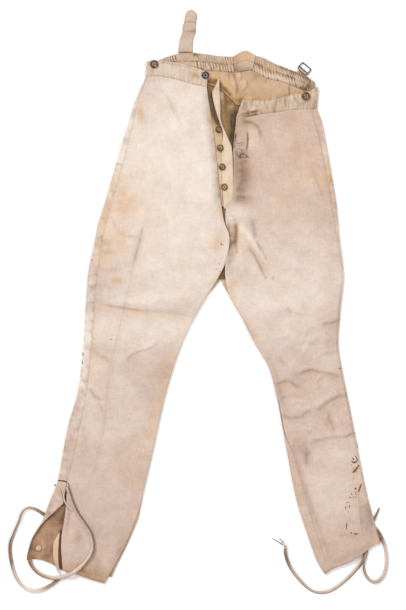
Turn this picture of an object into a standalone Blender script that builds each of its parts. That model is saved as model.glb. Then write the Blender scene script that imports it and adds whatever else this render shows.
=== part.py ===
"""Old buff-coloured breeches, laid on their back on a table.

The breeches have a buttoned fly, brace buttons, a back waist drawn in by two rows of gathers, a cinch
strap with its wire buckle, and long narrow legs that close at the ankle with a vent, a covered button
and tapes. They are spread flat: each leg is a back panel on the table and a front panel on top of it.

All sizes and places are in millimetres. +X is towards the wearer's left, +Y towards the waist and +Z up
from the table, and the origin is on the table under the middle of the breeches.
"""

import math
from collections import namedtuple

import bmesh
import bpy
from mathutils import Vector
from mathutils.bvhtree import BVHTree

MM = 0.001

# Cloth.
WALL = 1.5            # body cloth, napped cotton as thick as chamois
THIN = 1.2            # facings, linings and the cinch strap
FINE = 1.0            # tapes and the gathered back waist
SEAM = 0.5            # open width of a seam between two panels
GAP = 0.3             # between a piece and what it lies on

# Flattened folds along the sides of a leg.
FOLD_RADIUS = 2.5     # outer radius of the cloth turned over at a fold
INSEAM_TURN = 12.0    # degrees the back panel turns up to the inner leg seam
FRONT_TURN = 95.0     # degrees the front panel turns down to the same seam
CLEAR_TURN = 20.0     # degrees more by which the front has drawn back from the fold
LEAST_ARC = 2.8       # length of an edge that doesn't turn
LEAST_WRAP = 0.2      # flat length past a turn
PILLOW = 2.0          # how far the middle of a leg stands above its folds
PILLOW_REACH = 25.0   # distance over which it rises

# Heights of the layers in the open fly and at the waist.
BAND_FLOOR = 1.9      # underside of the gathered back waist, above the strap
LINING_TOP = WALL + GAP + THIN
STAND_TOP = LINING_TOP + GAP + THIN
RIGHT_FLY_LIFT = 1.6  # free fly edge of the right front above the folds
LEFT_FLY_LIFT = 3.2   # the left one lies over the fly underlap as well

# Gathers of the back waist.
GATHER_PITCH = 4.8
GATHER_HEIGHT = 0.7
GATHER_SAMPLES = 4
STRAP_PATCH = (-51.0, -19.0)  # stretch held smooth by the strap sewn behind it

# Buckle of the cinch strap, a wire frame with a middle bar.
BUCKLE_CORNER = (197.7, 468.0)   # outer corner nearest the centre back
BUCKLE_ANGLE = -40.0             # direction of its long bars in degrees
BUCKLE_LENGTH = 22.7
BUCKLE_WIDTH = 15.0
BUCKLE_BAR = 10.4                # middle bar from the outer one
WIRE_RADIUS = 1.0
CHAPE_WIDTH = 16.0
CHAPE_TAIL = 14.0                # length of the chape behind its bar
CHAPE_LAP = 1.6                  # length of its turned end

TAPE_WIDTH = 7.0

Row = namedtuple("Row", "name outer front back seam vent turn back_turn inner_seam front_turn sag")
Fold = namedtuple("Fold", "name start bend end width height")
Finish = namedtuple("Finish", "colour roughness metallic")

# Sections across a leg, from the waist to the hem. outer is the fold along the side, front and back
# are the inner edges of the two panels (back is None where it follows the centre back seam), seam is
# the distance from the fold to the side seam, vent is the open distance past it, turn, back_turn and
# front_turn are how far the back panel turns over at the outer and inner fold and the front panel at
# the inner fold, inner_seam is the distance from the inner fold to a seam on top of it, and sag is
# how far the middle of the section hangs below its ends.
RIGHT_LEG = (
    Row("waist seam", (-116, 437), (6, 416.5), None, 3, 0, 180, 0, 0, 0, 0),
    Row("hip", (-136, 393), (10, 387), None, 4, 0, 180, 0, 0, 0, 0),
    Row("upper fly", (-154, 337), (18, 337), None, 10, 0, 180, 0, 0, 0, 0),
    Row("mid fly", (-174, 269), (26, 269), None, 13, 0, 180, 0, 0, 0, 0),
    Row("lower fly", (-196, 193), (34, 193), None, 14, 0, 180, 0, 0, 0, 0),
    Row("fly foot", (-210, 149), (41, 149), None, 16, 0, 180, 0, 0, 0, 0),
    Row("crotch curve", (-216, 122), (51, 122), None, 16, 0, 180, 0, 0, 0, 0),
    Row("crotch bulge", (-220, 100), (50.5, 98), None, 16, 0, 180, 0, 0, 0, 0),
    Row("crotch", (-228, 66), (43, 66), None, 18, 0, 180, 0, 0, 0, 0),
    Row("crotch fork", (-232, 37), (27, 34), None, 19, 0, 180, 0, 0, 30, 0),
    Row("thigh", (-235, -3), (4, -3), (4, -3), 18, 0, 180, INSEAM_TURN, 0, FRONT_TURN, 0),
    Row("above knee", (-238, -59), (-28, -59), (-28, -59), 17, 0, 180, INSEAM_TURN, 0, FRONT_TURN, 0),
    Row("knee", (-242, -119), (-53, -119), (-53, -119), 15, 0, 180, INSEAM_TURN, 0, FRONT_TURN, 0),
    Row("below knee", (-252, -191), (-75, -191), (-75, -191), 17, 0, 180, INSEAM_TURN, 0, FRONT_TURN, 0),
    Row("calf", (-270, -255), (-90, -255), (-90, -255), 23, 0, 180, INSEAM_TURN, 0, FRONT_TURN, 0),
    Row("shin", (-282, -315), (-103, -315), (-103, -315), 23, 0, 180, INSEAM_TURN, 0, FRONT_TURN, 0),
    Row("vent top", (-292, -369), (-117, -375), (-117, -375), 18, 0, 180, INSEAM_TURN, 0, FRONT_TURN, 0),
    Row("vent upper", (-308, -411), (-128, -423), (-126, -421), 28, 6, 180, INSEAM_TURN, 0, 90, 0),
    Row("vent mid", (-322, -447), (-140, -457), (-131, -445), 6, 37, 150, 10, 0, 80, 0),
    Row("vent lower", (-342, -481), (-156, -497), (-146, -481), 3, 55, 0, 6, 0, 80, 0),
    Row("above hem", (-352, -513), (-180, -541), (-170, -531), 3, 67, 0, 6, 0, 80, 0),
    Row("hem", (-354, -527), (-198, -573), (-184, -561), 3, 73, 0, 6, 0, 80, 0),
)
LEFT_LEG = (
    Row("waist seam", (226, 374), (65, 357), None, 12, 0, 180, 0, 0, 0, 0),
    Row("hip", (236, 349), (63, 335), None, 15, 0, 180, 0, 0, 0, 0),
    Row("upper fly", (246, 299), (59, 299), None, 11, 0, 180, 0, 0, 0, 0),
    Row("mid fly", (256, 241), (60, 241), None, 10, 0, 180, 0, 0, 0, 0),
    Row("lower fly", (264, 194), (57.5, 196), None, 10, 0, 180, 0, 0, 0, 0),
    Row("fly point", (266, 177), (45.5, 179), None, 9, 0, 180, 0, 0, 0, 0),
    Row("fly foot", (269, 147), (48, 149), None, 7, 0, 180, 0, 0, 0, 0),
    Row("crotch curve", (271, 120), (54, 122), None, 5, 0, 180, 0, 0, 0, 0),
    Row("crotch bulge", (274, 97), (52.5, 98), None, 4, 0, 180, 0, 0, 0, 0),
    Row("crotch", (278, 66), (44.5, 66), None, 4, 0, 180, 0, 0, 0, 0),
    Row("crotch fork", (280, 34), (43.5, 34), None, 3, 0, 180, 0, 0, 30, 0),
    Row("thigh", (276, -1), (52, -1), (52, -1), 3, 0, 180, INSEAM_TURN, 0, FRONT_TURN, 0),
    Row("thigh dip", (272, -43), (76, -43), (76, -43), 3, 0, 180, INSEAM_TURN, 0, FRONT_TURN, 0),
    Row("above knee", (269, -95), (102, -95), (102, -95), 3, 0, 180, INSEAM_TURN, 0, FRONT_TURN, 0),
    Row("knee", (276, -143), (130, -143), (130, -143), 3, 0, 180, INSEAM_TURN, 0, FRONT_TURN, 0),
    Row("below knee", (288, -203), (146, -203), (146, -203), 3, 0, 180, INSEAM_TURN, 0, FRONT_TURN, 0),
    Row("calf", (300, -263), (157, -263), (157, -263), 3, 0, 180, 140, 0, 30, 0),
    Row("shin", (310, -315), (167, -315), (167, -315), 3, 0, 180, 180, 12, 0, 0),
    Row("ankle", (322, -375), (178, -375), (178, -375), 3, 0, 180, 180, 19, 0, 0),
    Row("low ankle", (334, -425), (190, -425), (190, -425), 3, 0, 180, 180, 21, 0, 1),
    Row("cuff", (344, -459), (208, -479), (208, -479), 3, 0, 180, 180, 19, 0, 3),
    Row("above hem", (352, -481), (226, -529), (226, -529), 3, 0, 180, 180, 18, 0, 5),
    Row("hem", (354, -492), (242, -555), (242, -555), 3, 0, 180, 180, 17, 0, 7),
)

# Curves across the waist as (x, y) points, and the centre back seam as (y, x) points.
FRONT_RIGHT_SEAM = ((-116, 438), (-97, 439), (-66, 435), (-36, 427), (-14, 421), (6, 417))
FRONT_RIGHT_TOP = ((-114, 469), (-97, 471), (-66, 468), (-38, 462), (-14, 455), (6, 448))
FRONT_LEFT_SEAM = ((65, 358), (92, 359), (120, 364), (146, 367), (170, 371), (192, 373), (226, 375))
FRONT_LEFT_TOP = ((76, 392), (96, 391), (116, 393), (142, 397), (168, 403), (192, 405), (214, 412),
                  (228, 419))
BACK_SEAM = ((-116, 438), (-84, 447), (-44, 454), (4, 451), (32, 449), (62, 447), (80, 450), (96, 451),
             (114, 441), (130, 434), (150, 430), (168, 424), (184, 417), (198, 411), (211, 399),
             (220, 376), (228, 371))
BACK_TOP = ((-112, 464), (-84, 474), (-68, 480), (-50, 485), (-22, 486), (2, 484), (32, 480), (58, 479),
            (68, 484), (80, 490), (90, 489), (104, 481), (116, 478), (128, 472), (144, 464), (168, 455),
            (182, 449.5), (195, 444.5), (208, 438), (224, 426))
LINING_EDGE = ((-112, 412), (-78, 419), (-48, 425), (-18, 429), (8, 424), (22, 419), (34, 412), (45, 403),
               (58, 391), (66, 382), (92, 381), (122, 385), (152, 388), (182, 391), (208, 394))
CENTRE_BACK = ((34, 34), (68, 38.5), (110, 43), (149, 45), (200, 49), (269, 54), (337, 57), (393, 60),
               (447, 62))

# The largest folds pressed or crumpled into the two fronts: a start, a bend and an end, the distance
# over which the cloth rises to the ridge, and its height (a trough is negative).
FOLDS = (
    Fold("right long crease", (-128, 130), (-175, -70), (-205, -235), 26, 1.6),
    Fold("right shin crease", (-198, -200), (-203, -270), (-219, -359), 20, 1.2),
    Fold("right knee fold", (-95, -88), (-118, -112), (-151, -130), 14, 1.8),
    Fold("right waist fold", (-82, 408), (-66, 385), (-50, 350), 16, 1.4),
    Fold("right hem sweep", (-180, -430), (-200, -480), (-215, -530), 22, 1.4),
    Fold("left crotch fold", (66, 150), (95, 119), (121, 68), 18, 3.0),
    Fold("left second fold", (140, 96), (146, 60), (148, 20), 20, 1.6),
    Fold("left fly fold", (88, 335), (90, 290), (84, 250), 12, 1.4),
    Fold("left knee fold", (186, -158), (215, -152), (270, -162), 14, 1.8),
    Fold("left calf fold", (165, -242), (210, -236), (280, -200), 16, 2.0),
    Fold("left shin fold", (222, -300), (252, -286), (296, -274), 14, 1.8),
)

# Routes of the ankle tapes as (x, y, height above the table), laid from the garment outwards.
TAPE_RIGHT_INNER = (
    (-272, -380, 0), (-268, -392, 0), (-263, -407, 0), (-256, -424, 0), (-248, -438, 0), (-238, -452, 0),
    (-228, -468, 0), (-222, -486, 0), (-221, -504, 0), (-227, -522, 0), (-239, -538, 0), (-253, -550, 0),
    (-270, -558, 0), (-288, -562, 0), (-304, -562, 0), (-320, -557, 0), (-334, -548, 0), (-346, -534, 0),
)
TAPE_RIGHT_OUTER = (
    (-321, -435, 0), (-332, -428, 0), (-342, -424, 0), (-350, -423, 0), (-358, -427, 0), (-364, -436, 0),
    (-368, -449, 0), (-374, -463, 0), (-380, -478, 0), (-385, -490, 0), (-387, -503, 0), (-386, -519, 0),
    (-383, -535, 0), (-379, -549, 0), (-373, -563, 0), (-364, -576, 0), (-352, -585, 0), (-338, -588, 0),
    (-324, -586, 0), (-312, -581, 0), (-302, -575, 0), (-293, -568, 0), (-285, -560, 0),
)
TAPE_LEFT_LONG = (
    (321, -523, 0), (314, -534, 0), (302, -549, 0), (286, -565, 0), (270, -578, 0), (254, -588, 0),
    (238, -592, 0), (220, -590, 0), (206, -581, 0), (194, -569, 0), (184, -557, 0), (174, -543, 0),
    (167, -528, 0), (163, -514, 0), (162.5, -504, 0),
)
TAPE_LEFT_LOOP = (
    (327, -518, 0), (323, -528, 0), (321, -539, 0), (323, -552, 0), (329, -563, 0), (338, -569.5, 0),
    (348, -568.5, 0), (357, -560, 0), (363, -547, 0), (365.5, -531, 0), (364.5, -514, 0), (362, -499, 0),
    (357.5, -487, 0),
)
TAPE_LEFT_STUB = ((343.2, -444, 0), (345, -437, 0), (348, -430, 0), (351, -423, 0))
TAPE_RIGHT_STRAND = (
    (-284, -384, 0), (-281, -394, 0), (-279, -404, 0), (-276, -412, 0), (-270, -420, 0), (-263, -428, 0),
)
TAPE_TAILS = (
    ((158, -496, 1.0), (150, -491.5, 0.4), (143, -487.5, 0), (136.5, -484, 0)),
    ((160, -493, 2.4), (157, -489.5, 1.6), (153.5, -486, 0.8), (150.5, -483, 0.4)),
)

KNOT_RADII = (4.4, 4.0, 3.2)
KNOT_PLACE = (162.7, -499.4, 3.2)

# Buttons: name, x, y, diameter.
FLY_BUTTONS = (
    ("fly_button_1", 30, 333, 13.5), ("fly_button_2", 33, 296, 13.5),
    ("fly_button_3", 37, 258, 13.5), ("fly_button_4", 41, 218, 13.5),
)
WAIST_BUTTON = ("waist_button", 3.5, 441, 15.0)
BRACE_BUTTONS = (("brace_button_right", -99, 463, 16.5), ("brace_button_left", 204, 399, 16.5))
ANKLE_BUTTON = ("ankle_button", -330, -503, 12.0)

# Number of faces along and across the panels.
LONG_INTERVAL = 62.0
BEND_STEPS = 4
FLOOR_STEPS = 2
TOP_STEPS = 12

FINISHES = {
    "right_cloth": Finish((0.80, 0.70, 0.60), 0.9, 0.0),
    "left_cloth": Finish((0.72, 0.55, 0.44), 0.9, 0.0),
    "waist_cloth": Finish((0.70, 0.55, 0.45), 0.9, 0.0),
    "lining": Finish((0.62, 0.42, 0.22), 0.9, 0.0),
    "fly_cream": Finish((0.80, 0.64, 0.46), 0.9, 0.0),
    "facing": Finish((0.33, 0.22, 0.14), 0.95, 0.0),
    "gusset": Finish((0.10, 0.06, 0.04), 0.95, 0.0),
    "tape": Finish((0.72, 0.60, 0.50), 0.9, 0.0),
    "brass": Finish((0.32, 0.22, 0.12), 0.45, 0.8),
    "grey_metal": Finish((0.20, 0.20, 0.22), 0.4, 0.8),
    "black_wire": Finish((0.06, 0.06, 0.06), 0.45, 0.9),
}


# ---------------------------------------------------------------- smooth curves

def mix(a, b, fraction):
    """Blend two numbers."""
    return a + (b - a) * fraction


def clamp(value, low=0.0, high=1.0):
    """Limit a number."""
    return max(low, min(high, value))


def ease(fraction):
    """Smooth step from 0 to 1."""
    fraction = clamp(fraction)
    return fraction * fraction * (3.0 - 2.0 * fraction)


def through(points, position):
    """Point on a smooth curve through points, position counted in points."""
    last = len(points) - 1
    start = min(int(clamp(position, 0, last)), last - 1)
    f = clamp(position, 0, last) - start
    a, b = Vector(points[start]), Vector(points[start + 1])
    leaving = (b - Vector(points[start - 1])) / 2 if start > 0 else b - a
    arriving = (Vector(points[start + 2]) - a) / 2 if start + 2 <= last else b - a
    return (a * (1 + 2 * f) * (1 - f) ** 2 + b * f * f * (3 - 2 * f)
            + leaving * f * (1 - f) ** 2 - arriving * f * f * (1 - f))


def curve_at(points, x):
    """Height y of a waist curve, given as (x, y) points, at a place x."""
    for number, ((x0, _), (x1, _)) in enumerate(zip(points, points[1:])):
        if x <= x1 or number == len(points) - 2:
            return through([(y,) * 2 for _, y in points], number + clamp((x - x0) / (x1 - x0)))[0]
    return points[-1][1]


# ---------------------------------------------------------------- legs

def rise(distance):
    """Part of the pillow's height reached at a distance from a fold."""
    return 1.0 - math.exp(-max(distance, 0.0) / PILLOW_REACH)


def bend_point(turn, part, flat=0.0):
    """How far along and up a panel is, part of the way round a turn in degrees, or flat past it."""
    angle = math.radians(turn)
    arc = max(FOLD_RADIUS * angle, LEAST_ARC)
    if angle < 0.01:
        return arc * part + flat, 0.0
    radius = arc / angle
    along = radius * math.sin(angle * part) + flat * math.cos(angle)
    return along, radius * (1.0 - math.cos(angle * part)) + flat * math.sin(angle)


def reach_of(turn, flat):
    """How far a turned edge reaches past the start of its turn."""
    return bend_point(turn, min(1.0, 90.0 / max(turn, 90.0)), flat if turn < 90.0 else 0.0)[0]


def ridge(fold, x, y):
    """Height of one fold at a place."""
    best = 1.0e9
    along = 0.0
    spans = ((fold.start, fold.bend, 0.0), (fold.bend, fold.end, 0.5))
    for start, end, offset in spans:
        span = Vector(end) - Vector(start)
        part = clamp((Vector((x, y)) - Vector(start)).dot(span) / span.length_squared)
        distance = (Vector(start) + span * part - Vector((x, y))).length
        if distance < best:
            best = distance
            along = offset + part / 2
    if best >= fold.width:
        return 0.0
    fade = ease(along / 0.2) * ease((1.0 - along) / 0.2)
    return fold.height * fade * (1.0 - best / fold.width) ** 2 * (1.0 + 2.0 * best / fold.width)


def relief(x, y):
    """Height that all the folds add at a place."""
    return sum(ridge(fold, x, y) for fold in FOLDS)


class Leg:
    """One leg as sections between which its two panels are lofted."""

    def __init__(self, rows, side, front_seam, fly_lift):
        self.rows = rows
        self.side = side
        self.front_seam = front_seam
        self.fly_lift = fly_lift
        self.stations = self.make_stations()

    def make_stations(self):
        """Positions of the lofted sections: each row, and one between rows that are far apart."""
        stations = []
        for number, (upper, lower) in enumerate(zip(self.rows, self.rows[1:])):
            stations.append(float(number))
            if (Vector(upper.outer) - Vector(lower.outer)).length > LONG_INTERVAL:
                stations.append(number + 0.5)
        return stations + [float(len(self.rows) - 1)]

    def value(self, name, position):
        """A row's number, blended between two rows."""
        start = min(int(position), len(self.rows) - 2)
        upper, lower = (getattr(self.rows[n], name) for n in (start, start + 1))
        return mix(upper, lower, position - start)

    def row_point(self, number, part, back):
        """Point of one row's section, part of the way from the outer fold to the inner edge."""
        row = self.rows[number]
        inner = row.front
        if back:
            inner = row.back or (self.back_edge(row.front[1]), row.front[1])
            if number == 0:
                inner = (self.back_edge(BACK_SEAM[5][1]), BACK_SEAM[5][1])
        point = Vector(row.outer).lerp(Vector(inner), part)
        if number == 0:
            point.y = curve_at(BACK_SEAM if back else self.front_seam, point.x) - SEAM
        point.y -= row.sag * 4.0 * part * (1.0 - part)
        return point

    def back_edge(self, y):
        """Edge of the back panel along the centre back seam."""
        return curve_at(CENTRE_BACK, y) + self.side * SEAM / 2

    def place(self, position, part, back=False):
        """Point of the section at any position, smooth from row to row."""
        first = max(0, min(int(position), len(self.rows) - 2) - 1)
        last = min(len(self.rows) - 1, first + 4)
        points = [self.row_point(n, part, back) for n in range(first, last + 1)]
        return through(points, position - first)

    def width(self, position, back=False):
        """Straight width of the section."""
        return (self.place(position, 1.0, back) - self.place(position, 0.0, back)).length

    def top(self, position, outer, inner):
        """Height of the upper layer at distances from the outer fold and the inner edge."""
        joined = clamp((self.value("back_turn", position) + self.value("front_turn", position)) / FRONT_TURN)
        free = self.fly_lift / PILLOW
        edge = mix(free + (1.0 - free) * ease(inner / 60.0), rise(inner), joined)
        return 2.0 * FOLD_RADIUS + PILLOW * rise(outer - FOLD_RADIUS) * edge

    def surface(self, position, distance, drop=0.0):
        """Point of the upper layer at a distance from the outer fold."""
        width = self.width(position)
        place = self.place(position, clamp(distance / width))
        shoulder = clamp(distance / 12.0) * clamp((width - distance) / 12.0)
        height = self.top(position, distance, width - distance) + relief(*place) * shoulder
        return Vector((place.x, place.y, height - drop))

    def back_point(self, position, kind, part):
        """Point of the back panel's outer surface; kind names the stretch of its section."""
        turn = self.value("turn", position)
        back_turn = self.value("back_turn", position)
        wrap = max(self.value("seam", position) - FOLD_RADIUS, LEAST_WRAP)
        inner_wrap = max(self.value("inner_seam", position) - FOLD_RADIUS, LEAST_WRAP)
        width = self.width(position, back=True)
        outer_reach = reach_of(turn, wrap)
        inner_reach = reach_of(back_turn, inner_wrap)
        if kind == "floor":
            distance = mix(width - inner_reach, outer_reach, part)
            place = self.place(position, distance / width, back=True)
            return Vector((place.x, place.y, 0.0))
        bend = turn if kind == "outer" else back_turn
        flat = wrap if kind == "outer" else inner_wrap
        over = bend * min(part, 1.0) > 90.0
        along, height = bend_point(bend, min(part, 1.0), flat * max(part - 1.0, 0.0))
        span = self.width(position) if over else width
        distance = outer_reach - along if kind == "outer" else span - inner_reach + along
        place = self.place(position, distance / span, back=not over)
        if over:
            lift = self.surface(position, distance).z - 2.0 * FOLD_RADIUS
            height += lift * ease((height - FOLD_RADIUS) / FOLD_RADIUS)
        return Vector((place.x, place.y, height))

    def front_point(self, position, part, bend):
        """Point of the front panel's outer surface, across the top or part of the inner bend."""
        width = self.width(position)
        back_turn = self.value("back_turn", position)
        front_turn = self.value("front_turn", position)
        drawn_back = clamp((back_turn - INSEAM_TURN) / CLEAR_TURN)
        tuck = drawn_back * (max(self.value("inner_seam", position), FOLD_RADIUS + LEAST_WRAP) + SEAM)
        reach = reach_of(front_turn, 0.0)
        start = max(self.value("seam", position), FOLD_RADIUS + LEAST_WRAP)
        start += max(self.value("vent", position), SEAM)
        if not bend:
            return self.surface(position, mix(start, width - reach - tuck, part))
        along, drop = bend_point(front_turn, part)
        return self.surface(position, width - reach - tuck + along, drop)


RIGHT = Leg(RIGHT_LEG, -1, FRONT_RIGHT_SEAM, RIGHT_FLY_LIFT)
LEFT = Leg(LEFT_LEG, 1, FRONT_LEFT_SEAM, LEFT_FLY_LIFT)


# ---------------------------------------------------------------- objects

def clear_scene():
    """Remove every object, material and collection."""
    for item in list(bpy.data.objects):
        bpy.data.objects.remove(item, do_unlink=True)
    for collection in list(bpy.data.collections):
        bpy.data.collections.remove(collection)


def make_material(name):
    """Principled material of a named finish."""
    existing = bpy.data.materials.get(name)
    if existing:
        return existing
    finish = FINISHES[name]
    material = bpy.data.materials.new(name)
    material.use_nodes = True
    shader = material.node_tree.nodes["Principled BSDF"]
    shader.inputs["Base Color"].default_value = (*finish.colour, 1.0)
    shader.inputs["Roughness"].default_value = finish.roughness
    shader.inputs["Metallic"].default_value = finish.metallic
    return material


def add_object(name, mesh, finish):
    """Put a mesh in the garment's collection with its finish."""
    mesh.materials.append(make_material(finish))
    item = bpy.data.objects.new(name, mesh)
    GARMENT.objects.link(item)
    return item


def cloth(name, columns, rows, point, thickness, finish, flip=False):
    """Wall of cloth: a flat grid of columns by rows moved onto point(column, row), then thickened."""
    shape = bmesh.new()
    bmesh.ops.create_grid(shape, x_segments=columns, y_segments=rows, size=1.0)
    for vertex in shape.verts:
        column = round((vertex.co.x + 1.0) / 2.0 * columns)
        row = round((vertex.co.y + 1.0) / 2.0 * rows)
        vertex.co = Vector(point(column, row)) * MM
    if flip:
        bmesh.ops.reverse_faces(shape, faces=shape.faces)
    mesh = bpy.data.meshes.new(name)
    shape.to_mesh(mesh)
    shape.free()
    mesh.shade_smooth()
    item = add_object(name, mesh, finish)
    wall = item.modifiers.new("wall", "SOLIDIFY")
    wall.thickness = thickness * MM
    wall.offset = -1.0
    return item


def support(items, x, y, reach):
    """Highest point of some objects within a reach of a place, or the table."""
    height = 0.0
    depsgraph = bpy.context.evaluated_depsgraph_get()
    for item in items:
        if item.name not in support.trees:
            support.trees[item.name] = BVHTree.FromObject(item, depsgraph)
        tree = support.trees[item.name]
        for ring, count in ((0.0, 1), (0.5, 6), (1.0, 10)):
            for step in range(count):
                angle = 2.0 * math.pi * step / count
                spot = Vector((x + ring * reach * math.cos(angle), y + ring * reach * math.sin(angle), 60.0))
                hit = tree.ray_cast(spot * MM, Vector((0.0, 0.0, -1.0)))[0]
                if hit:
                    height = max(height, hit.z / MM)
    return height


support.trees = {}


# ---------------------------------------------------------------- leg panels

def back_panel(name, leg, finish):
    """Back of a leg: flat on the table and turned over at the folds."""
    section = [("inner", 2.0)]
    section += [("inner", 1.0 - step / BEND_STEPS) for step in range(BEND_STEPS)]
    section += [("floor", step / FLOOR_STEPS) for step in range(FLOOR_STEPS)]
    section += [("outer", step / BEND_STEPS) for step in range(BEND_STEPS)]
    section += [("outer", 1.0), ("outer", 2.0)]

    def point(column, row):
        return leg.back_point(leg.stations[-1 - row], *section[column])

    return cloth(name, len(section) - 1, len(leg.stations) - 1, point, WALL, finish, flip=leg.side > 0)


def front_panel(name, leg, finish):
    """Front of a leg: over the back, and turned down to the inner seam."""
    def point(column, row):
        position = leg.stations[-1 - row]
        if column <= TOP_STEPS:
            return leg.front_point(position, column / TOP_STEPS, bend=False)
        return leg.front_point(position, (column - TOP_STEPS) / BEND_STEPS, bend=True)

    columns = TOP_STEPS + BEND_STEPS
    return cloth(name, columns, len(leg.stations) - 1, point, WALL, finish, flip=leg.side > 0)


# ---------------------------------------------------------------- waist

def waist_piece(name, bottom, top, ends, columns, rows, height, thickness, finish):
    """Piece between two waist curves; ends are its (bottom, top) places at either side."""
    (left_low, left_high), (right_low, right_high) = ends

    def point(column, row):
        across, up = column / columns, row / rows
        low_x = mix(left_low, right_low, across)
        high_x = mix(left_high, right_high, across)
        x = mix(low_x, high_x, up)
        y = mix(curve_at(bottom, low_x) + SEAM / 2, curve_at(top, high_x), up)
        return x, y, height(x, y, up)

    return cloth(name, columns, rows, point, thickness, finish)


def waistband_front(name, leg, bottom, top, ends, columns, finish):
    """Front waistband, turned down at the side of the body."""
    outer = ends[0][0] if leg.side < 0 else ends[1][0]
    fly = ends[1][0] if leg.side < 0 else ends[0][0]

    def height(x, _, __):
        distance = abs(x - outer)
        turned = math.sqrt(max(0.0, 1.0 - (1.0 - min(distance / FOLD_RADIUS, 1.0)) ** 2))
        return leg.top(0.0, distance + FOLD_RADIUS, abs(x - fly)) - FOLD_RADIUS * (1.0 - turned)

    return waist_piece(name, bottom, top, ends, columns, 3, height, WALL, finish)


def gather_depth(x):
    """Part of the gathers' height at a place: smooth over the strap and towards the sides."""
    low, high = STRAP_PATCH
    patch = clamp(max(low - x, x - high) / 6.0)
    return patch * clamp((x + 92.0) / 16.0) * clamp((224.0 - x) / 12.0)


def gathered_band(name, ends, finish):
    """Half of the back waist, fluted by its gathers, from curve to curve."""
    length = ends[1][0] - ends[0][0]
    count = round(length / GATHER_PITCH)

    def height(x, _, __):
        wave = math.sin(2.0 * math.pi * count * (x - ends[0][0]) / length)
        return BAND_FLOOR + FINE + GATHER_HEIGHT * (1.0 + wave) * gather_depth(x)

    columns = count * GATHER_SAMPLES
    return waist_piece(name, BACK_SEAM, BACK_TOP, ends, columns, 2, height, FINE, finish)


def lining(name, ends, columns, finish):
    """Lining of the back below the gathers."""
    def height(*_):
        return LINING_TOP

    hem = [(x, y) for x, y in LINING_EDGE]
    top = [(x, y - SEAM) for x, y in BACK_SEAM]
    return waist_piece(name, hem, top, ends, columns, 1, height, THIN, finish)


# ---------------------------------------------------------------- strips

def strip(name, left, right, steps, across, thickness, finish):
    """Strip of cloth between two edges, each a list of (x, y, height of its top) points."""
    last = len(left) - 1

    def point(column, row):
        position = last * (1.0 - row / steps)
        return through(left, position).lerp(through(right, position), column / across)

    return cloth(name, across, steps, point, thickness, finish)


def tape(name, route, under, finish, width=TAPE_WIDTH, taper=0.0):
    """Ribbon along a route on the table, laid over the objects under it."""
    length = sum((Vector(b) - Vector(a)).length for a, b in zip(route, route[1:]))
    steps = max(4, round(length / (width * 1.1)))
    last = len(route) - 1

    def point(column, row):
        position = last * row / steps
        here = through(route, position)
        ahead = through(route, min(position + 0.05, last)) - through(route, max(position - 0.05, 0.0))
        aside = Vector((-ahead.y, ahead.x, 0.0)).normalized()
        half = width / 2.0 * (1.0 - taper * row / steps)
        spot = here + aside * half * (1 - column)
        lift = support(under, here.x, here.y, width * 1.15)
        base = max(lift + GAP + 0.2 if lift > 0.0 else 0.0, here.z)
        return spot.x, spot.y, base + FINE

    return cloth(name, 2, steps, point, FINE, finish)


# ---------------------------------------------------------------- metal

def turned(name, profile, segments, place, finish):
    """Turned piece from a profile of (radius, height) points, from the top centre outwards."""
    mesh = bpy.data.meshes.new(name)
    points = [Vector((radius * MM, 0.0, height * MM)) for radius, height in profile]
    mesh.from_pydata(points, [(n, n + 1) for n in range(len(points) - 1)], [])
    item = add_object(name, mesh, finish)
    item.location = Vector(place) * MM
    spin = item.modifiers.new("turn", "SCREW")
    spin.steps = segments
    spin.render_steps = segments
    spin.use_merge_vertices = True
    spin.merge_threshold = 0.00002
    spin.use_smooth_shade = True
    return item


def button(name, x, y, diameter, under, finish):
    """Sewn button: a dished middle within a rolled rim."""
    radius = diameter / 2.0
    profile = ((0.0, 1.7), (radius * 0.45, 1.6), (radius * 0.68, 2.4), (radius * 0.9, 2.3),
               (radius, 1.4), (radius * 0.86, 0.1), (0.0, 0.0))
    base = support(under, x, y, radius) + GAP
    return turned(name, profile, 16, (x, y, base), finish)


def buckle_axes():
    """Unit vectors of the buckle: along its bars, and from the outer bar towards the garment."""
    angle = math.radians(BUCKLE_ANGLE)
    return Vector((math.cos(angle), math.sin(angle))), Vector((math.sin(angle), -math.cos(angle)))


def chape_place(along, outwards):
    """Place on the table from the middle of the chape's bar, outwards being away from the garment."""
    bars, inwards = buckle_axes()
    middle = Vector(BUCKLE_CORNER) + bars * BUCKLE_LENGTH / 2 + inwards * BUCKLE_WIDTH
    return middle + bars * along - inwards * outwards


def wire(name, points, cyclic, finish):
    """Round wire through points."""
    data = bpy.data.curves.new(name, "CURVE")
    data.dimensions = "3D"
    data.bevel_depth = WIRE_RADIUS * MM
    data.bevel_resolution = 2
    data.use_fill_caps = True
    spline = data.splines.new("POLY")
    spline.points.add(len(points) - 1)
    for knot, point in zip(spline.points, points):
        knot.co = (*(Vector(point) * MM), 1.0)
    spline.use_cyclic_u = cyclic
    data.materials.append(make_material(finish))
    item = bpy.data.objects.new(name, data)
    GARMENT.objects.link(item)
    return item


def to_mesh(item):
    """Replace a curve object by its mesh, with the caps welded."""
    depsgraph = bpy.context.evaluated_depsgraph_get()
    mesh = bpy.data.meshes.new_from_object(item.evaluated_get(depsgraph))
    shape = bmesh.new()
    shape.from_mesh(mesh)
    bmesh.ops.remove_doubles(shape, verts=shape.verts, dist=0.00001)
    shape.to_mesh(mesh)
    shape.free()
    name, matrix = item.name, item.matrix_world.copy()
    bpy.data.objects.remove(item, do_unlink=True)
    solid = bpy.data.objects.new(name, mesh)
    solid.matrix_world = matrix
    GARMENT.objects.link(solid)
    return solid


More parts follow.
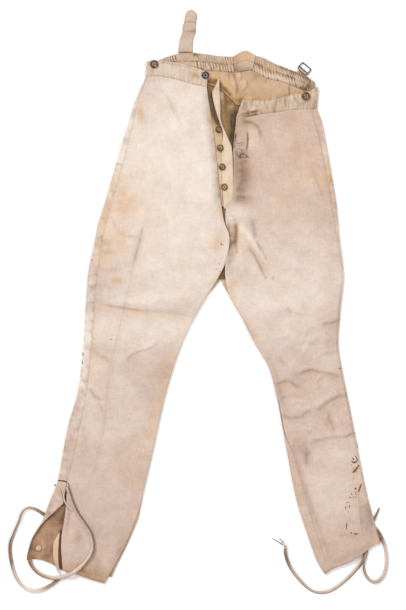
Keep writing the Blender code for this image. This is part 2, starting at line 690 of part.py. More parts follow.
def cinch_buckle(bar_height):
    """Wire frame that swings on its inner bar, with a middle bar let into it."""
    fall = (bar_height - WIRE_RADIUS) / BUCKLE_WIDTH
    half = BUCKLE_LENGTH / 2.0
    corner = 1.6

    def place(along, outwards):
        spot = chape_place(along, outwards) - chape_place(0.0, 0.0)
        return spot.x, spot.y, -fall * outwards

    points = []
    for side, end, start in ((1, 1, 0), (-1, 1, 90), (-1, 0, 180), (1, 0, 270)):
        centre_along = side * (half - corner)
        centre_out = (BUCKLE_WIDTH - corner) if end else corner
        for step in range(4):
            angle = math.radians(start + 30 * step)
            along = centre_along + corner * math.cos(angle)
            points.append(place(along, centre_out + corner * math.sin(angle)))
    frame = to_mesh(wire("cinch_buckle", points, True, "black_wire"))
    out = BUCKLE_WIDTH - BUCKLE_BAR
    bar = to_mesh(wire("middle_bar", (place(-half, out), place(half, out)), False, "black_wire"))
    join = frame.modifiers.new("middle bar", "BOOLEAN")
    join.operation = "UNION"
    join.object = bar
    CUTTERS.objects.link(bar)
    GARMENT.objects.unlink(bar)
    bar.hide_render = True
    bar.display_type = "WIRE"
    place_on_bar = Vector((*chape_place(0.0, 0.0), bar_height)) * MM
    frame.location = place_on_bar
    bar.location = place_on_bar
    return frame


def buckle_chape(bar_height):
    """Loop of cloth that holds the buckle's inner bar, with its lower layer sewn behind the waist."""
    inner = WIRE_RADIUS + GAP
    outer = inner + FINE
    loop = [(-CHAPE_TAIL + CHAPE_TAIL * step / 3.0, bar_height - outer) for step in range(4)]
    for step in range(1, 9):
        angle = math.radians(-90.0 + 22.5 * step)
        loop.append((outer * math.cos(angle), bar_height + outer * math.sin(angle)))
    loop.append((-CHAPE_LAP, bar_height + outer * 0.8))

    def point(column, row):
        outwards, height = loop[column]
        spot = chape_place(CHAPE_WIDTH * (row / 2.0 - 0.5), outwards)
        return spot.x, spot.y, height

    return cloth("buckle_chape", len(loop) - 1, 2, point, FINE, "waist_cloth")


# ---------------------------------------------------------------- assembly

def build_legs():
    """The four leg panels."""
    back_panel("left_leg_back", LEFT, "left_cloth")
    front_panel("left_leg_front", LEFT, "left_cloth")
    return (back_panel("right_leg_back", RIGHT, "right_cloth"),
            front_panel("right_leg_front", RIGHT, "right_cloth"))


def build_waist():
    """Waistbands, gathered back waist and lining."""
    right = waistband_front("waistband_front_right", RIGHT, FRONT_RIGHT_SEAM, FRONT_RIGHT_TOP,
                            ((-116, -114), (6, 8)), 22, "waist_cloth")
    left = waistband_front("waistband_front_left", LEFT, FRONT_LEFT_SEAM, FRONT_LEFT_TOP,
                           ((65, 77), (226, 228)), 26, "waist_cloth")
    gathered_band("waistband_back_right", ((-110, -108), (61, 58)), "waist_cloth")
    gathered_band("waistband_back_left", ((97.5, 104.5), (221, 223)), "waist_cloth")
    waist_piece("waistband_back_centre", BACK_SEAM, BACK_TOP, ((61.5, 58.5), (97, 104)), 8, 2,
                lambda x, y, up: BAND_FLOOR + FINE + 1.2 * math.sin(math.pi * (x - 58.0) / 46.0), FINE,
                "waist_cloth")
    lining("waist_lining_right", ((-108, -108), (64.5, 61.5)), 16, "lining")
    lining("waist_lining_left", ((65, 62), (206, 206)), 14, "lining")
    return right, left


def build_fly():
    """Button stand and underlap of the open fly, and the gusset at the fork."""
    stand_left = ((0, 409), (4, 377), (8, 352), (10, 330), (18, 283), (24, 243), (28, 203), (33, 179))
    stand_right = ((14, 409), (20, 377), (29, 357), (36, 333), (41, 283), (44, 243), (46, 203), (44, 179))
    stand = strip("fly_button_stand", [(x, y, STAND_TOP) for x, y in stand_left],
                  [(x, y, STAND_TOP) for x, y in stand_right], 10, 1, THIN, "lining")
    low = STAND_TOP + GAP + THIN
    underlap_left = ((29, 433, 11.5), (23, 419, 10), (17, 405, 8), (22, 377, 7), (31, 349, low),
                     (38, 325, low), (36, 296, low), (35, 262, low), (37, 226, low), (38.5, 196, low),
                     (40, 176, low))
    underlap_right = ((31, 432, 11), (31, 417, 10), (32, 405, 9), (33, 377, 8.5), (34, 350, 8),
                      (46, 321, 7), (56, 296, low), (59, 263, low), (60.5, 232, low), (60.5, 202, low),
                      (50, 172, low))
    underlap = strip("fly_underlap", underlap_left, underlap_right, 20, 2, THIN, "fly_cream")
    for name, x, y, diameter in FLY_BUTTONS:
        button(name, x, y, diameter, (stand, underlap), "brass")


def build_gusset():
    """Dark gusset between the legs."""
    left = ((37, 70, LINING_TOP), (24, 50, LINING_TOP), (12, 33, LINING_TOP))
    right = ((41, 70, LINING_TOP), (48, 52, LINING_TOP), (54, 36, LINING_TOP))
    strip("crotch_gusset", left, right, 4, 2, THIN, "gusset")


def build_vent():
    """Facings and covered button of the right ankle vent."""
    top = LINING_TOP
    facing_outer = ((-292, -418, top), (-307, -437, top), (-319, -452, top), (-331, -471, top),
                    (-341, -484, top), (-347, -500, top), (-350, -514, top), (-351, -525, top))
    facing_inner = ((-262, -418, top), (-268, -440, top), (-273, -460, top), (-276, -480, top),
                    (-278, -500, top), (-279, -515, top), (-280, -530, top), (-281, -540, top))
    facing = strip("right_vent_facing", facing_outer, facing_inner, 10, 3, THIN, "facing")
    high = top + GAP + THIN
    turn_outer = ((-288, -472, high), (-296, -492, high), (-297, -512, high), (-294, -532, high),
                  (-286, -545, high))
    turn_inner = ((-280, -472, high), (-280, -492, high), (-280, -512, high), (-280, -530, high),
                  (-279, -541, high))
    strip("right_vent_turnback", turn_outer, turn_inner, 8, 1, THIN, "left_cloth")
    name, x, y, diameter = ANKLE_BUTTON
    button(name, x, y, diameter, (facing,), "facing")


def build_strap():
    """Cinch strap, from under the back waist to its rounded tip."""
    left = ((-27, 573), (-33, 569.5), (-37, 562), (-39, 549), (-42, 539), (-43, 528), (-48, 512), (-51, 486),
            (-50, 470))
    right = ((-25, 573), (-18, 570), (-13.5, 562), (-15, 549), (-16, 539), (-16, 529), (-21, 512), (-22, 486),
             (-21, 470))
    strip("cinch_strap", [(x, y, THIN) for x, y in left], [(x, y, THIN) for x, y in right], 16, 2, THIN,
          "waist_cloth")
    bar_height = FINE + GAP + WIRE_RADIUS
    buckle_chape(bar_height)
    cinch_buckle(bar_height)


def build_tapes(right_back, right_front):
    """Ankle tapes, the knot at the end of the long one and its two tails."""
    outer = tape("right_tape_outer", TAPE_RIGHT_OUTER, (), "tape")
    inner = tape("right_tape_inner", TAPE_RIGHT_INNER, (right_front, outer), "tape")
    tape("right_tape_strand", TAPE_RIGHT_STRAND, (right_back, right_front, inner), "tape", width=2.6)
    long_tape = tape("left_tape_long", TAPE_LEFT_LONG, (), "tape")
    tape("left_tape_loop", TAPE_LEFT_LOOP, (long_tape,), "tape")
    tape("left_tape_stub", TAPE_LEFT_STUB, (), "tape", width=4.0, taper=0.6)
    for number, route in enumerate(TAPE_TAILS, start=1):
        tape(f"left_tape_tail_{number}", route, (), "tape", width=3.0, taper=0.5)
    shape = bmesh.new()
    bmesh.ops.create_uvsphere(shape, u_segments=12, v_segments=8, radius=1.0)
    for vertex in shape.verts:
        vertex.co = Vector(a * b for a, b in zip(vertex.co, KNOT_RADII)) * MM
    mesh = bpy.data.meshes.new("left_tape_knot")
    shape.to_mesh(mesh)
    shape.free()
    mesh.shade_smooth()
    knot = add_object("left_tape_knot", mesh, "tape")
    knot.location = Vector(KNOT_PLACE) * MM


def build_buttons(right_band, left_band):
    """Waist and brace buttons."""
    name, x, y, diameter = WAIST_BUTTON
    button(name, x, y, diameter, (right_band,), "grey_metal")
    for (name, x, y, diameter), band in zip(BRACE_BUTTONS, (right_band, left_band)):
        button(name, x, y, diameter, (band,), "brass")


def main():
    """Build every piece."""
    right_back, right_front = build_legs()
    right_band, left_band = build_waist()
    build_fly()
    build_gusset()
    build_vent()
    build_strap()
    build_buttons(right_band, left_band)
    build_tapes(right_back, right_front)


clear_scene()
GARMENT = bpy.data.collections.new("breeches")
CUTTERS = bpy.data.collections.new("cutters")
bpy.context.scene.collection.children.link(GARMENT)
bpy.context.scene.collection.children.link(CUTTERS)
main()
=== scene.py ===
"""Old buff breeches, laid flat on their back on a white table.

Each piece that is cut, sewn or fastened on is a class with its own sizes. All sizes and places are in
millimetres until a mesh is made. +X is towards the wearer's left, +Y towards the waist and +Z up from the
table.
"""

from __future__ import annotations

import logging
import math
from dataclasses import dataclass, field
from enum import Enum
from typing import Callable, Sequence

import bmesh
import bpy
import numpy as np
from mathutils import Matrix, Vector
from mathutils.bvhtree import BVHTree


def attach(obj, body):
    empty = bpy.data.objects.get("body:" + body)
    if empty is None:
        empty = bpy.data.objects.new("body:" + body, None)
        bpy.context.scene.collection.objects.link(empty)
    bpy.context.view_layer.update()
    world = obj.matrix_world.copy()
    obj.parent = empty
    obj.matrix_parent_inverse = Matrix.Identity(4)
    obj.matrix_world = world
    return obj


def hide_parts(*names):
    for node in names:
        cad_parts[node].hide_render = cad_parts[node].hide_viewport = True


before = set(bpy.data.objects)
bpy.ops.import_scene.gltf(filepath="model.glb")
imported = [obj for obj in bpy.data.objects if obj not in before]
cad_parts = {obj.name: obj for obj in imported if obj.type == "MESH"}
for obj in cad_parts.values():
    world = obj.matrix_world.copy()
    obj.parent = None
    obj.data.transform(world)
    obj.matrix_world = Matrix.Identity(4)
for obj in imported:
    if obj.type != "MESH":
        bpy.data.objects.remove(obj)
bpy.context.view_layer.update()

LOG = logging.getLogger("breeches")
MM = 0.001

# Thickness of the outer cloth, of the inside pieces, and of the back waist and the tapes
WALL, THIN, FINE = 1.5, 1.2, 1.0
# Open width of a seam, hidden width of a join, and room between pieces that lie on one another
SEAM, JOIN, GAP = 0.5, 0.05, 0.3
# Radius of a fold, shortest arc that turns an edge over, and shortest stretch of cloth past it
FOLD_RADIUS, LEAST_ARC, LEAST_WRAP = 2.5, 2.8, 0.2
# Degrees that the back and the front turn at the inner seam, and more that draw the front clear of it
INSEAM_TURN, FRONT_TURN, CLEAR_TURN = 12.0, 95.0, 20.0
# How far the front rises above its folds, and the distance from an edge that it takes to
PILLOW, PILLOW_REACH = 2.0, 25.0
# Sections above the hem in which its unevenness fades
HEM_REACH = 0.8
# Height of the gathered waist's under side, and of the outer face of the lining and of the button stand
BAND_FLOOR = 1.9
LINING_TOP = WALL + GAP + THIN
STAND_TOP = LINING_TOP + GAP + THIN
# Random values each way under the gentle waves, and a shift that keeps all places among them positive
DRIFT_CELLS, DRIFT_SHIFT = 64, 500.0
# Distance from point to point along a crease, and the part of its length in which each end fades
CREASE_STEP, CREASE_FADE = 6.0, 0.22
# Width and height of the valley at the foot of a tuck
VALLEY_WIDTH, VALLEY_HEIGHT = 4.0, -0.6
# Height that rays start from when they look for the pieces below, in metres
SKY = 0.06
# How much brighter the table's light makes a colour
DAYLIGHT = 1.26

Point2 = tuple[float, float]
Point3 = tuple[float, float, float]


class Body(str, Enum):
    """Bodies that a piece can move with."""

    BREECHES = "breeches"
    BUCKLE = "buckle"


class Side(Enum):
    """Side of the wearer that a leg is on, as the sign of its place across."""

    RIGHT = -1
    LEFT = 1


class Facing(Enum):
    """Direction in which the outer face of a cloth looks."""

    UP = 1
    DOWN = -1


# ---------------------------------------------------------------- numbers


def ease(fraction: np.ndarray | float) -> np.ndarray:
    """Smooth step from 0 to 1."""
    part = np.clip(fraction, 0.0, 1.0)
    return part * part * (3.0 - 2.0 * part)


def smooth_weights(count: int, positions: np.ndarray) -> np.ndarray:
    """Weights of numbered points on a smooth curve through them.

    Args:
        count: Number of points.
        positions: Places on the curve, counted in points.

    Returns:
        One row of weights for each position.
    """
    last = count - 1
    clipped = np.clip(np.asarray(positions, float), 0.0, last)
    start = np.minimum(clipped.astype(int), last - 1)
    part = clipped - start
    leave = part * (1.0 - part) ** 2
    arrive = -part * part * (1.0 - part)
    weights = np.zeros((len(clipped), count))
    row = np.arange(len(clipped))
    weights[row, start] += (1.0 + 2.0 * part) * (1.0 - part) ** 2
    weights[row, start + 1] += part * part * (3.0 - 2.0 * part)
    first, end = start == 0, start + 2 > last
    weights[row, start + 1] += np.where(first, leave, leave / 2.0)
    weights[row, np.maximum(start - 1, 0)] -= np.where(first, leave, leave / 2.0)
    weights[row, np.minimum(start + 2, last)] += np.where(end, arrive, arrive / 2.0)
    weights[row, start] -= np.where(end, arrive, arrive / 2.0)
    return weights


def smooth_curve(points: Sequence[Sequence[float]], positions: np.ndarray) -> np.ndarray:
    """Points of a smooth curve at positions counted in its given points."""
    table = np.asarray(points, float)
    return smooth_weights(len(table), positions) @ table


def even_line(line: np.ndarray, step: float, closed: bool = False) -> np.ndarray:
    """Points spaced evenly along a line.

    Args:
        line: Points of the line.
        step: Wanted distance from point to point.
        closed: Whether its end joins its start.

    Returns:
        Points along the line, its two ends among them where it is open.
    """
    line = np.concatenate([line, line[:1]]) if closed else line
    run = np.concatenate([[0.0], np.cumsum(np.linalg.norm(np.diff(line, axis=0), axis=1))])
    places = np.linspace(0.0, run[-1], max(1, int(round(run[-1] / step))) + 1)
    return np.stack([np.interp(places[: -1 if closed else None], run, column) for column in line.T], axis=1)


def even_curve(points: Sequence[Sequence[float]], step: float) -> np.ndarray:
    """Points spaced evenly along a smooth curve through some points."""
    return even_line(smooth_curve(points, np.linspace(0.0, len(points) - 1, 24 * len(points))), step)


def line_length(points: np.ndarray) -> float:
    """Length of a line."""
    return float(np.linalg.norm(np.diff(points, axis=0), axis=1).sum())


def read(table: Sequence[Sequence[float]], places: np.ndarray, column: int = 1) -> np.ndarray:
    """Values of a table at places, each of its rows being a place and the values there.

    Args:
        table: Rows in the order of their places.
        places: Places to read at.
        column: Number of the value in a row.

    Returns:
        Value at each place.
    """
    rows = np.array(table, float)
    return np.interp(places, rows[:, 0], rows[:, column])


def height_on(points: Sequence[Point2], x: np.ndarray) -> np.ndarray:
    """Second coordinate of a curve, given as points, at values of the first.

    Args:
        points: Points that the curve passes through.
        x: Values of the first coordinate.

    Returns:
        Value of the second at each of them.
    """
    table = np.asarray(points, float)
    shape = np.shape(x)
    positions = np.interp(np.ravel(x), table[:, 0], np.arange(len(table)))
    return (smooth_weights(len(table), positions) @ table[:, 1]).reshape(shape)


def drift(x: np.ndarray, y: np.ndarray, cell: float, seed: int) -> np.ndarray:
    """Gentle random waves over a surface, from -1 to 1.

    Args:
        x: Places across.
        y: Places along.
        cell: Distance from one wave to the next.
        seed: Number that the waves are drawn from.

    Returns:
        Height at each place.
    """
    grid = np.random.default_rng(seed).uniform(-1.0, 1.0, (DRIFT_CELLS, DRIFT_CELLS))
    turned = np.cos(seed) * x + np.sin(seed) * y, np.cos(seed) * y - np.sin(seed) * x
    across, along = (value / cell + DRIFT_SHIFT for value in turned)
    column, row = np.floor(across).astype(int), np.floor(along).astype(int)
    part_x, part_y = ease(across - column), ease(along - row)
    corners = [grid[(row + j) % DRIFT_CELLS, (column + i) % DRIFT_CELLS] for j in (0, 1) for i in (0, 1)]
    low = corners[0] + (corners[1] - corners[0]) * part_x
    high = corners[2] + (corners[3] - corners[2]) * part_x
    return low + (high - low) * part_y


def crumple(x: np.ndarray, y: np.ndarray, cell: float, seed: int) -> np.ndarray:
    """Network of small sharp furrows that run mostly across, from -1 to 0.4.

    Args:
        x: Places across.
        y: Places along.
        cell: Distance from one furrow to the next.
        seed: Number that the furrows are drawn from.

    Returns:
        Height at each place.
    """
    bent = drift(x, y, cell * 2.2, seed + 7) * cell * 0.5
    waves = drift(x * 0.55, y + bent, cell, seed)
    return 0.4 - 1.4 * (1.0 - np.abs(waves)) ** 3


# ---------------------------------------------------------------- creases and wear


@dataclass(frozen=True)
class Crease:
    """Fold in cloth along a line.

    Attributes:
        points: Line of the fold, as places on the table.
        left: Width of the slope on the left of the line, looking along it.
        right: Width of the slope on its right.
        height: Height of the ridge, or the depth of a furrow where it is negative.
        open_ends: Whether the fold runs off at its ends without fading.
        dirt_and_shade: Strength of the dirt along its line, and of the painted shade round it.
    """

    points: tuple[Point2, ...]
    left: float
    right: float
    height: float
    open_ends: bool = False
    dirt_and_shade: float = 0.0

    def relief(self, x: np.ndarray, y: np.ndarray) -> np.ndarray:
        """Height that the fold adds at places on the table.

        Args:
            x: Places across.
            y: Places along.

        Returns:
            Height at each place.
        """
        result = np.zeros(np.shape(x))
        line = even_curve(self.points, CREASE_STEP)
        reach = max(self.left, self.right)
        low, high = line.min(0) - reach, line.max(0) + reach
        near = (x > low[0]) & (x < high[0]) & (y > low[1]) & (y < high[1])
        if not near.any():
            return result
        spots = np.stack([x[near], y[near]], axis=1)
        best = np.full(len(spots), 1.0e9)
        side = np.zeros(len(spots))
        run = np.zeros(len(spots))
        for number, (start, end) in enumerate(zip(line, line[1:])):
            span = end - start
            part = np.clip(((spots - start) @ span) / (span @ span), 0.0, 1.0)
            away = spots - start - part[:, None] * span
            distance = np.hypot(*away.T)
            closer = distance < best
            best[closer] = distance[closer]
            side[closer] = (span[0] * away[:, 1] - span[1] * away[:, 0])[closer]
            run[closer] = (number + part[closer]) / (len(line) - 1)
        width = np.where(side > 0.0, self.left, self.right)
        fall = np.clip(1.0 - best / width, 0.0, 1.0)
        shape = fall * fall
        if not self.open_ends:
            shape = shape * ease(run / CREASE_FADE) * ease((1.0 - run) / CREASE_FADE)
        result[near] = self.height * shape
        return result


def tuck(
    points: tuple[Point2, ...], height: float, dirt_and_shade: float, above: float, below: float
) -> tuple[Crease, Crease]:
    """Roll of cloth that hangs over a sharp line, on the line's left.

    Args:
        points: The line.
        height: Height of the roll.
        dirt_and_shade: Strength of the dirt and painted shade along the line.
        above: Width of the roll's gentle side.
        below: Width of its steep side.

    Returns:
        The roll and the valley at its foot.
    """
    line = np.array(points, float)
    run = np.gradient(line, axis=0)
    aside = np.stack([-run[:, 1], run[:, 0]], axis=1) / np.linalg.norm(run, axis=1)[:, None]
    crest = tuple(map(tuple, line + 0.8 * below * aside))
    return Crease(crest, above, below, height), Crease(
        points, VALLEY_WIDTH, VALLEY_WIDTH, VALLEY_HEIGHT, False, dirt_and_shade
    )


def creased(*rows: tuple) -> tuple[Crease, ...]:
    """Creases from rows of the left width, the right width, the height, the dirt and painted shade, and the
    line's places.
    """
    return tuple(
        Crease(tuple(line), left, right, height, False, dirt_and_shade) for left, right, height, dirt_and_shade, *line in rows
    )


@dataclass(frozen=True)
class Patch:
    """Soft-edged area where a finish has changed.

    Attributes:
        mask: Name of the finish's mask.
        place: Middle of the patch.
        size: Half its length across and along before it is turned.
        strength: Change at its middle.
        turn: Degrees that it is turned.
    """

    mask: str
    place: Point2
    size: Point2
    strength: float
    turn: float = 0.0

    def amount(self, x: np.ndarray, y: np.ndarray) -> np.ndarray:
        """Change at places on the table.

        Args:
            x: Places across.
            y: Places along.

        Returns:
            Change at each place.
        """
        angle = math.radians(self.turn)
        dx, dy = x - self.place[0], y - self.place[1]
        across = (dx * math.cos(angle) + dy * math.sin(angle)) / self.size[0]
        along = (dy * math.cos(angle) - dx * math.sin(angle)) / self.size[1]
        return self.strength * np.exp(-(across * across + along * along))


@dataclass(frozen=True)
class Streak:
    """Stain, dirt, paleness, painted light or painted shade along a line, such as the top of a pressed fold.

    Attributes:
        mask: Name of the finish's mask.
        points: The line, as places on the table.
        width: Half the width of the streak.
        strength: Change along its line.
    """

    mask: str
    points: tuple[Point2, ...]
    width: float
    strength: float

    def amount(self, x: np.ndarray, y: np.ndarray) -> np.ndarray:
        """Change at places on the table."""
        fold = Crease(self.points, self.width, self.width, 1.0).relief(x, y)
        return self.strength * np.sqrt(np.maximum(fold, 0.0)) * (1.0 + 0.45 * drift(x, y, 15.0, 93))


Changes = tuple[Patch | Streak, ...]


def marks(**masks: tuple) -> Changes:
    """Patches and streaks from rows of numbers.

    Args:
        masks: For each mask its rows. A patch is its place across and along, half its length across and
            along, its strength, and its turn if it has one. A streak is its width, its strength, and then
            the places of its line.

    Returns:
        The patches and streaks, mask by mask.
    """
    return tuple(
        Streak(mask, row[2:], *row[:2]) if isinstance(row[2], tuple)
        else Patch(mask, row[:2], row[2:4], *row[4:])
        for mask, rows in masks.items()
        for row in rows
    )


# ---------------------------------------------------------------- meshes

# Masks of a cloth finish: paleness, dirt, yellow stains and the inside's darkness, each of which also carries
# painted light and shade in places.
MASKS = ("tone", "soil", "rust", "inner")


def paint(x: np.ndarray, y: np.ndarray, changes: Changes = (), **base: np.ndarray) -> dict[str, np.ndarray]:
    """Masks of a finish at places on it.

    Args:
        x: Places across.
        y: Places along.
        changes: Patches and streaks.
        base: Values that some of the masks start from.

    Returns:
        Value of every mask at each place.
    """
    masks = {mask: np.zeros(x.shape) + base.get(mask, 0.0) for mask in MASKS}
    for change in changes:
        masks[change.mask] += change.amount(x, y)
    return masks


def make_mesh(name: str, points: np.ndarray, faces: list, smooth: bool = True) -> bpy.types.Object:
    """Object of a mesh from points in millimetres, linked to the scene.

    Args:
        name: Name of the piece.
        points: Places of its points.
        faces: Numbers of the points of each face.
        smooth: Whether light runs smoothly over its edges.

    Returns:
        The piece.
    """
    mesh = bpy.data.meshes.new(name)
    mesh.from_pydata((np.asarray(points, float).reshape(-1, 3) * MM).tolist(), [], faces)
    if smooth:
        mesh.shade_smooth()
    item = bpy.data.objects.new(name, mesh)
    bpy.context.scene.collection.objects.link(item)
    return item


def cloth_grid(
    name: str,
    points: np.ndarray,
    thickness: float,
    facing: Facing,
    masks: dict[str, np.ndarray],
) -> bpy.types.Object:
    """Wall of cloth from a grid of points on its outer face.

    Args:
        name: Name of the piece.
        points: Array of rows by columns by three.
        thickness: Thickness of the cloth.
        facing: Direction in which the outer face looks at the middle of the grid.
        masks: Named values of the finish at each point.

    Returns:
        The piece, with its wall and a map of its cloth in metres.
    """
    rows, columns = points.shape[:2]
    index = np.arange(rows * columns).reshape(rows, columns)
    quads = np.stack([index[:-1, :-1], index[:-1, 1:], index[1:, 1:], index[1:, :-1]], axis=-1)
    row, column = rows // 2, columns // 2
    across = points[row, min(column + 1, columns - 1)] - points[row, column - 1]
    along = points[min(row + 1, rows - 1), column] - points[row - 1, column]
    if np.cross(across, along)[2] * facing.value < 0.0:
        quads = quads[..., ::-1]
    item = make_mesh(name, points, quads.reshape(-1, 4).tolist())
    mesh = item.data
    steps_x = np.linalg.norm(np.diff(points, axis=1), axis=2)
    steps_y = np.linalg.norm(np.diff(points, axis=0), axis=2)
    u = np.concatenate([np.zeros((rows, 1)), np.cumsum(steps_x, axis=1)], axis=1)
    v = np.cumsum(np.concatenate([[0.0], steps_y.mean(axis=1)]))
    flat = np.stack([u, np.repeat(v[:, None], columns, axis=1)], axis=-1).reshape(-1, 2) * MM
    corners = np.empty(len(mesh.loops), dtype=np.int32)
    mesh.loops.foreach_get("vertex_index", corners)
    mesh.uv_layers.new(name="cloth").data.foreach_set("uv", flat[corners].ravel())
    for mask in MASKS:
        values = masks.get(mask, np.zeros((rows, columns)))
        layer = mesh.attributes.new(mask, "FLOAT", "POINT")
        layer.data.foreach_set("value", np.asarray(values, np.float32).ravel())
    wall = item.modifiers.new("wall", "SOLIDIFY")
    wall.thickness = thickness * MM
    wall.offset = -1.0
    return item


def settle(item: bpy.types.Object) -> bpy.types.Object:
    """Apply the modifiers of a piece for good.

    Args:
        item: The piece.

    Returns:
        The piece as a plain mesh.
    """
    depsgraph = bpy.context.evaluated_depsgraph_get()
    mesh = bpy.data.meshes.new_from_object(item.evaluated_get(depsgraph))
    name = item.name
    bpy.data.objects.remove(item, do_unlink=True)
    mesh.name = name
    solid = bpy.data.objects.new(name, mesh)
    bpy.context.scene.collection.objects.link(solid)
    return solid


def dress(
    item: bpy.types.Object,
    materials: Sequence[bpy.types.Material],
    slot: str,
    nodes: Sequence[str] = (),
    body: Body = Body.BREECHES,
) -> None:
    """Give a piece its finish, its body and the solids that it stands for.

    Args:
        item: The piece.
        materials: Its outer finish, and the inner one where that differs.
        slot: Name of the finish group that it belongs to; not used.
        nodes: Names of the solids that it stands for.
        body: Body that it moves with.
    """
    item.data.materials.clear()
    for material in materials:
        item.data.materials.append(material)
    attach(item, body.value)
    if nodes:
        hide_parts(*nodes)
    LOG.info("%s: %d faces", item.name, len(item.data.polygons))


class Ground:
    """Finished pieces that others are laid on."""

    def __init__(self) -> None:
        """Start with nothing but the table."""
        self.trees: dict[str, BVHTree] = {}

    def add(self, item: bpy.types.Object) -> None:
        """Take a finished piece into account."""
        self.trees[item.name] = BVHTree.FromObject(item, bpy.context.evaluated_depsgraph_get())

    def top(self, x: float, y: float, names: Sequence[str], reach: float = 0.0) -> float:
        """Highest point of some pieces near a place.

        Args:
            x: Place across.
            y: Place along.
            names: Pieces that count.
            reach: Radius of the area that is looked at.

        Returns:
            Height above the table, 0 where there is none of them.
        """
        height = 0.0
        spots = [(x, y)]
        if reach > 0.0:
            spots += [
                (x + reach * part * math.cos(turn), y + reach * part * math.sin(turn))
                for part in (0.5, 1.0)
                for turn in np.linspace(0.0, 2.0 * math.pi, 8, endpoint=False)
            ]
        for name in names:
            for spot in spots:
                start = Vector((spot[0] * MM, spot[1] * MM, SKY))
                hit = self.trees[name].ray_cast(start, Vector((0.0, 0.0, -1.0)))[0]
                if hit:
                    height = max(height, hit.z / MM)
        return height

    def drape(self, points: np.ndarray, names: Sequence[str], lift: float) -> np.ndarray:
        """Points of a line laid over some pieces, a little above them."""
        heights = [self.top(x, y, names) + lift for x, y in points[:, :2]]
        return np.column_stack([points[:, :2], heights])


# ---------------------------------------------------------------- finishes


def dye(red: int, green: int, blue: int) -> tuple[float, float, float, float]:
    """Linear colour from one given as it looks on cloth in daylight, 0 to 255."""
    parts = [((value / 255.0 + 0.055) / 1.055) ** 2.4 / DAYLIGHT for value in (red, green, blue)]
    return (*parts, 1.0)


class Nodes:
    """Short way to add nodes to a tree and join them."""

    def __init__(self, tree: bpy.types.NodeTree) -> None:
        """Work on one tree."""
        self.tree = tree

    def add(self, kind: str, inputs: dict | None = None, **settings: object) -> bpy.types.Node:
        """Add a node.

        Args:
            kind: Blender's name of the node type.
            inputs: Values or other nodes' outputs, by the socket's name or number.
            settings: Properties of the node.

        Returns:
            The new node.
        """
        node = self.tree.nodes.new(kind)
        for name, value in settings.items():
            setattr(node, name, value)
        self.feed(node, inputs or {})
        return node

    def feed(self, node: bpy.types.Node, inputs: dict) -> None:
        """Give a node values or other nodes' outputs, by the socket's name or number.

        Args:
            node: The node.
            inputs: Value or other node's output for each socket, by its name or number.
        """
        for key, value in inputs.items():
            if isinstance(value, bpy.types.NodeSocket):
                self.tree.links.new(value, node.inputs[key])
            else:
                node.inputs[key].default_value = value

    def math(self, operation: str, *values: object) -> bpy.types.NodeSocket:
        """Result of a sum on numbers."""
        return self.add("ShaderNodeMath", dict(enumerate(values)), operation=operation).outputs[0]

    def blend(self, part: object, low: object, high: object) -> bpy.types.NodeSocket:
        """Colour between two others."""
        node = self.add("ShaderNodeMix", {0: part, 6: low, 7: high}, data_type="RGBA")
        return node.outputs[2]

    def noise(
        self, place: object, scale: object, detail: float = 3.0, rough: float = 0.55
    ) -> bpy.types.NodeSocket:
        """Fractal noise from 0 to 1."""
        inputs = {"Vector": place, "Scale": scale, "Detail": detail, "Roughness": rough}
        return self.add("ShaderNodeTexNoise", inputs).outputs[0]


def new_material(name: str) -> tuple[bpy.types.Material, Nodes, bpy.types.Node]:
    """New material, the helper for its nodes, and its shader.

    Args:
        name: Name of the material.

    Returns:
        The three of them.
    """
    material = bpy.data.materials.new(name)
    material.use_nodes = True
    return material, Nodes(material.node_tree), material.node_tree.nodes["Principled BSDF"]


def shader_group(
    name: str, inputs: Sequence[tuple[str, str, float]], outputs: Sequence[tuple[str, str]]
) -> tuple[bpy.types.NodeTree, Nodes, bpy.types.Node, bpy.types.Node]:
    """Empty shader node group with its sockets.

    Args:
        name: Name of the group.
        inputs: Name, short type and default of each input.
        outputs: Name and short type of each output.

    Returns:
        The group, its nodes helper, and its input and output nodes.
    """
    kinds = {"number": "NodeSocketFloat", "place": "NodeSocketVector", "colour": "NodeSocketColor"}
    group = bpy.data.node_groups.new(name, "ShaderNodeTree")
    for label, kind, default in inputs:
        socket = group.interface.new_socket(label, in_out="INPUT", socket_type=kinds[kind])
        if kind == "number":
            socket.default_value = default
    for label, kind in outputs:
        group.interface.new_socket(label, in_out="OUTPUT", socket_type=kinds[kind])
    nodes = Nodes(group)
    return group, nodes, nodes.add("NodeGroupInput"), nodes.add("NodeGroupOutput")


